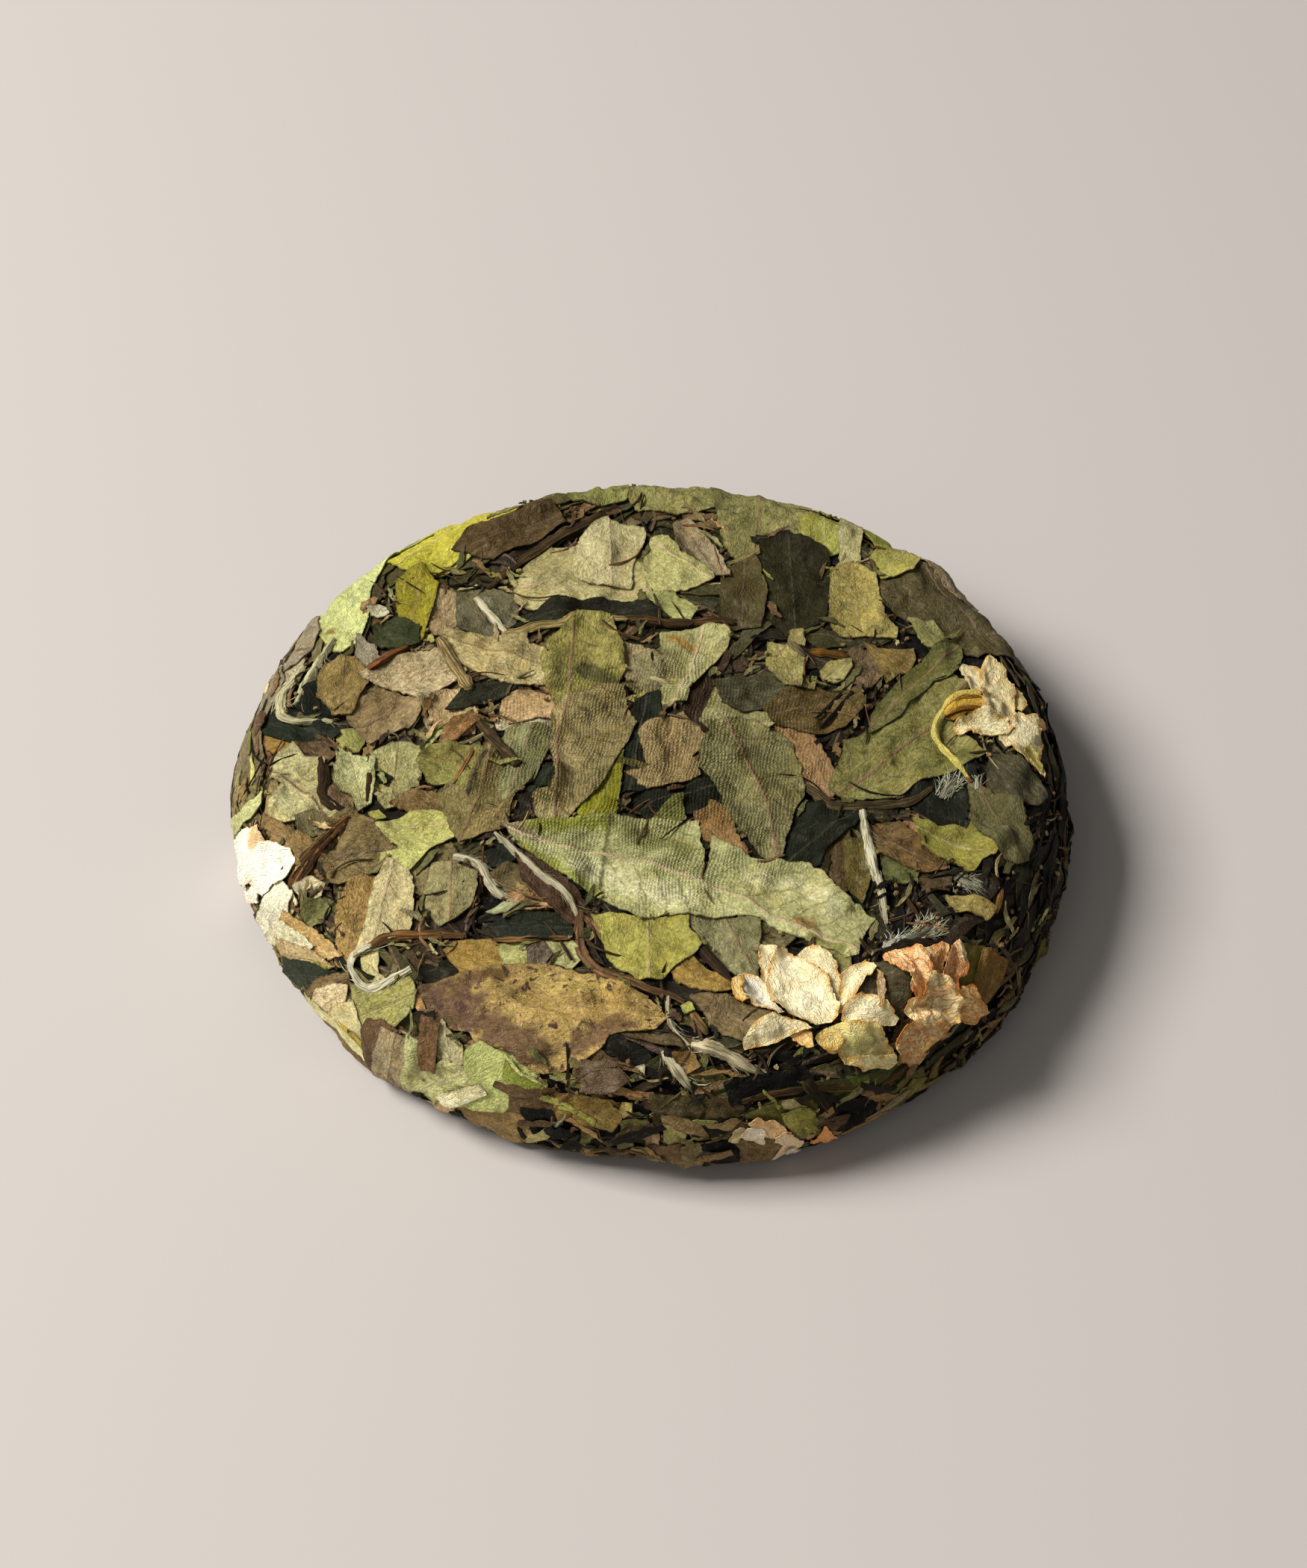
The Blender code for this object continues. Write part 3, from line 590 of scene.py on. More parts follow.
# %% Profile of the cake, in mm
CAKE_RADIUS = 54.0
CAKE_THICKNESS = 19.0
FLAT_RADIUS = 44.0
DOME = 0.5
WIDEST_HEIGHT = 6.8
SHOULDER_POWER = 2.3
FOOT_RADIUS = 49.0
COVER = 1.25                # depth of the laid leaves over the bare core
PRESS_FROM, PRESS_OVER = 49.0, 6.0      # a thick pile is pressed in from this arc on, over 6 mm
PRESS_DEPTH, PRESS_SHARE = 1.6, 0.6     # what lies above this depth, and how far it is pressed
RIM_BUMPS = (
    (139, 0.9, 12), (-150, -1.3, 11), (-134, -0.8, 9), (-107, -1.0, 12), (-70, 0.7, 10),
    (-38, 0.7, 16), (-18, -0.6, 8), (42, -0.6, 12), (90, 0.4, 14), (178, 0.3, 10),
)


def cake_profile():
    flat = np.linspace(0.0, FLAT_RADIUS, 60)
    turn = np.linspace(0.0, math.pi / 2, 90)[1:]
    power = 2.0 / SHOULDER_POWER
    shoulder = CAKE_THICKNESS - DOME - WIDEST_HEIGHT
    under = np.linspace(FOOT_RADIUS, 0.0, 50)[1:]
    radius = np.concatenate([
        flat, FLAT_RADIUS + (CAKE_RADIUS - FLAT_RADIUS) * np.sin(turn) ** power,
        FOOT_RADIUS + (CAKE_RADIUS - FOOT_RADIUS) * np.cos(turn), under])
    height = np.concatenate([
        CAKE_THICKNESS - DOME * (flat / FLAT_RADIUS) ** 2,
        WIDEST_HEIGHT + shoulder * np.maximum(np.cos(turn), 0.0) ** power,
        WIDEST_HEIGHT * (1.0 - np.sin(turn)), 0.0 * under])
    arc = np.concatenate([[0.0], np.cumsum(np.hypot(np.diff(radius), np.diff(height)))])
    return radius, height, arc


PROFILE_RADIUS, PROFILE_HEIGHT, PROFILE_ARC = cake_profile()
WIDEST_ROW = int(np.argmax(PROFILE_RADIUS))
WHOLE_ARC = float(PROFILE_ARC[-1])
FOOT_ARC = WHOLE_ARC - FOOT_RADIUS
print(f"from the middle of the top to the foot: {FOOT_ARC:.1f} mm along the surface")


# %% From map to cake
def rim_bump(azimuth):
    total = np.zeros_like(azimuth)
    for centre, height, spread in RIM_BUMPS:
        away = (np.degrees(azimuth) - centre + 180.0) % 360.0 - 180.0
        total += height * np.exp(-0.5 * (away / spread) ** 2)
    return total


def on_cake(side, u, v, lift):
    """World points in mm of map points u, v, each lifted over the bare core."""
    azimuth, reach = np.arctan2(v, u), np.hypot(u, v)
    arc = reach if side == "top" else WHOLE_ARC - reach
    pressed = PRESS_SHARE * np.clip((arc - PRESS_FROM) / PRESS_OVER, 0, 1)
    lift = lift - pressed * np.maximum(lift - PRESS_DEPTH, 0.0)
    radius = np.interp(arc, PROFILE_ARC, PROFILE_RADIUS)
    height = np.interp(arc, PROFILE_ARC, PROFILE_HEIGHT)
    run = np.interp(arc + 0.8, PROFILE_ARC, PROFILE_RADIUS)
    run -= np.interp(arc - 0.8, PROFILE_ARC, PROFILE_RADIUS)
    fall = np.interp(arc + 0.8, PROFILE_ARC, PROFILE_HEIGHT)
    fall -= np.interp(arc - 0.8, PROFILE_ARC, PROFILE_HEIGHT)
    length = np.maximum(np.hypot(run, fall), 1e-6)
    outward, upward = -fall / length, run / length
    share = np.minimum(radius / CAKE_RADIUS, 1.0) ** 8
    radius = radius + rim_bump(azimuth) * share + (lift - COVER) * outward
    x, y = radius * np.cos(azimuth), radius * np.sin(azimuth)
    press = 0.22 * np.sin(x / 8.0 + 0.7) * np.cos(y / 10.0 - 0.4)
    height = height + (lift - COVER) * upward + press * np.maximum(upward, 0.0) ** 4
    return np.stack([x, y, np.maximum(height, 0.03)], axis=1)


def seen_from_above(x, y):
    """Map place of a point that is named by its x and y as seen from above."""
    reach = np.minimum(np.hypot(x, y), CAKE_RADIUS - 0.05)
    rows = slice(0, WIDEST_ROW + 1)
    arc = np.interp(reach, PROFILE_RADIUS[rows], PROFILE_ARC[rows])
    azimuth = np.arctan2(y, x)
    return np.stack([arc * np.cos(azimuth), arc * np.sin(azimuth)], axis=-1)


print("middle of the top at", on_cake("top", np.zeros(1), np.zeros(1), np.full(1, COVER))[0])

# %% [markdown]
# ## The pile
# Each map carries a grid of heights: how thick the pile is at that place so far. A new leaf
# reads the grid under it, smooths it as far as a leaf is stiff, rests on it, and writes its
# own height back. So a stem under a leaf shows as a ridge, and a leaf's edge bridges the step
# beside it and throws a thin shadow, which is what makes a pressed heap look deep.

# %% Height grids
CELL = 0.3
FIRST_HEIGHT = 0.15
MAP_REACH = {"top": 76.0, "under": 64.0}
pile = {}
for map_side, map_reach in MAP_REACH.items():
    cells = int(2 * map_reach / CELL) + 1
    pile[map_side] = np.full((cells, cells), FIRST_HEIGHT)


clear = np.zeros_like(pile["top"], bool)      # where a large leaf lies open to view


def smoothed(grid, sigma):
    """Gaussian blur of a small grid; sigma is in cells."""
    reach = max(int(2.5 * sigma), 1)
    weights = np.exp(-0.5 * (np.arange(-reach, reach + 1) / sigma) ** 2)
    weights /= weights.sum()
    for axis in (0, 1):
        pad = [(reach, reach) if a == axis else (0, 0) for a in (0, 1)]
        wide = np.pad(grid, pad, mode="edge")
        size = grid.shape[axis]
        grid = sum(w * np.take(wide, range(k, k + size), axis=axis)
                   for k, w in enumerate(weights))
    return grid


def widened(grid):
    """Each cell raised to its highest neighbour."""
    wide = np.pad(grid, 1, mode="edge")
    rows, columns = grid.shape
    shifts = [(i, j) for i in range(3) for j in range(3)]
    return np.max([wide[i:i + rows, j:j + columns] for i, j in shifts], axis=0)


def sample(grid, low, points):
    """Bilinear reading of a grid whose first cell lies at `low`."""
    spot = np.clip((points - low) / CELL, 0, np.array(grid.shape) - 1.001)
    whole = spot.astype(int)
    part = spot - whole
    i, j = whole[:, 0], whole[:, 1]
    a = grid[i, j] * (1 - part[:, 0]) + grid[i + 1, j] * part[:, 0]
    b = grid[i, j + 1] * (1 - part[:, 0]) + grid[i + 1, j + 1] * part[:, 0]
    return a * (1 - part[:, 1]) + b * part[:, 1]


def pile_window(side, low, high, margin=3.0):
    """Index ranges of the part of a map round a box, and the place of its first cell."""
    reach, size = MAP_REACH[side], pile[side].shape[0]
    first = np.clip(((low - margin + reach) / CELL).astype(int), 0, size - 3)
    last = np.clip(((high + margin + reach) / CELL).astype(int) + 1, first + 2, size)
    rows = (slice(first[0], last[0]), slice(first[1], last[1]))
    return rows, first * CELL - reach


def window_cells(heights, first):
    """The place on the map of every cell of a window of the pile."""
    index = np.stack(np.meshgrid(*[np.arange(n) for n in heights.shape], indexing="ij"), -1)
    return index.reshape(-1, 2) * CELL + first


print("grid cells:", {name: grid.shape for name, grid in pile.items()})


# %% [markdown]
# ## One leaf
# A leaf starts as its outline. It is smoothed, roughened a little, filled with evenly spaced
# points and cut into triangles, once for its face and once for its back. Its relief is added
# in millimetres: the rib, the pillows between side veins, wrinkles, and an edge that curls.

# %% Outline helpers
def direction(angle):
    return np.array([math.cos(angle), math.sin(angle)])


def curve(points, slope, i, j, spacing):
    """Points about `spacing` mm apart on a smooth curve from point i to just before point j."""
    steps = max(int(math.dist(points[i], points[j]) / spacing), 1)
    t = (np.arange(steps) / steps)[:, None]
    return ((2 * t**3 - 3 * t**2 + 1) * points[i] + (t**3 - 2 * t**2 + t) * slope[i]
            + (3 * t**2 - 2 * t**3) * points[j] + (t**3 - t**2) * slope[j])


def smooth_outline(points, spacing, corner_cos):
    """A closed outline resampled every `spacing` mm, rounded where it isn't sharply bent."""
    points = np.array(points, float)
    count = len(points)
    before, after = np.roll(points, 1, axis=0), np.roll(points, -1, axis=0)
    a, b = points - before, after - points
    dots = (a * b).sum(axis=1) / np.maximum(np.hypot(*a.T) * np.hypot(*b.T), 1e-6)
    pull = np.where(dots > corner_cos, 0.42, 0.05)[:, None]
    slope = (after - before) * pull
    return np.concatenate([curve(points, slope, i, (i + 1) % count, spacing)
                           for i in range(count)])


def grown(outline, grow):
    """The outline run the left-turning way and moved outward by `grow` mm."""
    area = np.sum(outline[:, 0] * np.roll(outline[:, 1], -1)
                  - np.roll(outline[:, 0], -1) * outline[:, 1])
    if area < 0:
        outline = outline[::-1]
    run = np.roll(outline, -2, axis=0) - np.roll(outline, 2, axis=0)
    run /= np.maximum(np.hypot(*run.T), 1e-6)[:, None]
    return outline + grow * np.stack([run[:, 1], -run[:, 0]], axis=1)


def widened_outline(points, grow):
    """The corner points of an outline, moved so that each edge lies `grow` mm further out."""
    area = np.sum(points[:, 0] * np.roll(points[:, 1], -1) - np.roll(points[:, 0], -1) * points[:, 1])
    points = points if area > 0 else points[::-1]
    run = np.roll(points, -1, axis=0) - points
    run /= np.maximum(np.hypot(*run.T), 1e-6)[:, None]
    after = np.stack([run[:, 1], -run[:, 0]], axis=1)
    before = np.roll(after, 1, axis=0)
    mitre = (before + after) / np.maximum(1 + (before * after).sum(axis=1), 0.35)[:, None]
    return points + grow * mitre


def inside(outline, points):
    """Which of the points lie inside a closed outline."""
    x, y = points[:, 0, None], points[:, 1, None]
    ax, ay = outline[:, 0], outline[:, 1]
    bx, by = np.roll(ax, -1), np.roll(ay, -1)
    crosses = (ay > y) != (by > y)
    level = np.where(by == ay, 1e-9, by - ay)
    hit = crosses & (x < (bx - ax) * (y - ay) / level + ax)
    return hit.sum(axis=1) % 2 == 1


def edge_distance(outline, points):
    """Distance in mm from each point to the outline."""
    a, b = outline, np.roll(outline, -1, axis=0)
    run = b - a
    length = np.maximum((run**2).sum(axis=1), 1e-9)
    offset = points[:, None, :] - a[None]
    t = np.clip((offset * run[None]).sum(axis=2) / length, 0, 1)
    near = offset - t[..., None] * run[None]
    return np.sqrt((near**2).sum(axis=2)).min(axis=1)


def along_path(path, points):
    """Distance along a path of points, and signed distance to its left, of each point."""
    path = np.array(path, float)
    steps = np.hypot(*np.diff(path, axis=0).T)
    start = np.concatenate([[0.0], np.cumsum(steps)[:-1]])
    best = np.full(len(points), 1e9)
    along, across = np.zeros(len(points)), np.zeros(len(points))
    for i in range(len(path) - 1):
        run = (path[i + 1] - path[i]) / max(steps[i], 1e-6)
        offset = points - path[i]
        t = offset @ run
        low = -1e3 if i == 0 else 0.0
        high = 1e3 if i == len(path) - 2 else steps[i]
        kept = np.clip(t, low, high)
        off = np.hypot(*(offset - kept[:, None] * run).T)
        sign = np.sign(run[0] * offset[:, 1] - run[1] * offset[:, 0])
        closer = off < best
        best = np.where(closer, off, best)
        along = np.where(closer, start[i] + kept, along)
        across = np.where(closer, sign * off, across)
    return along, across


LATTICE = (97, 89)
lattice = np.random.default_rng(5).uniform(-1, 1, LATTICE)


def soft_noise(x, y):
    """Smooth noise from -1 to 1 that repeats only after about 90 units."""
    i, j = np.floor(x).astype(int), np.floor(y).astype(int)
    s, t = x - i, y - j
    s, t = s * s * (3 - 2 * s), t * t * (3 - 2 * t)
    i, after_i = i % LATTICE[0], (i + 1) % LATTICE[0]
    j, after_j = j % LATTICE[1], (j + 1) % LATTICE[1]
    low = lattice[i, j] * (1 - s) + lattice[after_i, j] * s
    high = lattice[i, after_j] * (1 - s) + lattice[after_i, after_j] * s
    return low * (1 - t) + high * t


print("noise lattice", lattice.shape)

# %% Relief and colour of one leaf
draw = random.Random(411)
kinds = {}
FAR_FROM_EDGE = 3.0         # edge distance in mm of what has no edge, such as a stalk
TRIANGLE_HEIGHT = 0.866     # of a triangle with sides of 1
TILT_FROM = 42.0            # from here outward, in mm, a tilted petal stands up from the cake


def linear(rgb):
    """Linear colour from a paint chip read in 0 to 255."""
    share = np.array(rgb, float) / 255.0
    return np.where(share < 0.04045, share / 12.92, ((share + 0.055) / 1.055) ** 2.4)


def leaf_relief(along, across, edge, ribbed, ripple, curl, seed, crumple=0.0):
    """Height in mm that a leaf adds to what it lies on."""
    off = np.abs(across)
    height = ribbed * 0.16 * np.exp(-((off / 0.5) ** 2))
    turn = (along - off**0.88 + 1.2 * soft_noise(along * 0.3 + seed, across * 0.3)) / 3.4
    pillow = np.abs(np.sin(np.pi * turn)) ** 0.6 - 0.6
    height += ribbed * 0.07 * pillow * np.clip(off / 1.5, 0, 1)
    height += ripple * 0.1 * soft_noise(along * 0.32 + seed, across * 0.5 - seed)
    height += ripple * 0.04 * soft_noise(along * 0.9 - seed, across * 1.3 + seed)
    fold = np.abs(soft_noise(along * 0.16 + seed * 2.0, across * 0.36 + seed))
    height += ripple * 0.14 * np.exp(-((fold / 0.08) ** 2))
    crease = np.abs(soft_noise(along * 0.3 - seed, across * 0.22 + seed * 3.0))
    height -= ripple * 0.13 * np.exp(-((crease / 0.07) ** 2))
    for size, pitch in ((0.34, 0.45), (0.27, 0.95)):
        ridge = np.abs(soft_noise(along * pitch + seed, across * pitch * 1.7 - seed))
        height += crumple * size * np.clip(1 - 5.0 * ridge, 0, 1)
    lift = np.exp(-((edge / 0.8) ** 2))
    height += curl * lift * (0.6 + 1.2 * soft_noise(along * 0.3 + seed, across * 0.25))
    return height


def add_to_kind(kind, verts, faces, tint, blade, edge, ribbed):
    group = kinds.setdefault(kind, {"verts": [], "faces": [], "tint": [], "blade": [],
                                    "edge": [], "ribbed": [], "count": 0})
    group["verts"].append(verts)
    group["faces"].append(faces + group["count"])
    group["tint"].append(np.broadcast_to(tint, (len(verts), 3)))
    group["blade"].append(blade)
    group["edge"].append(edge)
    group["ribbed"].append(np.full(len(verts), ribbed))
    group["count"] += len(verts)


def two_faced(points, triangles, lifts, thickness, side):
    """World points and faces of a thin body with the same triangles above and below."""
    top = on_cake(side, points[:, 0], points[:, 1], lifts)
    back = on_cake(side, points[:, 0], points[:, 1], lifts - thickness)
    size = len(points)
    if side == "under":
        triangles = triangles[:, ::-1]
    edges = np.concatenate([triangles[:, [0, 1]], triangles[:, [1, 2]], triangles[:, [2, 0]]])
    known = set(map(tuple, edges))
    border = np.array([(a, b) for a, b in known if (b, a) not in known])
    faces = [triangles, triangles[:, ::-1] + size]
    faces.append(np.stack([border[:, 1], border[:, 0], border[:, 0] + size], axis=1))
    faces.append(np.stack([border[:, 1], border[:, 0] + size, border[:, 1] + size], axis=1))
    return np.concatenate([top, back]), np.concatenate(faces)


def lay_leaf(kind, rgb, outline, rib=None, ribbed=0.0, spacing=0.5, side="top", ripple=1.0,
             curl=0.06, stiff=1.1, thickness=0.22, sink=0.2, mesh_kind=None, rough=0.22, grow=0.0,
             stains_and_highlights=(), crumple=0.0, corner=0.94, face=False, tilt=0.0):
    """Lays one leaf, given by its outline on a map, on the pile.

    Stains and painted highlights are (reach in mm, colour, path of the middle of the patch).
    """
    seed = draw.uniform(0, 60)
    outline = grown(smooth_outline(outline, spacing, corner), grow)
    turn = np.arange(len(outline)) * spacing
    outline = outline + rough * np.stack([soft_noise(turn * 0.8, turn * 0 + seed),
                                          soft_noise(turn * 0.8, turn * 0 - seed)], axis=1)
    outline = outline + 0.14 * soft_noise(turn * 2.9 + seed, turn * 0 + 7)[:, None]
    low, high = outline.min(axis=0), outline.max(axis=0)
    xs = np.arange(low[0], high[0], spacing)
    ys = np.arange(low[1], high[1], spacing * TRIANGLE_HEIGHT)
    grid = np.array([(x + (row % 2) * spacing / 2, y) for row, y in enumerate(ys) for x in xs])
    if len(grid):
        keep = inside(outline, grid)
        grid = grid[keep]
    if len(grid):
        grid = grid[edge_distance(outline, grid) > spacing * 0.45]
    cloud = np.concatenate([outline, grid]) if len(grid) else outline
    made = delaunay_2d_cdt([Vector(p) for p in cloud], [], [list(range(len(outline)))], 1,
                           1e-5)
    points = np.array([tuple(p) for p in made[0]])
    triangles = np.array([face for face in made[2] if len(face) == 3])
    if not len(triangles):
        return
    if rib is None:
        centre = points.mean(axis=0)
        axis = np.linalg.svd(points - centre, full_matrices=False)[2][0]
        spread = (points - centre) @ axis
        rib = (centre + axis * spread.min(), centre + axis * spread.max())
    rows, first = pile_window(side, low, high)
    heights = pile[side][rows]
    peaks = widened(heights)
    rest = smoothed(np.maximum(heights, smoothed(heights, stiff / CELL)), 0.55 * stiff / CELL)
    rest = smoothed(np.maximum(rest, peaks), 0.3 / CELL)
    rest = np.maximum(rest, peaks - 0.08) - thickness * sink
    cells = window_cells(heights, first)
    covered = inside(outline, cells)
    spots = cells[covered]
    if len(spots):
        along, across = along_path(rib, spots)
        depth = edge_distance(outline, spots)
        top = sample(rest, first, spots) + thickness
        top += leaf_relief(along, across, depth, ribbed, ripple, curl, seed, crumple)
        top += tilt * np.maximum(np.hypot(*spots.T) - TILT_FROM, 0)
        flat_index = np.flatnonzero(covered)
        window = heights.reshape(-1).copy()
        window[flat_index] = np.maximum(window[flat_index], top)
        pile[side][rows] = window.reshape(heights.shape)
        if face:
            whole = np.zeros(heights.size, bool)
            whole[flat_index[depth > 0.5]] = True
            clear[rows] |= whole.reshape(heights.shape)
    along, across = along_path(rib, points)
    edge = edge_distance(outline, points)
    lifts = sample(rest, first, points) + thickness
    lifts += leaf_relief(along, across, edge, ribbed, ripple, curl, seed, crumple)
    lifts += tilt * np.maximum(np.hypot(*points.T) - TILT_FROM, 0)
    verts, faces = two_faced(points, triangles, lifts, thickness * 0.9, side)
    blade = np.stack([along + seed * 3.0, across, np.full(len(along), seed)], axis=1)
    tint = np.tile(linear(rgb), (len(points), 1))
    for reach, stain, path in stains_and_highlights:
        path = pairs(path)
        away = edge_distance(np.concatenate([path, path[::-1]]), points) / reach
        away += 0.45 * soft_noise(points[:, 0] * 1.1 / reach**0.5 + seed, points[:, 1] * 1.1)
        away += 0.3 * soft_noise(points[:, 0] * 2.6 - seed, points[:, 1] * 2.6)
        share = np.clip((1.25 - away) / 0.75, 0, 0.9)[:, None]
        tint = tint * (1 - share) + linear(stain) * share
    add_to_kind(mesh_kind or kind, verts, faces, np.tile(tint, (2, 1)), np.tile(blade, (2, 1)),
                np.tile(edge, 2), ribbed)


print("ready to lay leaves")

# %% [markdown]
# Stalks, twigs and silver buds are tubes, pressed a little flat and half sunk in the pile.
# As they dried they shrank round their fibres, so their sides are ridged along their length.


# %% One stalk
def smooth_path(points, spacing):
    """An open path resampled about every `spacing` mm along a smooth curve."""
    points = np.array(points, float)
    slope = np.gradient(points, axis=0)
    path = [curve(points, slope, i, i + 1, spacing) for i in range(len(points) - 1)]
    return np.concatenate(path + [points[-1:]])


def tube_faces(rings, sides):
    """Triangles of a tube of rings of points, closed at its ends by one more point each."""
    ring = np.arange(sides)
    onward = (ring + 1) % sides
    faces = []
    for start in range(0, (rings - 1) * sides, sides):
        a, b = start + ring, start + onward
        faces += [np.stack([a, a + sides, b], 1), np.stack([b, a + sides, b + sides], 1)]
    base, last = rings * sides, (rings - 1) * sides
    faces.append(np.stack([np.full(sides, base), ring, onward], 1))
    faces.append(np.stack([np.full(sides, base + 1), last + onward, last + ring], 1))
    return np.concatenate(faces)


def lay_stem(kind, rgb, path, width, ends=(0.7, 0.5), flat=0.75, sink=0.35, side="top",
             sides=9, lumps=0.14, mesh_kind=None):
    """Lays a tube along a path on a map; ends are the shares of its width at both ends."""
    seed = draw.uniform(0, 60)
    path = smooth_path(path, 0.5)
    count = len(path)
    step = np.gradient(path, axis=0)
    step /= np.maximum(np.hypot(*step.T), 1e-6)[:, None]
    left = np.stack([-step[:, 1], step[:, 0]], axis=1)
    t = np.linspace(0, 1, count)
    taper = np.interp(t, [0, 0.18, 0.75, 1], [ends[0], 1.0, 0.92, ends[1]])
    along = np.concatenate([[0.0], np.cumsum(np.hypot(*np.diff(path, axis=0).T))])
    radius = width / 2 * taper * (1 + lumps * soft_noise(along * 0.7 + seed, along * 0)
                                  + lumps * soft_noise(along * 1.9 - seed, along * 0))
    low, high = path.min(axis=0), path.max(axis=0)
    rows, first = pile_window(side, low, high)
    heights = pile[side][rows]
    rest = smoothed(np.maximum(heights, smoothed(heights, 5.0)), 3.0)
    middle = sample(rest, first, path)
    middle = np.convolve(np.pad(middle, 4, mode="edge"), np.full(9, 1 / 9), "valid")
    middle = middle + radius * flat * (1 - 2 * sink)
    turn = np.arange(sides) / sides * 2 * math.pi
    twist = 0.5 * soft_noise(along * 0.4, along * 0)[:, None]
    ridges = 1 + 0.16 * np.cos(3 * turn[None] + seed + twist)
    ridges = ridges + 0.08 * soft_noise(along[:, None] * 1.6 + seed, turn[None] * 2.0)
    reach = radius[:, None] * ridges
    aside = reach * np.cos(turn)
    up = reach * np.sin(turn) * flat
    u = path[:, 0, None] + left[:, 0, None] * aside
    v = path[:, 1, None] + left[:, 1, None] * aside
    lifts = middle[:, None] + up
    points = np.concatenate([np.stack([u.ravel(), v.ravel()], 1),
                             path[:1] - step[:1] * radius[0] * 0.4,
                             path[-1:] + step[-1:] * radius[-1] * 0.6])
    heights_of = np.concatenate([lifts.ravel(), middle[:1], middle[-1:]])
    verts = on_cake(side, points[:, 0], points[:, 1], heights_of)
    blade = np.stack([np.repeat(along, sides), np.tile(turn, count) * width * 0.6,
                      np.full(count * sides, seed)], axis=1)
    blade[:, 0] += seed * 3.0
    blade = np.concatenate([blade, blade[:1], blade[-1:]])
    faces = tube_faces(count, sides)
    if side == "top":
        faces = faces[:, ::-1]
    add_to_kind(mesh_kind or kind, verts, faces, linear(rgb), blade,
                np.full(len(verts), FAR_FROM_EDGE), 0.0)
    cells = window_cells(heights, first)
    off = np.sqrt(((cells[:, None] - path[None, ::2]) ** 2).sum(axis=2))
    near = off.argmin(axis=1)
    off = off.min(axis=1)
    wide, high_at = radius[::2][near], middle[::2][near]
    hit = off < wide
    top = high_at + flat * np.sqrt(np.maximum(wide**2 - off**2, 0))
    window = heights.reshape(-1).copy()
    window[hit] = np.maximum(window[hit], top[hit])
    pile[side][rows] = window.reshape(heights.shape)


print("ready to lay stalks")

# %% [markdown]
# ## Under the leaves that show
# The pile starts with leaves that only peep through the gaps. A seeded rule lays them
# everywhere, darkened as painted shade: dark as the gaps they show through, and darker towards
# the right and the front, away from the light, where the photograph's cake is darkest.

# %% A leaf made by rule
TONES = {
    "pale": ((178, 175, 120), (190, 185, 125), (165, 165, 95), (150, 150, 70)),
    "olive": ((135, 130, 85), (120, 112, 62), (110, 105, 65), (140, 135, 70)),
    "tan": ((185, 160, 110), (175, 145, 95), (190, 175, 130), (160, 130, 85)),
    "brown": ((120, 95, 65), (110, 85, 60), (90, 70, 50), (130, 105, 70)),
    "dark": ((40, 36, 22), (30, 26, 17), (48, 40, 24), (38, 38, 28)),
}


def torn_leaf(length, width, torn):
    """Outline in mm of a leaf along +x round the origin; `torn` cuts its ends off."""
    cut_base, cut_tip = draw.uniform(0, torn), draw.uniform(0, torn)
    bow = draw.uniform(-0.12, 0.12) * length
    upper, lower = [], []
    for k in range(9):
        t = 0.02 + 0.96 * k / 8
        shape = math.sin(math.pi * t) ** 0.75
        shape = max(shape, cut_base if t < 0.5 else cut_tip) * width / 2
        middle = (t - 0.5) * length
        side = bow * math.sin(math.pi * t)
        ragged = 0.06 * length
        upper.append((middle + draw.uniform(-ragged, ragged) * 0.5,
                      shape * draw.uniform(0.6, 1.25) + side))
        lower.append((middle + draw.uniform(-ragged, ragged) * 0.5,
                      -shape * draw.uniform(0.6, 1.25) + side))
    return np.array(upper + lower[::-1])


def turned(shape, angle):
    c, s = math.cos(angle), math.sin(angle)
    return shape @ np.array([[c, s], [-s, c]])


def pick_kind(weights):
    return draw.choices(list(weights), list(weights.values()))[0]


def vary(rgb, spread=0.1):
    share = draw.uniform(1 - spread, 1 + spread)
    return tuple(min(c * share * draw.uniform(0.97, 1.03), 255) for c in rgb)


def shadiness(x, y):
    """From 0 at the back left, towards the light, to 1 at the front right."""
    return min(max((x - y) / 80.0 + 0.3, 0.0), 1.0)


def tone_weights(x, y):
    """How likely each kind of leaf is at a place of the cake: away from the light the dark kinds gain and
    the pale ones fade, as painted shade.
    """
    shade = shadiness(x, y)
    return {"pale": 0.7 * (1 - shade) ** 2 + 0.04, "olive": 1.0, "tan": 0.9 * (1 - shade),
            "brown": 0.6 + 0.8 * shade, "dark": 0.1 + 1.3 * shade ** 1.5}


def painted_shade_dimming(x, y):
    """How far the leaves below are darkened there by painted shade, more away from the light."""
    return 0.95 - 0.35 * shadiness(x, y)


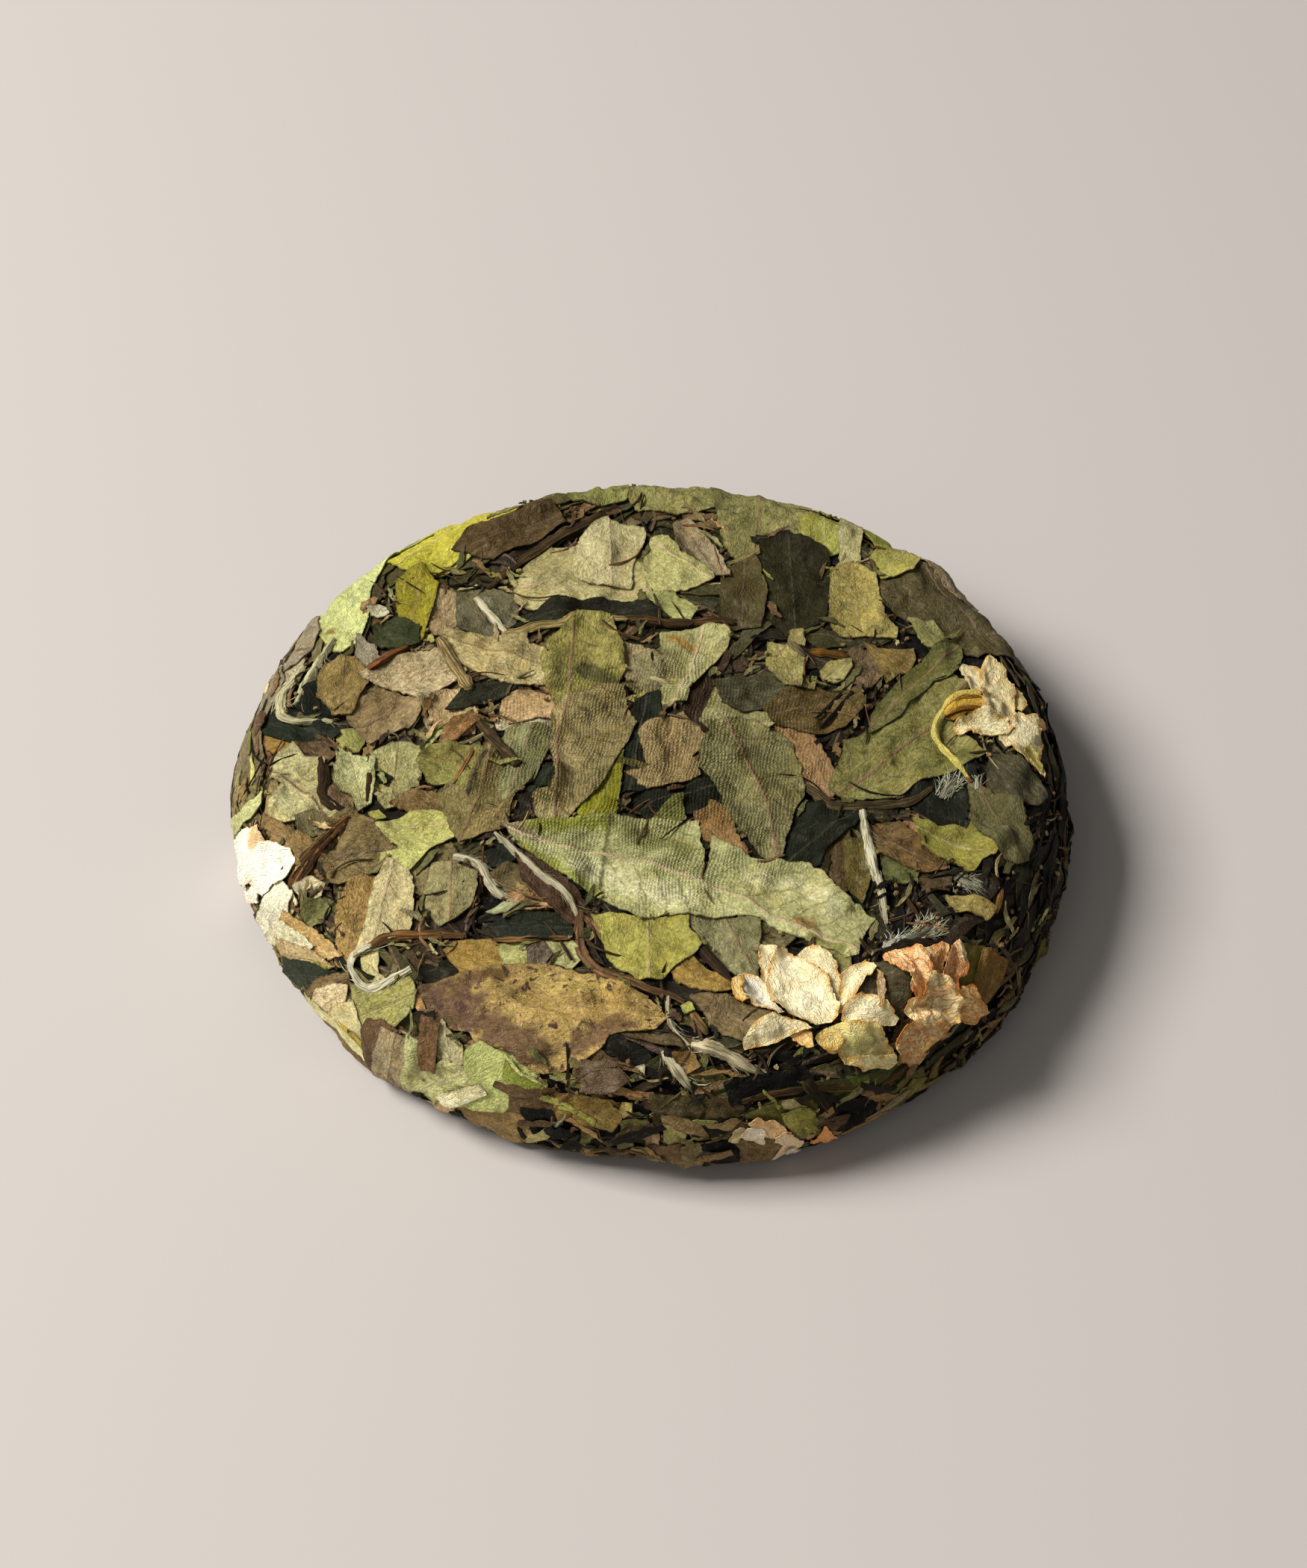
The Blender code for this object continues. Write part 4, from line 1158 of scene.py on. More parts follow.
def lay_by_rule(u, v, angle, length, width, side="top", torn=0.5, spacing=0.8, gap_shade_and_tone=1.0,
                weights=None):
    shape = turned(torn_leaf(length, width, torn), angle)
    reach = math.hypot(u, v)
    stretch = 1.0
    if side == "top" and reach > FLAT_RADIUS:
        stretch = reach / float(np.interp(reach, PROFILE_ARC, PROFILE_RADIUS))
    azimuth = math.atan2(v, u)
    out = direction(azimuth)
    around = np.array([-out[1], out[0]])
    radial, tangent = shape @ out, shape @ around
    outline = np.array([u, v]) + radial[:, None] * out + (tangent * stretch)[:, None] * around
    kind = pick_kind(weights or tone_weights(u, v))
    # Painted shade: a lower leaf's colour is scaled down for the gaps it shows through, by a scale that
    # also varies its tone where it is drawn at random, and dimmed further away from the light.
    tone = tuple(c * gap_shade_and_tone * painted_shade_dimming(u, v) for c in vary(draw.choice(TONES[kind])))
    along = direction(angle) * length / 2
    rib = (np.array([u, v]) - along, np.array([u, v]) + along)
    lay_leaf(kind, tone, outline, rib=rib, ribbed=draw.choice((0.0, 0.4, 0.8)),
             spacing=spacing, side=side, curl=draw.uniform(-0.05, 0.24),
             mesh_kind="lower_" + kind)


# %% The lowest layer of the top
def ring_places(rings, pitch, spread):
    """Places on a map in rings about `pitch` mm apart, each moved by chance."""
    for ring in range(rings):
        around_count = max(int(2 * math.pi * (ring + 0.4) * pitch / spread), 3)
        for k in range(around_count):
            reach = (ring + 0.4) * pitch + draw.uniform(-1.5, 1.5)
            angle = 2 * math.pi * (k + draw.uniform(-0.3, 0.3)) / around_count + ring
            yield reach * math.cos(angle), reach * math.sin(angle)


for u, v in ring_places(9, 5.2, 7.5):
    lay_by_rule(u, v, draw.uniform(0, math.tau), draw.uniform(11, 18), draw.uniform(4, 8),
                spacing=1.1, gap_shade_and_tone=0.4)
for u, v in ring_places(12, 4.2, 5.0):
    lay_by_rule(u, v, draw.uniform(0, math.tau), draw.uniform(8, 16), draw.uniform(1.4, 3.6),
                gap_shade_and_tone=draw.uniform(0.2, 0.7), torn=0.8)
print("lowest layer laid, deepest and highest:", pile["top"].min(), pile["top"].max())

# %% [markdown]
# The side wall is a stack of leaf edges and folded leaves, so its pieces lie along the rim,
# in rows from the shoulder to the foot, with narrow folded strips over the wider leaves.

# %% The side wall
for row, drop in enumerate((3.0, 8.0, 13.0, 18.0, 22.5, 26.0)):
    for k in range(26):
        azimuth = k * 360.0 / 26 + row * 6.1 + draw.uniform(-4, 4)
        level = FLAT_RADIUS + drop + draw.uniform(-1.6, 1.6)
        angle = math.radians(azimuth)
        u, v = level * math.cos(angle), level * math.sin(angle)
        slope = angle + math.pi / 2 + draw.gauss(0, 0.4)
        lay_by_rule(u, v, slope, draw.uniform(10, 18), draw.uniform(3.5, 6.5),
                    spacing=1.0, gap_shade_and_tone=0.6)
for row in range(8):
    for k in range(34):
        angle = (k + row * 0.4 + draw.uniform(-0.4, 0.4)) * math.tau / 34
        level = FLAT_RADIUS + 1.5 + row * 3.3 + draw.uniform(-1.2, 1.2)
        slope = angle + math.pi / 2 + draw.gauss(0, 0.3)
        lay_by_rule(level * math.cos(angle), level * math.sin(angle), slope,
                    draw.uniform(9, 22), draw.uniform(1.0, 3.0), torn=0.8,
                    gap_shade_and_tone=draw.uniform(0.4, 1.3))
print("side wall laid")

# %% The underside
for u, v in ring_places(10, 5.6, 8.5):
    lay_by_rule(u, v, draw.uniform(0, math.tau), draw.uniform(12, 24), draw.uniform(5, 10),
                side="under", spacing=1.0, torn=0.3)
for u, v in ring_places(10, 5.6, 12.0):
    lay_by_rule(u, v, draw.uniform(0, math.tau), draw.uniform(8, 18), draw.uniform(1.6, 4),
                side="under", spacing=0.8, torn=0.8)
print("underside laid")

# %% [markdown]
# ## The leaves that show
# From here on every leaf is one that can be seen in the photograph, placed in
# millimetres as seen from above. The tables hold one leaf in a row, with bars between the
# parts: its kind, its colour from 0 to 255 and how strongly its rib stands out; its outline;
# the line of its rib; and its stains, each with its reach in mm, its colour and the path of
# its middle. A stalk or bud has its width instead of the rib, and its path instead of the
# outline, then how far its ends narrow and how round it is. A line that starts with a space
# belongs to the row above. Rows lower in a table lie on top of the ones before them.
# Some of the pale stains are painted highlights, such as the two broad cream ones on the big pale leaf of
# the middle.


# %% Read a table
PAINTS = {"cream": (246, 238, 196), "warm_cream": (242, 222, 158), "white": (250, 249, 232),
          "peach": (255, 240, 190), "orange": (255, 216, 150)}


def numbers(text):
    return tuple(float(number) for number in text.replace(",", " ").split())


def paint(text):
    return PAINTS.get(text) or numbers(text)


def read_stain_and_highlight(part):
    reach, tone, path = part.split(" ", 2)
    return float(reach), paint(tone), numbers(path)


def read_table(text):
    return [row.split(" | ") for row in text.strip().replace("\n ", " ").split("\n")]


print("a row in parts:", read_table("olive 140,140,75 0.5 | 0,0 4,1 4,-1 | 0,0 4,0"))


# %% Lay a list of leaves
def pairs(flat):
    flat = np.array(flat, float).reshape(-1, 2)
    return seen_from_above(flat[:, 0], flat[:, 1])


def lay_hairs(path, width, rgb, count):
    """The hairs of a bud, each a thin rod that runs along the path a little askew."""
    path = smooth_path(path, 0.5)
    for _ in range(count):
        i = draw.randrange(len(path) - 1)
        run = path[i + 1] - path[i]
        run = run / max(math.hypot(*run), 1e-6)
        start = path[i] + np.array([-run[1], run[0]]) * draw.uniform(-0.6, 0.6) * width
        angle, bend = math.atan2(run[1], run[0]) + draw.gauss(0, 0.25), draw.gauss(0, 0.3)
        length = draw.uniform(1.0, 2.8)
        hair = [start + length * t * direction(angle + bend * t) for t in (0, 0.35, 0.7, 1.0)]
        lay_stem("silver", vary(rgb, 0.18), hair, draw.uniform(0.07, 0.12), ends=(0.8, 0.3),
                 flat=1.0, sink=0.1, sides=3, lumps=0.0)


def lay_sliver(spot, angle, length, width, spread=0.14, weights=None, curl=0.3):
    """A thin torn strip of a kind drawn from the given weights, else from those of its place, which favour
    dark kinds away from the light as painted shade.
    """
    kind = pick_kind(weights or tone_weights(*spot))
    outline = spot + turned(torn_leaf(length, width, 0.8), angle)
    lay_leaf(kind, vary(draw.choice(TONES[kind]), spread), outline, spacing=0.6, ripple=0.8,
             curl=draw.uniform(-0.1, curl), thickness=0.15, sink=0.5, rough=0.12)


CRUMPLE = {"tan": 0.5, "brown": 0.55, "dark": 0.35, "olive": 0.22}
WARMTH = {"dark": (0.68, 0.7, 0.52), "tan": (0.97, 1.0, 1.04), "brown": (0.98, 0.99, 0.88),
          "stem": (1.04, 0.96, 0.78)}
SILVER_SHADE, SILVER_WIDTH = (0.9, 0.88, 0.8), 0.82
GREYED = (1.12, 1.05, 0.78)


def lay_rows(title, table, place=pairs, light=1.0, slivers=1.2):
    """Lays the leaves of a table in turn, with torn strips tucked under some of them."""
    rows = read_table(table)
    for head, outline, *more in rows:
        kind, rgb, size = head.split()
        rgb, size, outline = paint(rgb), float(size), numbers(outline)
        warm = WARMTH.get(kind, (0.99, 0.99, 1.0))
        grey = sum(rgb) / 3.0
        # The light of a table scales all its colours by how lit that part of the cake looks: painted light,
        # darker on the shaded right and brighter on the front and the side wall.
        rgb = tuple(min(light * (0.88 * c * w + 0.1 * grey * k), 255)
                    for c, w, k in zip(rgb, warm, GREYED))
        if kind in ("stem", "silver"):
            if kind == "silver":
                size, rgb = size * SILVER_WIDTH, tuple(c * k for c, k in zip(rgb, SILVER_SHADE))
            ends = numbers(more[0]) if more else (0.7, 0.5)
            flat = float(more[1]) if len(more) > 1 else 0.75
            lay_stem(kind, rgb, place(outline), size, ends, flat)
            if kind == "silver":
                lay_hairs(place(outline), size, rgb, int(10 * size * len(outline) ** 0.5))
            continue
        rib = place(numbers(more[0])) if more and more[0] != "-" else None
        stains_and_highlights = [read_stain_and_highlight(part) for part in more[1:]]
        outline = place(outline)
        reach = np.ptp(outline, axis=0).max()
        outline = widened_outline(outline, min(0.6, 0.09 * reach) if reach < 24 else 0.1)
        while draw.random() < slivers / (1 + slivers):
            k = draw.randrange(len(outline))
            run = outline[k] - outline[k - 1]
            out = np.array([run[1], -run[0]]) / max(math.hypot(*run), 1e-6)
            spot = outline[k] - run * draw.random() + out * draw.uniform(0.3, 1.0)
            lay_sliver(spot, math.atan2(run[1], run[0]) + draw.gauss(0, 0.3),
                       draw.uniform(1.8, 5.5), draw.uniform(0.5, 1.3))
        lay_leaf(kind, rgb, outline, rib=rib, ribbed=size, rough=0.12 if reach < 5.5 else 0.07,
                 curl=draw.uniform(0.0, 0.22), spacing=0.4, stains_and_highlights=stains_and_highlights,
                 stiff=1.1 if reach < 5.5 else 1.7, face=reach > 7,
                 crumple=CRUMPLE.get(kind, 0.12) * min(1.0, 9.0 / reach))
    print(f"{title}: {len(rows)} pieces")


# %% The far rim
lay_rows("far rim", """
olive 140,140,75 0.5 | -11,46 -10.5,50 -8,53 -5,53.2 -3.6,49 -4.2,46.4 -7.5,45.4
olive 150,145,85 0.5 | -3,46 -1,52.5 5,53 8.5,50 7.5,44.5 3,43 -1.5,43.5
olive 140,135,80 0.7 | 8,52 14,52 20,49.5 20.5,42 19.5,35 14,33 10.5,36 9,42 | 13,33 14,52
pale 165,165,75 0.5 | 20,41.5 22.5,43.2 25.6,41.5 25.4,37 22.5,35.6 20.2,37.5
pale 160,162,60 0.4 | 21.5,48.6 27.3,46.6 31.4,44 36,40 34.4,36.6 30.2,37.6 27.3,41.5 23.5,44.5
brown 95,85,60 0.7 | 29.7,28 29.4,26.3 31.4,24.6 33.1,22.9 35.7,21.5 38.9,20 39.9,17.8 42.1,16.1 46,17
 50.6,16.5 50.5,24 47,31 42,38 37,39.5 32.5,36 30.2,32 | 45,17 33,38
tan 165,140,110 0.3 | 34,38.5 36.5,39.5 40,33.5 42.2,28.2 40.6,28.6 37,33
pale 185,180,130 0.2 | 25.4,33 27,33.5 27.2,40 26.9,46 25.6,46 25.2,40
pale 170,165,80 0.5 | 28.8,33.5 30,36 33,36.6 34.6,34.4 33.8,31.8 30.6,30.8
dark 65,58,28 0.6 | 14.5,36.5 18,38.5 22.5,36 23,29 21.5,22.5 17.5,20.5 15,24 13.6,31 | 18,38 18.5,21
brown 85,75,45 0.5 | 9.6,32 13,34 14.4,28 13.4,21.8 10,21.5 9.2,26.5
pale 205,198,62 0.5 | -18,49.5 -18.3,44 -20.5,41 -25,36 -30.5,31.2 -34,33.5 -37.2,35 -38,36.8 -36.4,39.2
 -33.4,42.2 -30.4,44.4 -27.6,45.9 -24.6,47.2 -22,48 -19.6,49 | -20,48 -33,34
brown 95,75,50 0.4 | -26,36 -24,39.5 -19,41.5 -14,44 -12.5,41.5 -16,38.5 -21.5,34.5
tan 175,150,120 0.3 | -17.8,29.6 -16.1,33 -13.5,35.9 -11,35.6 -11.5,31.5 -14.5,29
tan 165,140,100 0.4 | -28.6,27.6 -26.3,27 -25.4,22.4 -25.8,20.3 -28.4,20 -29.4,24
olive 110,105,80 0.5 | -25.5,27.6 -21.5,28.6 -18.4,26.4 -18.6,21.6 -22,20.4 -25.2,21.5
stem 72,58,42 1.5 | -5,44.5 -10,40 -14,37 -22,29
tan 160,140,105 0.5 | 3.2,40.7 4.6,41.4 6.8,38.1 8.8,33.9 9.4,31.7 7.4,31.9 5.1,34.1 3.4,37.6
pale 190,180,125 0.8 | -18,28 -17.8,26.3 -15.8,25.4 -12.7,25.1 -5.4,25.4 -2.5,26.5 -0.1,27.3 -0.6,31
 -3.2,34.5 -8.2,36 -13.5,35.2 -16.6,32 | -17.5,28.5 -1,28.5
pale 200,190,140 0.7 | -10,34.7 -9.3,37.6 -7.1,40.7 -6.1,41.4 -3.7,40 -1.8,39.7 -2.1,37.3 -3.2,33.9
 -3.6,29.5 -8,29.8 -10.4,31.5 | -6,41 -5.6,29.5
pale 185,180,115 0.9 | 0,37.6 1,37.8 3.4,35.1 7.1,31.9 7.3,30.8 4.1,28.4 0,28 -1.2,32 | 0.2,37 6.9,31.2
pale 170,175,110 0.3 | -0.2,27 2.4,26.9 5.2,25 4.4,23.2 1.2,23.3 -0.4,24.6
olive 170,155,85 0.5 | 23.6,27.7 23.5,22.9 23.8,21.2 24.7,20.3 31.1,20.3 31.2,21.5 30,23.2 29.5,24.9 29.2,27
 28.8,31 26.4,33.4 24,32 | 27,20.5 26.4,33
pale 150,150,90 0.3 | 34.2,21.6 36.4,22.2 38.4,19.6 37.4,17.2 35.2,18.6
""")

# %% The upper left
lay_rows("upper left", """
tan 190,175,140 0.3 | -47.5,25 -50,20 -53,12 -53.5,7.5 -50,7 -47.5,10 -46,17 -45.6,23
pale 196,204,132 0.4 | -40.7,17.1 -39,18.8 -38,20.9 -37.5,22.9 -37.4,28 -35.5,33 -32,37.5 -29.5,41 -31,43
 -33.4,42 -36.4,39.5 -39.4,36.8 -41.8,34 -43.6,31.4 -45,28.4 -45.4,25.6 -45,23.6 -43.4,20.9 -42.1,17.8 |
 -40.6,18 -40,28 -32,43 | 0.8 120,88,50 -42.5,22 | 1.6 95,112,60 -35,37.5 -32.8,40
olive 150,140,30 0.4 | -33.2,25.4 -33.4,30 -30.8,32.5 -29,29 -29.8,24.6 -30.5,20 -31.8,18.1
dark 80,86,62 0.3 | -36.2,21.6 -33.6,23 -31.2,21.4 -31,18.4 -33.5,17.4 -36,18.6
tan 225,215,180 0 | -37.3,25 -36,26 -34.8,25.2 -35.4,23.8 -36.8,23.9
tan 150,140,115 0.3 | -38.3,19.2 -36.6,17.6 -35.9,14.7 -37.1,13.2 -38.4,15.2
dark 30,32,28 0.2 | -45,10 -43,10.5 -41.4,8 -41,5.6 -43.5,5.2 -45.2,7
tan 160,120,50 0.2 | -48.8,2.6 -46.4,2.8 -45.4,1 -46.8,-0.2 -48.6,0.6
pale 150,150,80 0.2 | -40.2,2.4 -38.4,3 -37,1.6 -37.6,-0.2 -39.6,0.1
dark 44,52,42 0.3 | -50.9,6.1 -48.9,7.3 -45.8,4.6 -41.5,3.9 -40.7,2.2 -42.1,1.5 -45.1,1 -48.3,3.2 | -50,6
 -41,2
tan 150,125,85 0.6 | -39,9.3 -36,10.1 -30.5,8.1 -30.5,5.9 -31.7,3.9 -33.9,3.2 -36.1,1.5 -37.1,2.5 -38.3,4.2
 -39,6.1 | -38,3 -31,8
brown 150,125,80 0.5 | -40.2,15.1 -39,15.1 -37.3,12.2 -38,9.3 -39,6.1 -40.7,5.9 -41.4,7.1 -42.7,8.4 -42.7,11
 -42.1,13.5 | -40,15 -40.2,6
tan 196,172,128 0.4 | -37,12.2 -33.9,14.6 -30.7,16.3 -28,16.4 -25,13.5 -28.8,9.6 -30,8.1 -31.9,9.6
 -33.9,10.8 | -36.5,12.3 -26,14
stem 120,78,52 1.4 | -37,12.8 -34.6,15.2 -32,17.3
""", light=1.04)

# %% The left
lay_rows("left", """
dark 45,40,30 0.3 | -39.5,-10 -34,-9.4 -30,-9.9 -29.6,-12.6 -33.4,-13.8 -38,-13
brown 110,85,65 0.3 | -45.4,0.4 -42.4,0.6 -40.6,-1.2 -41.6,-2.9 -44.6,-2.6
olive 170,165,110 0.5 | -35.4,-1 -33,0.6 -30.4,0 -30,-4.5 -30.6,-8.6 -33.4,-9.7 -35.3,-6.5 | -32.6,0 -33,-9
dark 40,42,40 0 | -34.9,-4.6 -34.2,-4.3 -33.2,-5.1 -33.6,-6.1 -34.6,-5.9
brown 120,95,75 0.3 | -40.2,-5.6 -39,-7.3 -37.4,-8.6 -37,-10.4 -39.2,-10.8 -40.6,-8.6
olive 185,185,130 0.4 | -39.7,-1 -38,-2 -35.9,-2.4 -35.8,-5.1 -35.9,-9.2 -36.8,-10 -37.3,-8.5 -39,-7.3
 -39.8,-5.6
stem 100,75,50 0.7 | -36.1,-1.4 -35.9,-5 -36,-9.4
pale 170,170,80 0 | -35.6,-11.2 -34.4,-10.8 -33.7,-11.8 -34.8,-12.5
brown 134,106,72 0.3 | -32.2,-9.5 -30.5,-7.7 -28,-7.8 -26.3,-9.5 -25.3,-11.9 -28,-11.2
tan 190,180,125 1 | -47.8,-1.4 -45.8,-0.3 -44.1,-2.4 -42.1,-2.9 -41.9,-6.8 -41.9,-9.2 -40.7,-10.5
 -39.7,-11.6 -40.7,-12.6 -42.1,-11.7 -44.1,-11.7 -45.8,-12.2 -47,-11.1 -47.2,-8.8 -46,-6 -47.8,-4.3 |
 -45.8,-5.8 -44.1,-7.7 -42.7,-9.5 -40.7,-12.1
stem 62,48,36 1.5 | -42.1,-2.4 -41.5,-6 -41.7,-8.5 -40.7,-10 -39,-11.1 -37.5,-11.1
olive 120,110,75 0.2 | -44.2,-12.2 -42.4,-11.6 -40.8,-13 -40.9,-15.6 -42.4,-16.4 -44,-15
brown 150,120,80 0.4 | -48.5,-10.9 -46.5,-13.3 -44.3,-14.8 -42.4,-16.7 -43.8,-18.9 -45.5,-16.7 -47.2,-15.3
 -48.5,-14.5
brown 130,115,85 0.6 | -28.4,-16.8 -25.5,-16.3 -24.6,-18.5 -26,-22 -28,-24.4 -30,-23 -30.2,-19.6 | -28,-17
 -28,-24
olive 150,140,95 0.7 | -27,-20 -24.4,-20 -22.3,-21.5 -22.4,-24 -23,-26 -26,-28.4 -28,-25.5 | -25,-20 -25,-28
brown 140,118,85 1 | -40,-12.6 -38.1,-11.7 -35.9,-12.8 -34.2,-14.1 -32.2,-16 -31.2,-16.5 -31.5,-17.7
 -33.4,-18.4 -34.7,-19.6 -36.4,-21.3 -38.1,-21.9 -39.7,-21.9 -40.2,-20.9 -40.9,-19.2 -40.7,-17.9 -39.7,-16.5
 -38,-14.1 | -40.3,-18.6 -31.3,-17
pale 190,190,110 0.6 | -33.9,-13.8 -32.2,-12.9 -30.2,-11.7 -28,-11.4 -26.5,-11.7 -25.3,-12.2 -24.8,-14.1
 -26.5,-15.1 -28,-16.7 -28.8,-18 -29.8,-18.9 -30.8,-20.1 -31.9,-19.4 -33.4,-19.5 -33.4,-18.5 -31.3,-17.7
 -31,-16.5 -32.2,-16 | -33,-14 -26,-12.8
stem 88,64,42 2.5 | -38.4,-12.8 -41,-16.2 -43,-18.8 -45.3,-21.9 | 0.5,1 | 0.4
stem 150,112,74 0.5 | -38.6,-13.6 -41.4,-17.4 -44.6,-21.6 | 0.8,0.8
stem 60,42,28 0.45 | -38.8,-12.8 -41.2,-16 -44.8,-20.8 | 0.8,0.8
stem 140,106,72 0.45 | -38.2,-12.2 -40.6,-15 -44,-19.2 | 0.8,0.8
stem 70,50,32 0.5 | -39.4,-14.6 -42.4,-18.8 -45.6,-22.8 | 0.8,0.6
stem 128,96,64 0.4 | -40,-14.6 -42.2,-17.2 -45.4,-21 | 0.8,0.6
tan 215,200,160 0.1 | -44.2,-22.2 -42.4,-21.6 -41,-22.8 -41.2,-24.2 -43.4,-24.2
olive 170,160,105 0.1 | -45.5,-24.5 -43.4,-25.2 -43.1,-27.2 -44.8,-27
olive 112,112,62 0 | -43.1,-26.3 -42.4,-25 -41,-24.9 -40.2,-26.2 -41,-27.6 -42.5,-27.6
tan 215,205,170 0.2 | -49.9,-20.2 -48.3,-20.2 -46,-21.6 -45.1,-23 -44.3,-24.3 -47.8,-24.1 -48.7,-23
tan 160,115,70 0.3 | -47.2,-24.6 -45.4,-25.2 -43.4,-28 -39.4,-31.6 -40.4,-33 -44.6,-29.6 -47.6,-26.6
dark 74,84,74 0.4 | -45.8,-28 -44.4,-27.8 -42.6,-29.4 -39.6,-31.8 -37.5,-33.6 -38.2,-35 -40.9,-34.2
 -44,-31.4
tan 210,200,160 0.3 | -42.4,-33.4 -40.6,-33.4 -38.6,-35 -36.8,-36.9 -37.6,-38.4 -40,-37.4 -42.2,-35.2
brown 170,135,85 0.4 | -37.3,-22.4 -35.6,-21.9 -34.2,-22.1 -34.6,-23.8 -35.1,-28 -35.8,-30.2 -36.3,-31.9
 -37.3,-33.8 -38.7,-33.3 -38.7,-30.6 -38.5,-25.5 -38,-23.8
pale 205,190,140 0.8 | -32.7,-19.7 -31.9,-19.9 -30.5,-21.3 -30.1,-23.8 -30.2,-28 -30.8,-30.2 -31.9,-31.1
 -34.7,-32.1 -35.8,-32.6 -35.1,-29 -34.2,-23.8 -33.9,-22.1 | -32.4,-20 -34.6,-32
""", light=1.04)

# %% The right
lay_rows("right", """
dark 40,44,36 0.2 | 33,-3 36,-2.4 40,-4 41,-9 39,-13.6 35,-14 32.6,-9
dark 38,36,30 0.3 | 20,-13 26,-13 27,-20 25.5,-26 21,-26 19.5,-19
brown 95,75,45 0.3 | 21.5,-14 23.6,-14.4 24,-19 23.4,-24 21.6,-25 21,-19
olive 120,105,45 0.2 | 24,-17 25.8,-16.6 26.2,-21 25.2,-25 24,-24
brown 90,70,45 0.3 | 32.6,-20.8 36.5,-20.6 36,-23.3 33,-23.2
olive 100,105,55 0.2 | 28.3,-18.5 32.5,-18.8 32,-22 28.6,-21.8
tan 190,165,90 0 | 36,-24.9 39,-24.6 41,-25.6 40.2,-26.9 37,-26.6
stem 165,125,60 0.9 | 42.4,-22.6 42,-24.4 41.6,-26
stem 70,52,36 0.8 | 30.4,-23.8 31.4,-25.4 32.4,-27.5
stem 52,44,34 1.8 | 27.6,-33.6 31,-32.4 34.5,-31.5
silver 150,150,140 1 | 36.6,-21.2 37.8,-22.2 39.3,-22.8
silver 130,130,120 1.3 | 30.4,-31.6 32.4,-30.4 34.2,-28.6
silver 200,198,185 1.2 | 28,-33 28.6,-32.2 29.2,-31.4
tan 185,140,90 0.5 | 16,2.8 18,2.3 19.6,1.6 20.7,-0.7 21.8,-2.9 22.8,-4.9 22.4,-6.8 21.9,-7.7 20.2,-7
 18.4,-6 18,-3.4 19,-1.7 17.7,0 | 16.5,2.5 20,-1 21.8,-7
dark 45,50,35 0.5 | 19.8,-10 25.5,-11 24.5,-12.9 22.6,-15.3 20.9,-17.2 19.9,-19.6 17,-19.6 15.6,-19
 16.3,-15.3 17,-11.9 17.9,-9.9 | 25,-11 17,-19
tan 165,120,75 0.3 | 31.1,-13.1 32.6,-12.1 32.8,-14.5 32.1,-15.3
brown 130,100,65 0.9 | 26.6,-13.5 30.2,-13.3 31.4,-14.8 33.6,-16.7 35.7,-18.7 35.8,-20.2 34.5,-20.4
 32.4,-20.4 30.2,-19.2 27.5,-17.4 | 27,-15 35.5,-19.8
pale 165,160,70 0.6 | 32.9,-13.3 34.1,-13.6 35.1,-14.4 36.5,-13.9 37.9,-13.8 39.1,-14.5 39.9,-12.9
 40.9,-14.1 42.1,-16.3 41.9,-17 40.8,-17.7 39.9,-18.4 38.9,-20.2 38.2,-19.9 36.8,-18.5 35.1,-17.3 33.6,-16.2
 | 33.4,-14.6 41,-17.2
brown 84,80,62 0.4 | 43.5,-0.3 45.9,-2.2 48.1,-4.1 48.7,-6.8 47.6,-8.5 45.3,-8.3 42.5,-6.8 42.6,-3.4
olive 110,105,65 0.6 | 40.2,-6.5 42.6,-8.5 44.2,-8.8 45.5,-9.4 45.9,-11.2 46.2,-13.6 46.4,-15.3 46,-17
 44.8,-17.9 43.8,-17.5 42.5,-16 40.9,-13.6 39.9,-11.6 40.2,-10.5 | 41,-7 45.4,-17.6
silver 165,165,155 1 | 36,-8 36.9,-6.4 37.9,-4.9
silver 225,225,215 0.7 | 40.6,-6.8 40.7,-5.9 40.6,-5
stem 92,82,66 1.5 | 16.8,-5.4 18.7,-6.5 20,-7.5 21.6,-9.5 23,-10.2 28.4,-9.8 32.2,-8.9 35,-6.5 | 0.4,0.4
silver 232,228,210 1.5 | 26,-11 26.4,-15.3 26.8,-18.7 27.3,-21.5 27.9,-24 28.3,-28.5 | 0.7,0.3
olive 150,145,80 1 | 24.3,-1.7 23.3,-4.1 22.4,-6.8 23.8,-8.3 25,-8.9 26.5,-8.8 28,-8.5 29.7,-8.2 31.1,-7.1
 32.9,-5.3 34.5,-4.3 36.2,-3.7 38,-3.1 39.6,-1.9 41.6,0 38.5,3 37,6 39.9,11.3 38,13.2 37.5,12.7 35.7,11.8
 34.8,11 31.1,6.1 28,3.6 26.2,1.5 24.5,0.6 | 23,-8 25.5,-5.8 28,-3.7 31.5,0.3 34.8,3.7 36.2,5 40,11 | 0.4
 52,46,24 26.7,-1 | 0.35 52,46,24 30.1,-2.9 | 0.3 52,46,24 28.6,-5.4 | 0.3 52,46,24 33.4,0.2 | 1.2
 108,108,52 34.5,-2.6 39,-1
brown 130,105,85 0.3 | 24.6,12 27.6,11 29.6,13.5 29,16.6 26.4,17.4 24.6,15.4
olive 150,125,65 0.4 | 28,17.8 30,17.1 33.3,17.1 33.4,15.8 32.8,14 31.4,13.5 30.2,12.2 29.5,13.5 28.9,15.4
olive 110,110,55 0.8 | 28,5 29,7.3 30.7,9.5 32.1,11.7 34,13.9 35.7,15.8 37,17.5 38.2,18.8 39.4,18.1
 39.4,16.4 38.9,14.6 38,13.2 35.7,12.2 34.5,10.3 32.1,8.1 31.1,6.1 28,3.7 | 28,4.2 32.6,10 38.8,17.4
""", light=0.93)

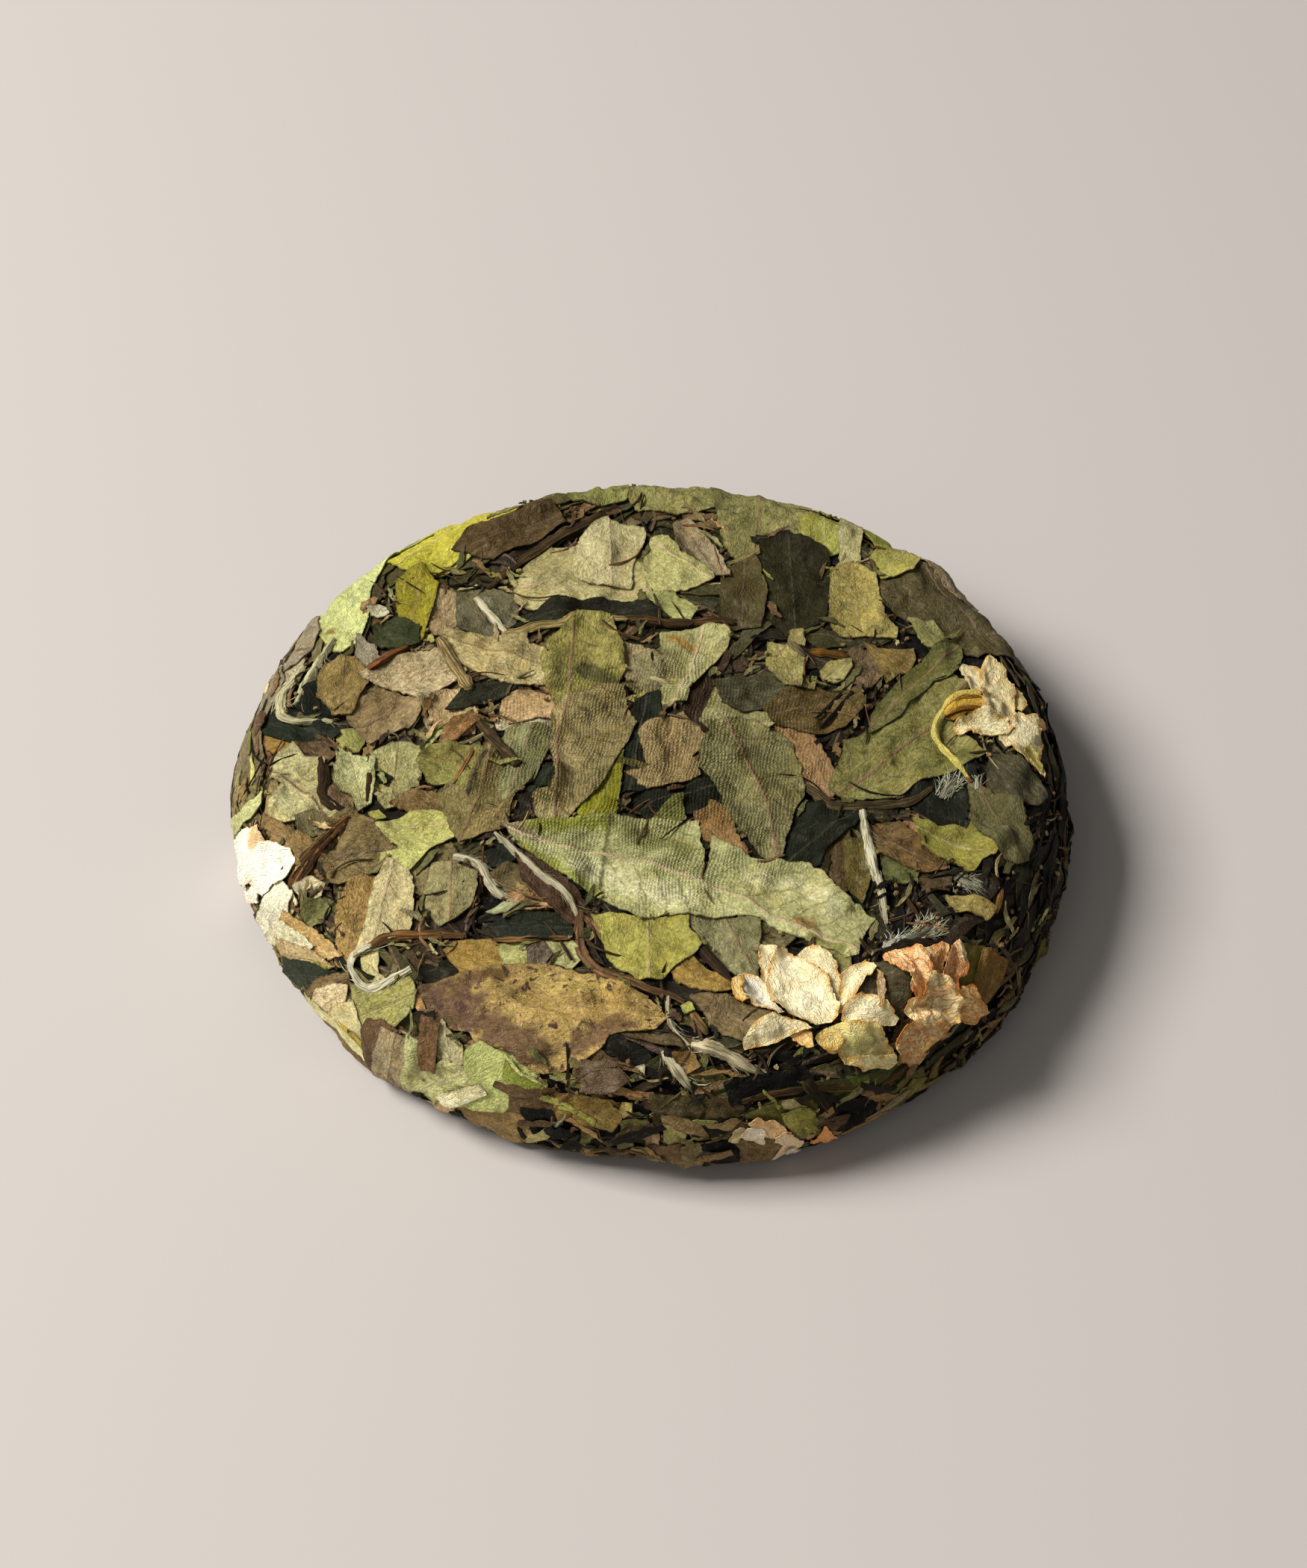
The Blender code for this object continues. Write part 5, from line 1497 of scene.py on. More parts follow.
# %% The lower left and the front
lay_rows("front", """
brown 115,95,75 0.4 | -35.8,-39.9 -33.9,-40.4 -31.9,-41.6 -29.8,-43.3 -30,-44.5 -32.2,-43.3 -34.7,-41.4
olive 140,135,65 0.4 | -37,-36.5 -34.2,-38.2 -30.5,-38 -30,-39 -31.3,-40.9 -33,-40.6 -35.6,-39.6 -36.8,-38.9
dark 48,42,34 0.2 | -28,-36 -25.6,-35 -23.4,-35.8 -23.6,-37.6 -26.4,-38.2 -28.2,-37.6
brown 110,85,65 0.3 | -9.3,-48.6 -7.4,-48.2 -4.8,-49 -4.6,-51.2 -7,-51.8 -9.2,-51
tan 214,204,172 0 | -2,-49.7 -1.1,-49.5 -1.2,-50.3
tan 165,130,60 0.3 | -24.9,-32.9 -24.1,-32.1 -20.3,-32.4 -18.5,-33.8 -16.8,-35.5 -20,-36.2 -22.9,-36.7
 -23.9,-35.1
pale 175,175,110 0.2 | -18.6,-33 -16.4,-32.4 -15,-33.8 -16,-35.6 -18,-35.2
pale 180,178,120 0.2 | -12.8,-32.6 -10.2,-32.4 -9,-34 -10.2,-35.8 -12.4,-35
brown 110,95,90 0.2 | -15.2,-33.6 -13.6,-32.9 -12.6,-34.2 -13.4,-35.6 -15,-35.2
dark 55,60,58 0.4 | -19.6,-29.6 -17,-28 -12.6,-27.9 -10,-29 -10.4,-31.2 -14,-31.8 -18.4,-31.4 | -19.4,-29.8
 -10,-29.6
stem 128,100,70 0.9 | -19.5,-31.9 -15,-32.2 -10.1,-31.7
dark 45,50,48 0.2 | -20.8,-18 -19.6,-16.8 -17.9,-17 -17.4,-18.8 -18.4,-20.1 -20.2,-19.8
olive 105,90,55 0.3 | -19.9,-21.6 -18,-20.3 -15.4,-20.9 -14.9,-22.8 -16.6,-24.2 -19,-23.8
tan 175,130,85 0.2 | -17.9,-24.8 -15.4,-24 -12.3,-24.8 -12.2,-26.4 -15,-26.8 -17.6,-26.2
pale 150,156,116 0 | -19.9,-26.9 -18.4,-26.3 -17,-26.8 -18.2,-27.6
brown 78,54,42 0.5 | -16.5,-18.6 -14.4,-18.6 -11.6,-22.2 -8.6,-26 -8,-28.6 -10,-28.8 -13,-25.4 -15.8,-21.6 |
 -16,-19 -9,-28
stem 96,70,50 0.5 | -21.2,-14.8 -21.2,-20.4 -21.5,-23.8 -22.2,-26.5
silver 205,200,180 1.5 | -24.8,-18.2 -23.2,-18.7 -21.5,-20 -20.7,-21.9 -19.8,-23.5 -18.5,-25.2 -17.8,-25.9
silver 176,170,148 1.4 | -20.2,-13.8 -18.5,-16 -16.9,-18 -15.1,-20 -13.5,-21.9 -11.7,-23.5 -10.3,-25.2
 -9.3,-27.9 | 0.4,0.5
pale 190,195,120 0.6 | -22.2,-46.4 -20.9,-46 -18.5,-47 -16.4,-48.6 -14.4,-49.9 -13.9,-50.8 -15.5,-52.5
 -20,-51.2 -22.6,-48.5
gold 182,152,86 0.2 | -28.8,-39 -25.4,-38 -22.9,-37.2 -20.3,-36.3 -17.8,-36 -15.2,-35.7 -12.7,-35.8
 -10.1,-36.5 -6.7,-37.5 -4.2,-38.9 -0.8,-40.2 1.5,-43 0,-45 -3.3,-45.7 -5.4,-46.4 -5.9,-47.4 -7.6,-48.4
 -9.6,-49.3 -11.7,-49.9 -14.4,-49.6 -16.1,-48.4 -17.5,-47.2 -19.5,-46.4 -21.2,-45.9 -22.4,-44.5 -24.6,-43.8
 -27.1,-42.5 -28.5,-41 | -28.5,-40.5 -14,-42 1,-43 | 3.2 100,74,58 -27,-40.6 -22.5,-42 | 2.1 104,78,56
 -19.5,-45 -14,-47.6 | 1.6 106,80,54 -9,-47 -4,-44.6 | 0.8 112,84,50 -24,-38.4 -18,-37 | 1.4 205,180,105
 -13,-38.2 -6,-39.4
stem 120,90,60 1.4 | -34.7,-32.6 -31.7,-31.2 -28,-30.6 -22.9,-30.7
""", light=1.06)

# %% The front right
lay_rows("front right", """
olive 100,95,55 0.3 | 4.4,-50.2 6.6,-49.6 8.6,-50.4 8,-52 5.4,-52
tan 150,110,55 0.2 | 2.5,-48.4 4.4,-48 5.2,-49.2 3.6,-50
olive 130,125,75 0.4 | 20,-33 23.4,-33.4 23.6,-36.6 21,-36.9
brown 110,100,70 0.4 | 12.2,-28.8 15.8,-29 16.8,-31 15,-32.8 12.4,-32.4
olive 135,130,90 0.8 | 4,-28.3 12.4,-28.5 12.2,-32.4 11.9,-36.5 10.4,-36.3 8.8,-35.8 7.3,-32.6 | 9,-28.6
 10.2,-32.3 12.2,-36.8
dark 50,42,30 0.3 | 0,-37.5 5,-39.4 9.5,-41.4 13.6,-43 12.6,-44.4 8,-42.8 3,-40.8 -0.6,-39
brown 125,105,80 0.4 | 5.3,-40.9 7.7,-41.1 11.9,-42.5 13.4,-43.3 11.7,-44.7 10.5,-46 8.2,-45.2 7.1,-44.3
 6.5,-42.6
tan 165,130,60 0.3 | 4.1,-34.6 5.8,-36.2 7.7,-37.5 9.2,-38.9 7.7,-39.9 5.8,-39.1 3.4,-37.9 2.4,-36
stem 130,110,80 1.2 | 4.4,-42.6 5.2,-44.2 6.3,-45.8
pale 160,165,80 0 | 3.2,-41.8 4.2,-41.4 4.6,-42.6 3.6,-43.1
stem 60,45,34 1.4 | 3.2,-28.5 4.8,-31.2 6.5,-34 8.5,-36.8 9.4,-38.4
pale 165,160,75 0.7 | -6.9,-28 3.6,-28 3.7,-29.7 5.1,-32.4 3.9,-34 2,-35.5 0.5,-37.5 -2,-37.7 -3.5,-36.2
 -5.2,-34 -6.1,-30.2 | -0.8,-28 -0.6,-37.4
stem 112,88,72 1.2 | -9,-27 -9.1,-31.4 -8.6,-34 -7.1,-36.2 -5,-37.7 -2.5,-38.7 0,-39.6 1.7,-39.9 3.6,-41.1
silver 190,182,160 0.8 | 1.7,-39.9 1.7,-42.8 2.2,-45 3.4,-46.5 4.4,-47.4
silver 215,205,178 2 | 4.4,-47.2 6,-47.4 7.7,-47.7 10.2,-48.7 12.6,-49.4 | 0.4,0.3
silver 215,210,190 1.6 | 1,-48.1 2.2,-49.4 4.3,-51.3 | 0.6,0.6
""", light=1.06)

# %% The upper right
lay_rows("upper right", """
brown 60,40,28 0.3 | 3.7,0 6.5,0 6.4,6 7.4,11 9.4,16 8.4,18 6,15 4.6,11 3.7,6
pale 165,160,110 0.3 | 9.2,6.6 11.9,5.4 14.5,4.7 14.6,3.5 7.3,2.8 6.4,4 8,9
brown 80,78,60 0.4 | 8.2,11.3 14.5,12.7 15.8,11.8 17.7,10 16.7,9 16,7.6 14.5,6.6 11.1,6.2 9.2,7.6 | 8.5,9
 17.5,9.8
brown 110,90,55 0.5 | 17,9 19.6,10 23.8,9.3 26.2,10 26.5,7.6 23.8,3.7 20.1,2 17.9,2.8 15.3,3.7 14.6,6.1 |
 15,5 26,9
stem 30,26,20 0.6 | 25.5,9.6 23.2,6 21.1,2.8
stem 34,30,22 0.5 | 24,9.4 21.8,6.2 19.6,3
olive 150,140,90 0.3 | 17.7,18 19.4,18 19.4,20.2 17.8,20.2
olive 158,150,92 0.4 | 18.5,13 20.6,12.6 20.4,10 18.6,10
olive 165,155,95 0.7 | 15.3,18.1 16.7,17.5 17.9,16.4 19.2,15.8 18.7,13.2 18.4,10.1 17.3,10.3 15.8,13
 15.1,14.4
stem 120,115,100 1 | 17.5,18.5 18.6,17.2 19.6,16.1
stem 130,95,35 1.2 | 20.4,17.1 22.8,16.8 25.2,16.1
olive 160,152,95 0.4 | 22.8,15.1 25.2,14.9 25.3,13.4 24.3,11.8 22.1,12.2 21.8,13.5
tan 175,155,115 0.3 | -3.7,18.3 -2.1,18 -0.6,16.9 0.5,12 -0.8,10.3 -3,11.8 -4.2,16.1
stem 58,46,34 1 | -4,11 -3,7 -2,3
tan 160,150,105 0.5 | -2,16 0,16.6 2,14.4 3.4,10.1 3,7 0.6,7.6 -1.4,10.4
pale 180,175,118 0.9 | 1.4,20.2 5.1,20.7 8.5,21.4 9.4,19.8 9,17.8 7.5,15.2 6.1,13.2 4.6,11 3.9,9.3 3.6,7.3
 1.7,6.9 1,8.1 2.6,12.7 2.2,14.4 1.5,17.5 | 2.6,7.2 4.6,13 6.4,21 | 0.7 165,122,48 2.6,19.4 4.7,17.6 | 0.6
 205,200,152 3.4,9 5.8,16
silver 215,205,165 0.9 | -0.5,11.5 0.6,11 1.6,10.3
dark 50,48,36 0.3 | -18,21.6 -14,24.8 -8,25.6 -1,25.2 1,23.6 -6,23 -12,22
stem 92,70,48 1.4 | -4,22.8 0,22.6 3.4,22.2 8.5,22.7 10.5,22.2
stem 152,142,108 1.4 | -19.8,20 -17.5,20.7 -15.1,21.4 -11.8,21.7 -11,22.7 -9.3,23.2 -5.9,22.9 -3,22.8
silver 215,210,190 1.3 | -23.5,26.5 -21.4,23.4 -19.3,20.5
""")

# %% The middle
# On the big pale leaf at the front of the middle, the two broad cream patches below its rib and at its
# right end are painted highlights.
lay_rows("middle", """
dark 42,44,28 0.5 | 0,-7.3 3.4,-6.1 6,-3.4 7.8,-5.4 9.2,-8.2 9.2,-9.9 5,-10.6 1.7,-10.8 0,-12.4 -2,-10
pale 120,125,60 0.2 | 3.4,-9 3.6,-11.7 0.3,-11.9 2.2,-9.7
dark 44,50,40 0.6 | 0,8.4 -2,7.6 -2.5,2.8 -3.5,1.5 -3.9,-1 -4.2,-3.4 -4.5,-7.5 -1.5,-7.3 -1.8,-5.3 -0.4,-4.1
 0.5,-1.7 -1.3,1 -0.4,2.5 0.3,5 | -3,-7 -1,8
pale 140,140,20 0.4 | -4.2,-2.4 -4.7,-5.6 -5,-9.5 -5.4,-11.5 -8.8,-11.5 -9.1,-9.5 -8.8,-8.3 -7.6,-6.8
 -6.1,-4.4
dark 58,44,32 0.3 | -17.5,-8.8 -14.4,-8.4 -12,-9.4 -12.2,-12.4 -15,-12.6 -17.4,-11.6
dark 48,58,36 0.4 | -12.2,-3 -12,-5.8 -13.5,-6.8 -15.1,-8.3 -15.8,-7.5 -14.4,-5.6 -13.2,-3.9
tan 172,144,96 0.3 | 3.4,4.5 4.1,3.5 5.4,1.5 6.3,0.1 5.1,-1 3.9,-2.4 4.9,-3.1 5.1,-4.9 3.4,-6.1 1.7,-6.8
 -0.8,-7.3 -1.5,-6.8 -1.7,-6 -2.5,-5.3 -1.2,-5.1 0,-4.1 -1.5,0.8 0,2.8 | 3,4 0.6,-6.6
brown 120,100,78 0.2 | 8.5,-11.7 10.4,-11.4 11,-15.3 9.2,-15
tan 156,116,68 0.3 | 5.6,-11.7 7,-10.9 7.3,-9.9 8.5,-10.2 9.5,-11.7 9.4,-14.8 10.5,-16.8 11.9,-18.4
 8.8,-16.2 7.5,-15.5 6.5,-15 5.8,-12.9
tan 198,164,116 0.3 | -28,9 -25.4,9.6 -23.2,6.4 -23.4,3 -26,2 -28.2,5
brown 150,108,72 0.3 | -27.2,1 -25.2,1.4 -22.8,4.6 -23.4,5.4 -25.8,4
dark 60,60,52 0.3 | -25.7,7.2 -24.4,9.6 -21.8,10.9 -18.5,12.1 -18.3,10.9 -21,9.2 -23.8,7.6
tan 220,205,165 0 | -19.9,4.6 -17.4,5 -13.8,4.8 -13.9,4 -17,3.9 -19.7,3.9
tan 204,166,118 0.3 | -19,8.4 -17.8,9.3 -15.8,9.5 -13.9,9 -12.9,7.8 -12.5,5.9 -16.1,5.4 -18.5,5.2 -19.2,5.9
olive 140,135,70 0.5 | -28,0 -21.4,-0.5 -21.4,-1.7 -22.2,-3.9 -23.6,-7.3 -24.9,-6.5 -26.1,-5.4 -28,-5.4
 -29.4,-2.5 | -28.5,-2 -21.8,-2
stem 150,118,88 0.6 | -22.9,0 -24,-3 -25.3,-6
olive 135,120,72 0.8 | -21,0 -18.5,-3.9 -18.3,-9 -19.8,-10.4 -21.2,-11.7 -22.6,-13.4 -23.9,-15.1 -24.8,-13.6
 -25.3,-11.9 -25.8,-10.9 -26.3,-9.5 -26.7,-8 -25.8,-6.8 -24.4,-7.5 -23.7,-7.8 | -20.8,-0.5 -21.8,-7 -24,-15
 | 0.3 24,20,12 -21.2,-0.6 -22.4,-4 -23.4,-7.8
olive 140,138,95 0.6 | -18.8,1.5 -18.5,2.8 -16.9,3.7 -13.9,3.5 -13,2.5 -13.9,0 -14.9,-3.4 -15.4,-5.1
 -16.3,-6.5 -17.8,-7.7 -18.3,-9 -18.5,-10.2 -19.5,-6 -18,-3 -17.5,0 | -15.6,3.6 -18.4,-9.8
stem 88,74,60 1.6 | -22.3,4.3 -19.8,0.6 -17.3,-3 | 0.9,0.9
olive 150,130,80 0.2 | -14.9,-3.4 -16.3,-6.5 -17.8,-8 -18.5,-10.2 -18.8,-12.8 -20.5,-13.8 -22,-14.3
 -23.7,-15.3 -21.9,-12.6 -20.2,-10.9 -19,-10.5 -17.1,-9.2 -15.8,-7.5
tan 185,165,110 0.7 | -27,19.8 -19.8,19.2 -17.1,19.7 -16.8,18.1 -13.9,17.5 -13.4,14.4 -13,11.8 -18.3,11.5
 -21.2,12.7 -23.2,13.9 -25.1,15.1 -26.6,17.8 | -27,19 -14,14.5
stem 150,138,112 1.6 | -28,18.8 -26,14.6 -23.7,10.2 | 0.7,1.1
olive 160,150,78 0.8 | -9.8,23 -6.2,22.7 -5.6,20.9 -4.7,18.5 -4.5,15.8 -4.2,14 -5,11.7 -5.2,9.4 -7.6,9 -11,8
 -12.4,8.4 -13.5,11.8 -14,14.4 -14,16.1 -13.5,17.8 -12.7,19.5 -11.3,20.5 -10.3,22 | -10.5,22 -11,8.8 | 1.2
 88,84,48 -9,14 -5.2,11.2 | 1.6 120,112,60 -12.5,12 -11.5,17
olive 165,148,100 1 | -11,9 -7.6,9.8 -4.4,10.1 -4.2,7.6 -3.5,5 -2.8,2.8 -3.9,0 -4.5,-1 -5,-2.2 -6.2,-4.4
 -7.3,-6.3 -8.4,-7.8 -9.6,-9.2 -10.5,-10.5 -11.7,-11.9 -13.9,-12.1 -14.4,-11 -14.6,-9.4 -13,-8.5 -11.8,-6
 -12.1,-4.4 -12.3,-3 -12.4,-1 -12.7,0 -12.5,2.5 -12.6,6 | -11,8.8 -11.5,5.9 -12.2,3.3 -12.4,0.8 -12.1,-3.4
 -12.4,-11.5
olive 138,132,88 1 | 13.3,-17.5 11.9,-15 10.9,-12.9 9.7,-11 9,-9.5 9.2,-8 8.3,-6.8 7.3,-4.9 6.1,-3.4 6.3,-1
 6.8,0 7.8,2 7.3,3 10.9,3.8 12.6,3.7 14.5,1.8 16.2,0.8 17,0 17,-1 17.7,-2.7 18,-3.7 17.9,-5.1 18.4,-6.8
 18.2,-8.2 17.5,-9.5 17,-10.9 16.5,-12.9 15.8,-15.3 15.5,-17.7 15,-19.2 | 10.2,1.5 11.1,-0.9 11.9,-3 12.9,-6
 14.1,-9.5 14.6,-12.8 15,-16.2 15,-18.9
pale 180,180,125 1.2 | -18.5,-13 -17.1,-16.2 -15.1,-18 -12.7,-20.2 -10.1,-22.6 -6.7,-24.8 -4.2,-26.5
 -1.6,-27.9 1,-27.2 4,-27.9 8,-27.9 10.2,-27.4 12.9,-28 15.3,-29.7 16.7,-30.9 18.5,-31.2 21.1,-32.8 23.3,-34
 24.5,-33.8 25.3,-30.7 26.8,-28 23.8,-25.9 22.1,-24.1 21.5,-22.3 20.7,-21.1 18.7,-19.8 16.7,-19.7 14.1,-19.5
 11.9,-18.5 8.8,-16.3 7.1,-15 6.9,-17.5 6.7,-19.3 5.9,-21.6 6.1,-18 5.6,-15 5.4,-12.8 1.7,-12.2 -5.5,-12
 -8,-11.9 -14,-12.6 | -18.3,-13.5 -16.1,-15 -13.2,-15.8 -9.3,-17.5 -5,-18.5 -0.8,-19.4 1.7,-20.4 5.1,-22.1
 8.2,-23.5 11.1,-25.2 14.5,-27.9 24,-33 | 1.1 150,155,50 -15,-13.4 -10.5,-12.8 -6,-12.9 | 0.9 158,162,66
 -16.5,-16.8 -12,-20.2 -7,-23.8 | 1.4 150,152,92 -4,-14.5 0,-15.4 4,-16.8 | 0.9 140,122,100 -18,-13.6
 -15.5,-14.6 | 1.6 212,208,165 -9,-20 -3,-22.4 4,-25.2 | 1.2 208,205,160 12,-22 18,-23 22,-27 | 0.3 84,80,42
 -5.4,-12 -6.2,-18 -6.6,-23 | 0.8 150,115,70 17.5,-28.8 19.4,-29.4 | 0.7 110,118,55 19,-31 22.5,-32.8
""", light=1.06)

# %% [markdown]
# ## The side wall that shows
# On the wall a place is named by its azimuth, in degrees from the right and negative towards
# the viewer, and by its distance from the middle of the top along the surface: 50 is on the
# shoulder, 54 where the wall begins, 60 half way down and 71 at the foot. Only the stains keep
# x and y as seen from above.


# %% Leaves of the side wall
WALL_END = 67.0


def rim_pairs(flat):
    flat = np.minimum(np.array(flat, float).reshape(-1, 2), WALL_END)
    angle = np.radians(flat[:, 0])
    return flat[:, 1, None] * np.stack([np.cos(angle), np.sin(angle)], axis=-1)


def wall_strips(count, azimuths, arcs, askew, lengths, widths, spread, weights, curl):
    """Lays torn strips about level on a part of the wall."""
    for _ in range(count):
        azimuth, arc = math.radians(draw.uniform(*azimuths)), draw.uniform(*arcs)
        lay_sliver(arc * direction(azimuth), azimuth + math.pi / 2 + draw.gauss(0, askew),
                   draw.uniform(*lengths), draw.uniform(*widths), spread, weights, curl)


lay_rows("left wall", """
tan 165,150,122 0.5 | -210,52 -207,49.8 -203,49 -199.5,50.2 -196.4,52.6 -197.6,55 -200,57.8 -204,59.4
 -207.6,58.2 -209.6,55 | -209.6,53 -203,54.4 -196.6,53
tan 152,140,112 0.5 | -199,52 -195,50.2 -190.6,49.6 -187,51 -184.4,53.8 -186,57 -189.6,60 -193.4,61.6
 -196.8,58.4 -198.6,55 | -198.6,53.4 -191,54.6 -185,55
brown 135,120,96 0.5 | -187.6,52.4 -184,50.4 -180,50.2 -176,51.2 -173.4,53.2 -174.4,56.4 -177.6,59.8
 -181,62.2 -184.4,60 -186.8,56.4 | -187.2,54 -181,55.4 -174,54.6
tan 160,145,115 0.4 | -206,60.4 -202,58.2 -197.6,57.6 -193,59 -190,61.8 -192.6,65 -197,67 -202,66.6
 -205.4,63.6
brown 120,105,82 0.4 | -191.4,61.4 -187,60 -182.6,60.4 -178,62 -175,64.6 -178,66.8 -184,67 -188.6,65.8
tan 150,135,100 0.4 | -176.6,54.4 -173.4,52.4 -169.8,52.2 -166.6,53.6 -165.4,56 -167,60 -170,63.4 -173.6,62
 -175.8,58
""", place=rim_pairs)
wall_strips(300, (-205, -10), (50, 67), 0.25, (2.5, 8), (0.4, 1.3), 0.3,
            {"pale": 0.3, "olive": 1.0, "tan": 0.7, "brown": 1.0, "dark": 0.6}, 0.05)
print("strips on the wall laid")
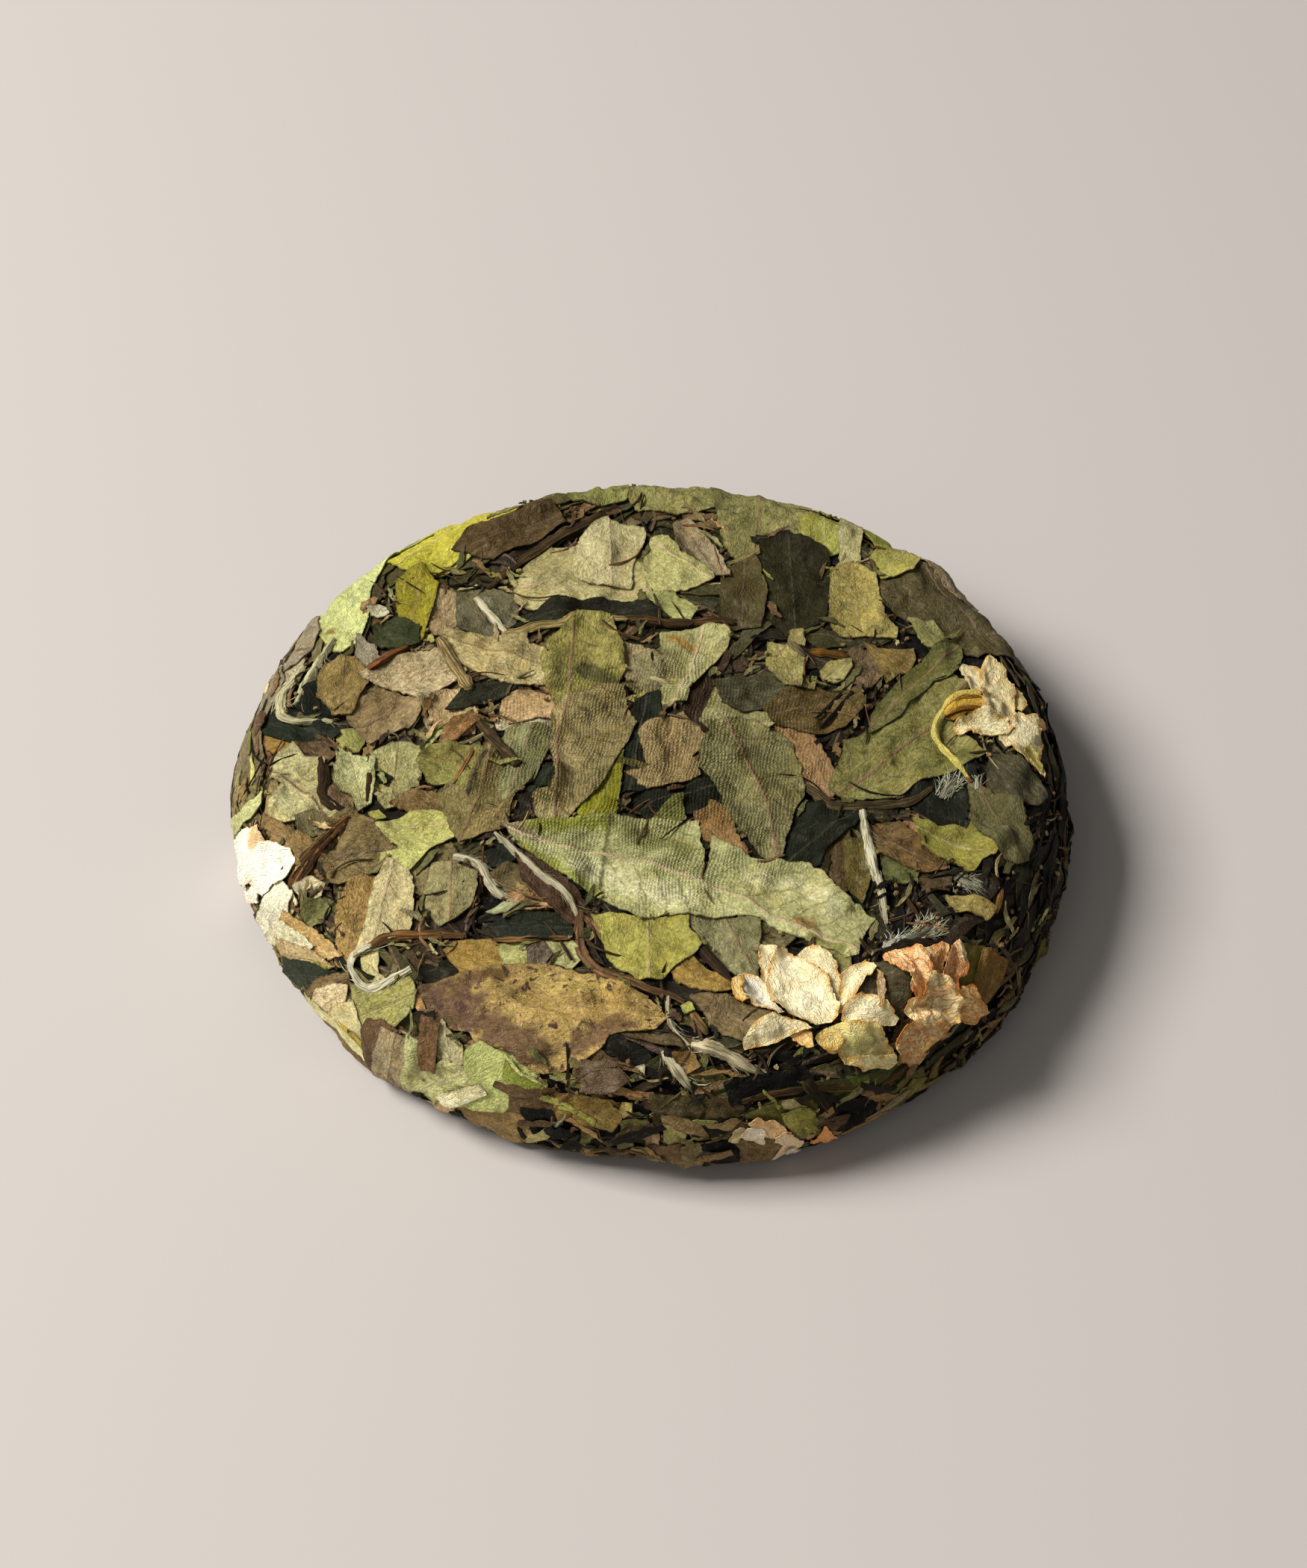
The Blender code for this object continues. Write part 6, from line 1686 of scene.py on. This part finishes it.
# The pale strip at azimuth -118 to -113 and arc 57 to 61 in this table is a painted highlight along a
# leaf's fold.
lay_rows("side wall", """
tan 225,215,185 0.2 | -156.5,51.5 -153,51 -151.5,54 -152.5,58 -156,62 -159,64 -160,61 -157.5,56
brown 128,104,70 0.2 | -152,60 -140,62 -128,63 -128,70 -140,70 -152,69
tan 196,158,100 0.3 | -152,53.5 -146,51.6 -140.3,51 -141,51.6 -144,53 -148,54.6 -152,57
tan 226,214,172 0 | -152,54.8 -145,52.9 -147,55.5 -152,58.6
tan 205,176,124 0.4 | -152,58 -145,54 -140,52.6 -142,54 -147,57.5 -152,61
dark 66,76,70 0.3 | -150.5,60 -147.6,58 -145,56 -140.5,54 -137,52.4 -137.4,53.2 -140.5,55.8 -143,58
 -143.7,60.5 -147,61.6 -151,62.6
brown 126,102,76 0.4 | -137,52.5 -136.5,53.2 -140.2,56.2 -142.5,59.6 -144,60.6 -142,56.8 -140.2,55
olive 158,156,92 0.5 | -135,52.8 -131,51.6 -129.5,49.8 -128,48.2 -126.4,49 -126,50.4 -128,54.2 -130.3,55
 -131.9,57.6 -133,56.4
tan 230,202,152 0.3 | -136.6,53.8 -136.4,56 -138.2,59.2 -140.2,61.5 -142.5,61.5 -141.5,58.2 -139.6,56
 -137.4,54.2
pale 216,206,152 0.3 | -134.6,55 -132.7,56.8 -131.5,58.6 -131.5,60.4 -133,61 -135,60.2 -137,60.8 -138.2,59.2
 -136.6,56.8
pale 206,182,76 0 | -136.2,59.8 -131.5,59.8 -131.5,61.2 -133.5,61.6 -135.4,61.4
pale 226,222,168 0 | -143.3,60.9 -135.4,60.9 -131.9,61.4 -131.9,62.6 -134.3,62.8 -137.4,62.4 -142.5,62
brown 112,86,66 0.4 | -131,55.4 -128.7,54.2 -127.2,54.4 -127.6,56 -128.7,57.6 -130,60.4 -130.3,64 -131.3,66
 -131.5,57
tan 168,148,112 0.6 | -128.3,55 -124.8,55 -124,57.6 -124.8,60.4 -126.4,66 -128,69 -130.6,68 -129.5,60.4
 -128.7,57.6 | -126.6,55 -127,60 -129,67
tan 178,168,126 0.4 | -120.3,50.8 -117.3,52.4 -116.1,53.8 -118.5,55.2 -119.7,56 -120,53
pale 196,196,136 0.5 | -124.4,54.4 -122.5,54.7 -122,56.8 -120,56.8 -118.5,55 -115.7,55 -113.8,55.6
 -112.6,56.8 -114.6,59 -118.5,61 -120.5,64 -122,68 -124,66 -124.6,60.5 -124,57.6 | - | 0.35 120,84,50
 -30.6,-49 | 0.5 150,150,84 -27,-50
brown 118,86,64 0.2 | -122.8,51 -121,51 -120.4,56.6 -121.7,57 -122.3,55
tan 172,138,86 0.4 | -119.3,62.3 -116.5,60.8 -113.4,59.7 -110.6,58.6 -109,58 -107,58.6 -106.3,60.4
 -105.9,62.3 -106.5,66 -112,68 -117,67.5 -119.6,65
tan 222,180,130 0 | -119.6,63.6 -118.5,61.4 -116.5,60.4 -117.3,62 -118.9,63.8
dark 40,28,16 0 | -117.4,62.6 -116.2,62.2 -116,63.6 -117,64.2
pale 194,200,122 0.5 | -115.4,52.3 -114.2,51.2 -112.2,51.4 -110.2,52 -108.3,53.2 -105.1,54.2 -105.5,54.8
 -108.3,55.3 -109,56.8 -110.2,59 -114.6,60.3 -117.3,60.6 -114.6,59 -112.6,56.8 -114.6,55 -115.2,54.2
pale 136,148,56 0 | -110,52.4 -108.3,53.4 -105.2,54.3 -106.6,54.9 -108.6,54.8 -110,53.8
pale 232,226,186 0 | -118.5,60.6 -116,58.6 -113.4,56.8 -113,57.2 -115,59 -117.7,60.9
brown 110,84,60 0.3 | -108.5,56 -104,54.8 -102.4,55.5 -102.6,57.6 -105.5,58 -108.5,58.2
brown 150,120,62 0.3 | -102.6,55.4 -98.5,54.8 -95,55.2 -95,57.6 -98,58.6 -102,58
dark 20,18,10 0 | -107,58 -103.5,57.6 -103,60 -104.5,62.5 -106,61
dark 20,18,10 0 | -99,58.6 -95.2,58 -94.8,61 -97,63 -99.4,61.4
silver 165,165,145 0.8 | -101.6,57.2 -102.2,58.6 -103,60.2
pale 188,178,118 0 | -104.2,61.2 -103.6,61.8 -105,63.4 -106.8,64.6 -106.6,63.6
brown 108,88,76 0.3 | -99.6,50.4 -95.5,50.2 -93.8,51.4 -96,53 -99.4,53.2
brown 142,114,60 0.3 | -100,54.6 -96,54.8 -94.6,56.4 -95.5,58.2 -100,58
tan 232,204,124 0 | -94.2,54.8 -93,54.8 -92.9,56 -93.8,56.3 -94.4,55.6
olive 126,124,68 0.3 | -94,57.2 -91,57 -90.6,58.6 -92.6,59.4 -94,58.8
olive 112,112,76 0.2 | -94.4,59.2 -92.6,59 -93,61.6 -94.6,62.6
tan 156,122,94 0 | -91,59 -89.8,59.2 -89.8,62.4 -90.4,64
brown 84,72,46 0.3 | -90,54 -83.5,54 -82,56 -86,57.2 -89.6,56.6
brown 98,82,56 0.3 | -83,54.2 -79.5,54 -78.6,56 -80,57 -83,56.6
pale 168,164,98 0.3 | -88.6,57.4 -86.4,57.3 -86.4,59.4 -87.6,61 -88.5,59.6
pale 146,144,78 0.3 | -85,56.8 -82.4,56.8 -81.9,58.6 -82.6,60.2 -84.8,60 -85.2,58
tan 192,176,112 0 | -82.3,59.2 -81.2,59 -81.1,60.2 -82,60.4
brown 134,104,78 0.4 | -89,61.2 -86.8,61 -86.6,66 -88.6,69 -89.6,65
tan 152,128,92 0.4 | -86.2,61.4 -84,61.2 -83.6,66 -85.6,68
dark 16,15,9 0 | -83.4,61 -79,61 -78.8,66 -83,68
olive 122,122,58 0.4 | -77.4,56.6 -73,55.8 -70,56 -69.2,58 -69.6,61 -71.6,62.4 -73,59.8 -75,58.4
brown 132,106,76 0.4 | -78.7,60.6 -75.5,60.4 -74.6,62 -74.4,66 -76.6,70 -78.6,68 -78.6,63
dark 15,14,9 0 | -80,52.4 -70,52.6 -69.5,54.4 -79.6,54.2
olive 74,74,36 0.3 | -70,54 -64,55.5 -58,56 -55,58 -60,60 -67,58.5
dark 15,15,9 0 | -66,58.6 -61,59.4 -60.4,64 -61,68 -65,68 -66.4,63
olive 94,94,44 0.4 | -59,60 -56,58.8 -53.7,59.5 -53.2,64 -54.6,68 -57.4,66 -58.8,62
olive 84,100,30 0 | -64.4,54.6 -62.2,54.6 -62,55.8 -63.6,56
stem 80,62,38 0.9 | -79.5,54.6 -75,54.2 -70,54.4
stem 84,70,38 1.1 | -69,54.8 -65,56 -61,57.6 -58,58.4
stem 88,74,40 1 | -61,58 -55,56.8 -50,55.4 -45,54.6
stem 48,40,30 1.7 | -70,53.6 -68.6,56 -67.4,58.6 -66.6,61 -65,65
olive 100,88,25 0.3 | -44,50 -40,51.5 -37,54.5 -39,56 -43,55
olive 100,95,40 0.4 | -28,61 -25,60.5 -22,63 -20,67 -21.5,69 -24,66.5
""", place=rim_pairs, light=1.1, slivers=0.3)
wall_strips(48, (-108, -52), (54, 66), 0.4, (4, 9), (1.0, 2.6), 0.25,
            {"pale": 0.3, "olive": 1.0, "tan": 0.7, "brown": 1.2, "dark": 0.5}, 0.2)
lay_rows("buds at the rim", """
silver 214,212,178 1.4 | -41.7,19.8 -43.1,16.1 -44.1,13 -45.1,10.1 -45.6,7.8
silver 214,212,178 1.5 | -45.5,15.2 -46.5,11.8 -47.5,10.1 -47.7,7.6 -47.2,5.6 -45.8,4.5 -44.1,4.4 -42.4,4.5
 -41,4
silver 226,226,208 1.3 | -29.5,-36.2 -30.8,-36.8 -33.9,-37.5 -35.6,-36.7 -36.6,-35.3 -37.1,-34.3 -36.6,-33.3
 -35.1,-32.6 -33.9,-32.5
""")

# %% [markdown]
# ## What fell between
# Pressing and handling break the brittle leaves, so crumbs, fibres and shreds collect in the
# gaps. The pile's own grid tells where those are: wherever it lies lower than its blurred
# self. Tufts of silver hair came off the buds.


# %% Crumbs, fibres and tufts
def gaps(count, depth):
    """Places in the gaps of the top and of the shoulder."""
    grid = pile["top"]
    low = (smoothed(grid, 9.0) - grid > depth) & ~clear
    spots = np.argwhere(low) * CELL - MAP_REACH["top"]
    spots = spots[np.hypot(*spots.T) < 64.0]
    return [spots[draw.randrange(len(spots))] for _ in range(count)]


CRUMBS = ((196, 182, 132), (156, 152, 88), (150, 118, 82), (104, 86, 58), (60, 50, 36),
          (128, 120, 78), (92, 78, 52))
for spot in gaps(200, 0.4):
    lay_sliver(spot, draw.uniform(0, math.tau), draw.uniform(1.6, 4.5),
               draw.uniform(0.3, 0.9), 0.3)
for spot in gaps(420, 0.34):
    size = draw.uniform(0.13, 0.34)
    corners = [spot + size * draw.uniform(0.6, 1.3) * direction(a)
               for a in np.arange(5) * math.tau / 5 + draw.random()]
    lay_leaf("tan", vary(draw.choice(CRUMBS), 0.2), corners, spacing=0.4, ripple=0.6, curl=0.0,
             thickness=0.3, rough=0.05, sink=0.0, mesh_kind="crumbs")
for spot in gaps(220, 0.36):
    angle, bend, length = draw.uniform(0, math.tau), draw.gauss(0, 0.5), draw.uniform(2, 7)
    fibre = [spot + length * t * direction(angle + bend * t) for t in (0, 0.33, 0.66, 1)]
    tone = draw.choice(((52, 40, 28), (92, 72, 50), (36, 30, 22), (150, 128, 92), (120, 88, 60)))
    lay_stem("stem", vary(tone, 0.2), fibre, draw.uniform(0.18, 0.42), ends=(0.8, 0.4), flat=1.0,
             sides=5)
for path, width, rgb, count in (
    ((36, -8, 37, -6.4, 38, -4.8), 2.2, (180, 178, 150), 80),
    ((30.6, -31.4, 32.4, -30.2, 34.2, -28.6), 2.6, (178, 176, 148), 120),
    ((36.6, -21.2, 37.8, -22, 39.3, -22.8), 1.8, (180, 178, 150), 60),
    ((28, -33, 28.6, -32.2, 29.2, -31.4), 1.3, (215, 216, 200), 50),
):
    lay_hairs(pairs(path), width, rgb, count)
print("crumbs, fibres and tufts laid")

# %% [markdown]
# ## Jasmine
# Each flower kept its petals together in the press. The petals are thicker than the leaves
# and stand on top of everything. They are cream inside, and their tips and edges browned to
# orange. They are the only pieces with a frame node of their own, so that every flower
# replaces its own plain solid.


# %% Lay a flower
def lay_flower(flower, table, place=pairs, grow=0.05, crumple=0.22, tilt=0.0, corner=0.9):
    """Lays the petals of a table, whose rows have a colour, an outline and stains."""
    rows = read_table(table)
    for rgb, outline, *stains_and_highlights in rows:
        lay_leaf("petal", paint(rgb), place(numbers(outline)), ripple=0.35, curl=0.2, tilt=tilt,
                 thickness=0.2, sink=0.2, stiff=0.7, spacing=0.24, rough=0.12, grow=grow,
                 crumple=crumple, corner=corner, mesh_kind=flower,
                 stains_and_highlights=[read_stain_and_highlight(part) for part in stains_and_highlights])
    print(f"{flower}: {len(rows)} petals")


lay_rows("between the flowers", """
olive 120,110,40 0.3 | 36.8,-31.8 39.9,-31 39.6,-33 38.2,-36 37,-36.4 36.6,-34
tan 150,110,45 0.3 | 39.9,-31.2 42.4,-30.9 41.4,-33.4 39.6,-35.8 38.4,-35.6
brown 88,78,62 0.3 | 26.9,-35.9 28,-36.1 30.5,-37.2 30,-38.6 29.2,-40.8 28.3,-40 26,-39.7 23.8,-40
 24.4,-38.8 25.2,-37.8 26.4,-36.9
""")
lay_flower("jasmine_front", """
cream | 12.4,-34.3 12.9,-32.8 13.7,-32.8 14.6,-33 15,-34.5 15.2,-38 14.6,-40 13.3,-37.8 12.8,-36
cream | 17.5,-33.8 18.1,-32.8 19.3,-32.5 20.3,-33 21.1,-34 21.7,-35.2 22,-36.5 22.4,-37.3 22.2,-38.8
 21.9,-41 21,-41.5 20,-38 18,-35.5
cream | 21.9,-42 22.3,-37.6 23.1,-36.5 24.2,-35.5 25.4,-35 26.3,-35.6 26.5,-36.3 25.8,-37.4 25.1,-37.7
 24.4,-39 23.6,-40.1 22.2,-42
cream | 22,-42.8 22.4,-41.5 23.5,-40.2 24.5,-39.8 26,-39.8 27.5,-40.2 28.2,-40.9 28.7,-41.5 28.2,-42.2
 26.8,-42.6 25,-42.9 23,-43.4
orange | 16.3,-45.2 17.2,-44.5 18.4,-44.8 18.7,-45.9 17.8,-46.2 16.6,-45.8
232,220,152 | 19,-45 20,-44.2 22,-43.4 24,-42.9 26,-42.7 27,-43.1 27.8,-44 28.4,-44.5 27.5,-45.2 26,-45.6
 24.5,-46.2 22.4,-46.7 21.5,-46 20.2,-46.3 19.4,-45.7
240,232,176 | 22.4,-46.4 24,-45.6 26.4,-45 28.2,-44.2 28.4,-44.7 27.4,-45.5 25.6,-46 24.2,-46.6
236,214,140 | 19.2,-45.6 19.8,-44.7 21.4,-44.2 22,-44.8 21.2,-45.8 20.2,-46.2
cream | 14.1,-43 15,-43.2 17.6,-43.8 18.6,-44.2 17,-44.8 15,-45.8 13.5,-46.5 12,-47 10.7,-47.3 10.3,-46.7
 10.9,-45.8 11.7,-44.8 13,-43.9
white | 10.2,-37.1 11.3,-37 12.4,-37.2 13.2,-38 13.7,-39.3 14.3,-41 15.3,-42.8 14.8,-43.2 13.5,-42.8
 12.2,-42 11.3,-41.3 10.6,-41 9.8,-40.6 9.4,-39.5 9.8,-37.9
warm_cream | 10.6,-37 10.7,-38.4 10.4,-39.6 10.8,-40.9 11.2,-41.5 10.4,-41.8 9.5,-41 9.2,-39.7 9.4,-38.2
250,241,202 | 14.5,-34.3 15.4,-33.2 16.2,-33.5 17.2,-34.5 18.6,-35.6 19.8,-36.6 20.8,-38 21.3,-39.6
 21.9,-41.2 21.7,-42.6 20.8,-43.4 18.5,-43.9 16.5,-43.3 15,-42.6 14,-41 13.6,-38.5 13.8,-36.3
""", tilt=0.03)
lay_stem("stem", (206, 200, 128), pairs((22.8, -44.9, 24.2, -44.4, 25.6, -44.1)), 1.5,
         (0.7, 0.7), 0.4, sides=14, mesh_kind="jasmine_front")
# These petals face away from the lamp on the shoulder, so their own peach and orange are raised near full
# brightness as painted light.
lay_flower("jasmine_front_browned", """
orange | 36.3,-36 37.5,-35.4 38.2,-36.1 39.6,-35.9 38.6,-36.8 38,-37.6 37,-38.2 35.3,-39 34.9,-38.6
 35.6,-37.3
255,222,164 | 28.2,-43.3 29.5,-41.8 31.2,-40.8 33.2,-39.8 34.9,-39.4 34.2,-40.4 32.5,-41.8 30.8,-43.3
 29.3,-43.9 28.3,-43.9
238,210,158 | 31.5,-33.8 33,-33 34.9,-32.1 34.9,-33.2 34.3,-34.6 33.9,-36 34,-37.2 32.9,-37.2 32.2,-36
255,210,158 | 35.4,-32.6 36.3,-31.5 36.8,-31.9 37.2,-33.4 36.9,-34.5 36,-35.2 35.5,-36.4 35,-37.6 34.3,-36.9
 33.9,-35.8 34.7,-34.4 | 0.4 240,232,196 36.4,-31.9 36.9,-33.2
255,218,166 | 27.7,-34.4 29,-34 30.3,-33.7 31.3,-33.9 32.1,-34.3 32.5,-35.5 32.5,-36.3 31.9,-37.2 31.5,-38.3
 30.9,-39 30.2,-38.5 30.4,-37 29.2,-36.8 28.4,-36.2 27.7,-35.2
peach | 32,-36.9 32.8,-36.5 33.9,-36.4 34.6,-37.3 35.3,-37.6 35,-38.7 34.5,-39.4 33,-40.2 31.5,-41 30,-41.2
 29.4,-40.6 30,-39.5 31.3,-38.9 31.6,-37.8
""", grow=0.16, crumple=0.85, tilt=0.12, corner=0.94)
lay_leaf("petal", (225, 222, 205), pairs((26.8, -36.6, 27.5, -37, 27.3, -39, 26.8, -41.2,
                                          26.2, -41, 26.5, -38.8)), mesh_kind="jasmine_front")
for rgb, width, path in (
    ((150, 112, 40), 3.4, (37.4, 5, 39, 6.4, 41, 6.9, 43, 6.8)),
    ((214, 192, 96), 1.0, (36.8, 5.4, 38.4, 7.6, 40.4, 8.5, 42.4, 8.4)),
    ((150, 104, 30), 0.8, (36.9, 5.2, 38.7, 6.9, 40.7, 7.6, 42.6, 7.4)),
    ((210, 172, 70), 1.0, (37, 5, 38.9, 6.2, 41, 6.7, 42.8, 6.5)),
    ((120, 80, 20), 0.7, (37.1, 4.8, 39, 5.5, 41, 5.9, 42.6, 5.8)),
):
    lay_stem("stem", rgb, pairs(path), width, (0.6, 0.9), 0.3 if width > 3 else 0.9,
             sink=0.1 if width > 3 else -0.15, sides=10, mesh_kind="jasmine_right")
lay_flower("jasmine_right", """
orange | 48.6,7 50.6,7.6 50.6,6.2 49.5,5.2 48.4,5.8
226,216,178 | 40.2,15.1 39.5,14 40,12.6 40.3,11 41,9.6 42,8.2 42.8,10 42.6,12 42.2,13.5 41.4,14.4
216,202,152 | 46.2,11.9 47.5,10.6 47.9,8.8 47,7 45.8,8 45.4,10.3
222,208,160 | 43.3,15.8 44,15.2 44.6,14.6 45.2,13.8 45.6,12.6 46.3,11.6 46.4,9.8 46.2,8 46.2,6.2 45.8,5
 44,4.5 42.2,5.2 42,7 42,9 42,11 42.1,13 42.6,14.8
224,214,172 | 45.2,4.8 46.5,6.5 47.5,6.2 48.7,6.7 49,4.5 49.9,2.3 49.3,0.5 48.9,-1.2 49.4,-3.3 48,-2.4
 46.3,-0.7 44.8,0.8 44,2.4 44.3,3.8
204,198,124 | 47.2,0.6 48.8,0.4 48.8,-1.2 49.3,-3.1 48,-2.3 46.6,-0.8
232,224,182 | 38.3,3.7 39.8,4.6 41,5.4 43,5.4 44.8,4.8 45.6,3.4 45,2.6 43.5,2.4 41.5,2.4 40,2.9 39,2.4
 38.4,3
""", crumple=0.55, corner=0.94)
lay_stem("stem", (206, 196, 104), pairs((37.2, 5.8, 36.2, 4.6, 35.7, 2.8, 36.3, 0.8, 37.2, -0.8,
                                         38.3, -2.6, 39.2, -4.2, 39.9, -5.7)), 0.95,
         (1.0, 0.3), sink=0.05, mesh_kind="jasmine_right")
lay_stem("stem", (140, 84, 40), pairs((39.5, -4.9, 39.9, -5.7)), 0.7, sink=0.0,
         mesh_kind="jasmine_right")
lay_flower("jasmine_left_rim", """
white | -180,64.5 -175,63 -171,64 -170,69.5 -173,71 -178,70.8 -181,68.5
white | -167.6,51.8 -166.2,50.5 -164.6,50.4 -162.8,50.8 -163,54 -164.4,58 -167,62 -170.6,66 -175,67
 -179,66.4 -178.6,64.6 -176,62.6 -174,60.2 -172,57.4 -170,54.6 | 1.9 232,196,138 -49.8,-12.2 -48.9,-14.2
white | -162.4,56 -160.6,56.8 -160,57.8 -161.6,59.8 -163.8,62 -165.8,64 -167.5,66 -170.6,66.8 -168,64.6
 -165,62.6 -163.9,60.8 -163.2,58.6
white | -163.6,50.7 -162.2,49.7 -160.6,48.7 -158.8,48.2 -157,48.3 -156.6,49.6 -155.9,50.7 -156.5,51.7
 -157.3,52.6 -157.4,53.8 -158.1,55.2 -159.5,56.2 -160.8,56.6 -161.6,55.9 -162.4,56.2 -163.2,57.6 -164.2,59.4
 -165.8,60.6 -166.8,59.6 -166,57 -165,54 -164.2,52
""", place=rim_pairs, crumple=0.3)
lay_rows("round the small flower", """
pale 178,180,122 0.2 | -172.6,50.4 -171.6,50.6 -170.9,52.6 -171.2,55 -172.6,57.4 -174.6,60 -175.6,60.4
 -174,57.6 -172.8,55 -172.4,53
brown 128,104,74 0.3 | -79.2,60.6 -77,60.4 -75,60.6 -74.4,62 -74.6,65 -75.4,67 -76.8,66.8 -77.2,64.4
 -78.2,62.6
olive 158,152,66 0.4 | -73.4,57.4 -71.6,57 -70.2,57.4 -69.6,58.8 -70,60.2 -71,60.8 -72,60 -72.8,58.8
""", place=rim_pairs, light=1.1, slivers=0.0)
# This flower lies on the shaded front wall, so its own cream, white and orange are raised near full
# brightness as painted light.
lay_flower("jasmine_front_rim", """
206,190,140 | -80.6,59.9 -80,58.4 -79,57.9 -78.2,58.8 -78.9,59.3 -79.4,60.3
255,214,158 | -78.2,57.5 -77,57 -75.8,57.7 -75,57.9 -74,58.6 -73,59.6 -72.8,60.6 -73.8,61 -74.4,60.3
 -75.2,59.9 -76,59.7 -76.8,59 -77.6,58.4
244,232,204 | -79.2,59.4 -78.2,58 -77,58.3 -76,58.8 -76.4,59.9 -76.2,61 -77.6,60.2
255,232,192 | -74.9,60 -73.6,59.3 -72.4,60.4 -71.2,62 -70.9,63.4 -71.6,65 -71,67 -74.2,67 -74.9,65
 -74.5,63.4 -73.9,62 -74.7,61
white | -72.8,64.4 -72,64.1 -71.3,65.4 -70.6,67 -72.4,67 -72.9,65.8
255,186,120 | -68.4,60.4 -67.7,61.6 -66.7,63.2 -65.8,65.6 -65.2,67 -66.4,67 -67.4,65.6 -68.4,64.9 -69.6,64.6
 -69.6,63.6 -69.2,62.6 -68.8,61.4
""", place=rim_pairs, crumple=0.5, corner=0.94)

# %% [markdown]
# ## From the pile to Blender objects
# Every kind of leaf becomes one mesh. It stands for the frame's plain solid of the cake and
# moves with it.

# %% Make the meshes
def make_mesh(name, group, finish):
    mesh = bpy.data.meshes.new(name)
    verts = np.concatenate(group["verts"]) * MM
    faces = np.concatenate(group["faces"])
    mesh.from_pydata(verts.tolist(), [], faces.tolist())
    tint = mesh.attributes.new("tint", "FLOAT_COLOR", "POINT")
    rgba = np.concatenate([np.concatenate(group["tint"]), np.ones((len(verts), 1))], axis=1)
    tint.data.foreach_set("color", rgba.astype(np.float32).ravel())
    blade = mesh.attributes.new("blade", "FLOAT_VECTOR", "POINT")
    blade.data.foreach_set("vector", np.concatenate(group["blade"]).astype(np.float32).ravel())
    for label in ("edge", "ribbed"):
        made = mesh.attributes.new(label, "FLOAT", "POINT")
        made.data.foreach_set("value", np.concatenate(group[label]).astype(np.float32))
    mesh.materials.append(FINISHES[finish])
    mesh.shade_smooth()
    mesh.set_sharp_from_angle(angle=math.radians(50))
    piece = bpy.data.objects.new(name, mesh)
    scene.collection.objects.link(piece)
    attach(piece, "root")
    return piece


SLOTS = {"jasmine_front": "cream_petal", "jasmine_front_browned": "browned_petal",
         "jasmine_right": "cream_petal", "jasmine_left_rim": "white_petal",
         "jasmine_front_rim": "white_petal"}
NAMES = {"stem": "stalks", "silver": "silver_buds", "crumbs": "crumbs"}
total = 0
for kind, group in kinds.items():
    if kind in SLOTS:
        finish = {"browned_petal": "browned", "white_petal": "white"}.get(SLOTS[kind], "petal")
        piece = make_mesh(kind + "_petals", group, finish)
        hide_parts(kind)
    else:
        name = NAMES.get(kind, kind + "_leaves")
        finish = "tan" if kind == "crumbs" else kind.removeprefix("lower_")
        piece = make_mesh(name, group, finish)
        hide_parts("tea_cake")
    total += len(piece.data.polygons)
    print(f"{piece.name}: {len(piece.data.polygons)} triangles")
print("in all", total)

# %% Core
SEGMENTS, RINGS = 144, 60
# The core shows only in the gaps between the leaves; its near-black colour is painted shade there.
CORE_SHADE_TONE = (22, 18, 11)
arcs = np.concatenate([[0.01], np.linspace(3, WHOLE_ARC - 3, RINGS), [WHOLE_ARC - 0.01]])
azimuths = np.arange(SEGMENTS) / SEGMENTS * math.tau
core_u = arcs[:, None] * np.cos(azimuths)
core_v = arcs[:, None] * np.sin(azimuths)
lumps = 0.2 * soft_noise(core_u.ravel() * 0.4, core_v.ravel() * 0.4)
core_verts = on_cake("top", core_u.ravel(), core_v.ravel(), lumps)
core_verts = np.concatenate([core_verts, core_verts[:SEGMENTS].mean(axis=0)[None],
                             core_verts[-SEGMENTS:].mean(axis=0)[None]])
core_group = {
    "verts": [core_verts], "faces": [tube_faces(len(arcs), SEGMENTS)], "blade": [core_verts],
    "tint": [np.tile(linear(CORE_SHADE_TONE), (len(core_verts), 1))],
    "edge": [np.full(len(core_verts), FAR_FROM_EDGE)], "ribbed": [np.zeros(len(core_verts))]}
core = make_mesh("core", core_group, "dark")
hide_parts("tea_cake")
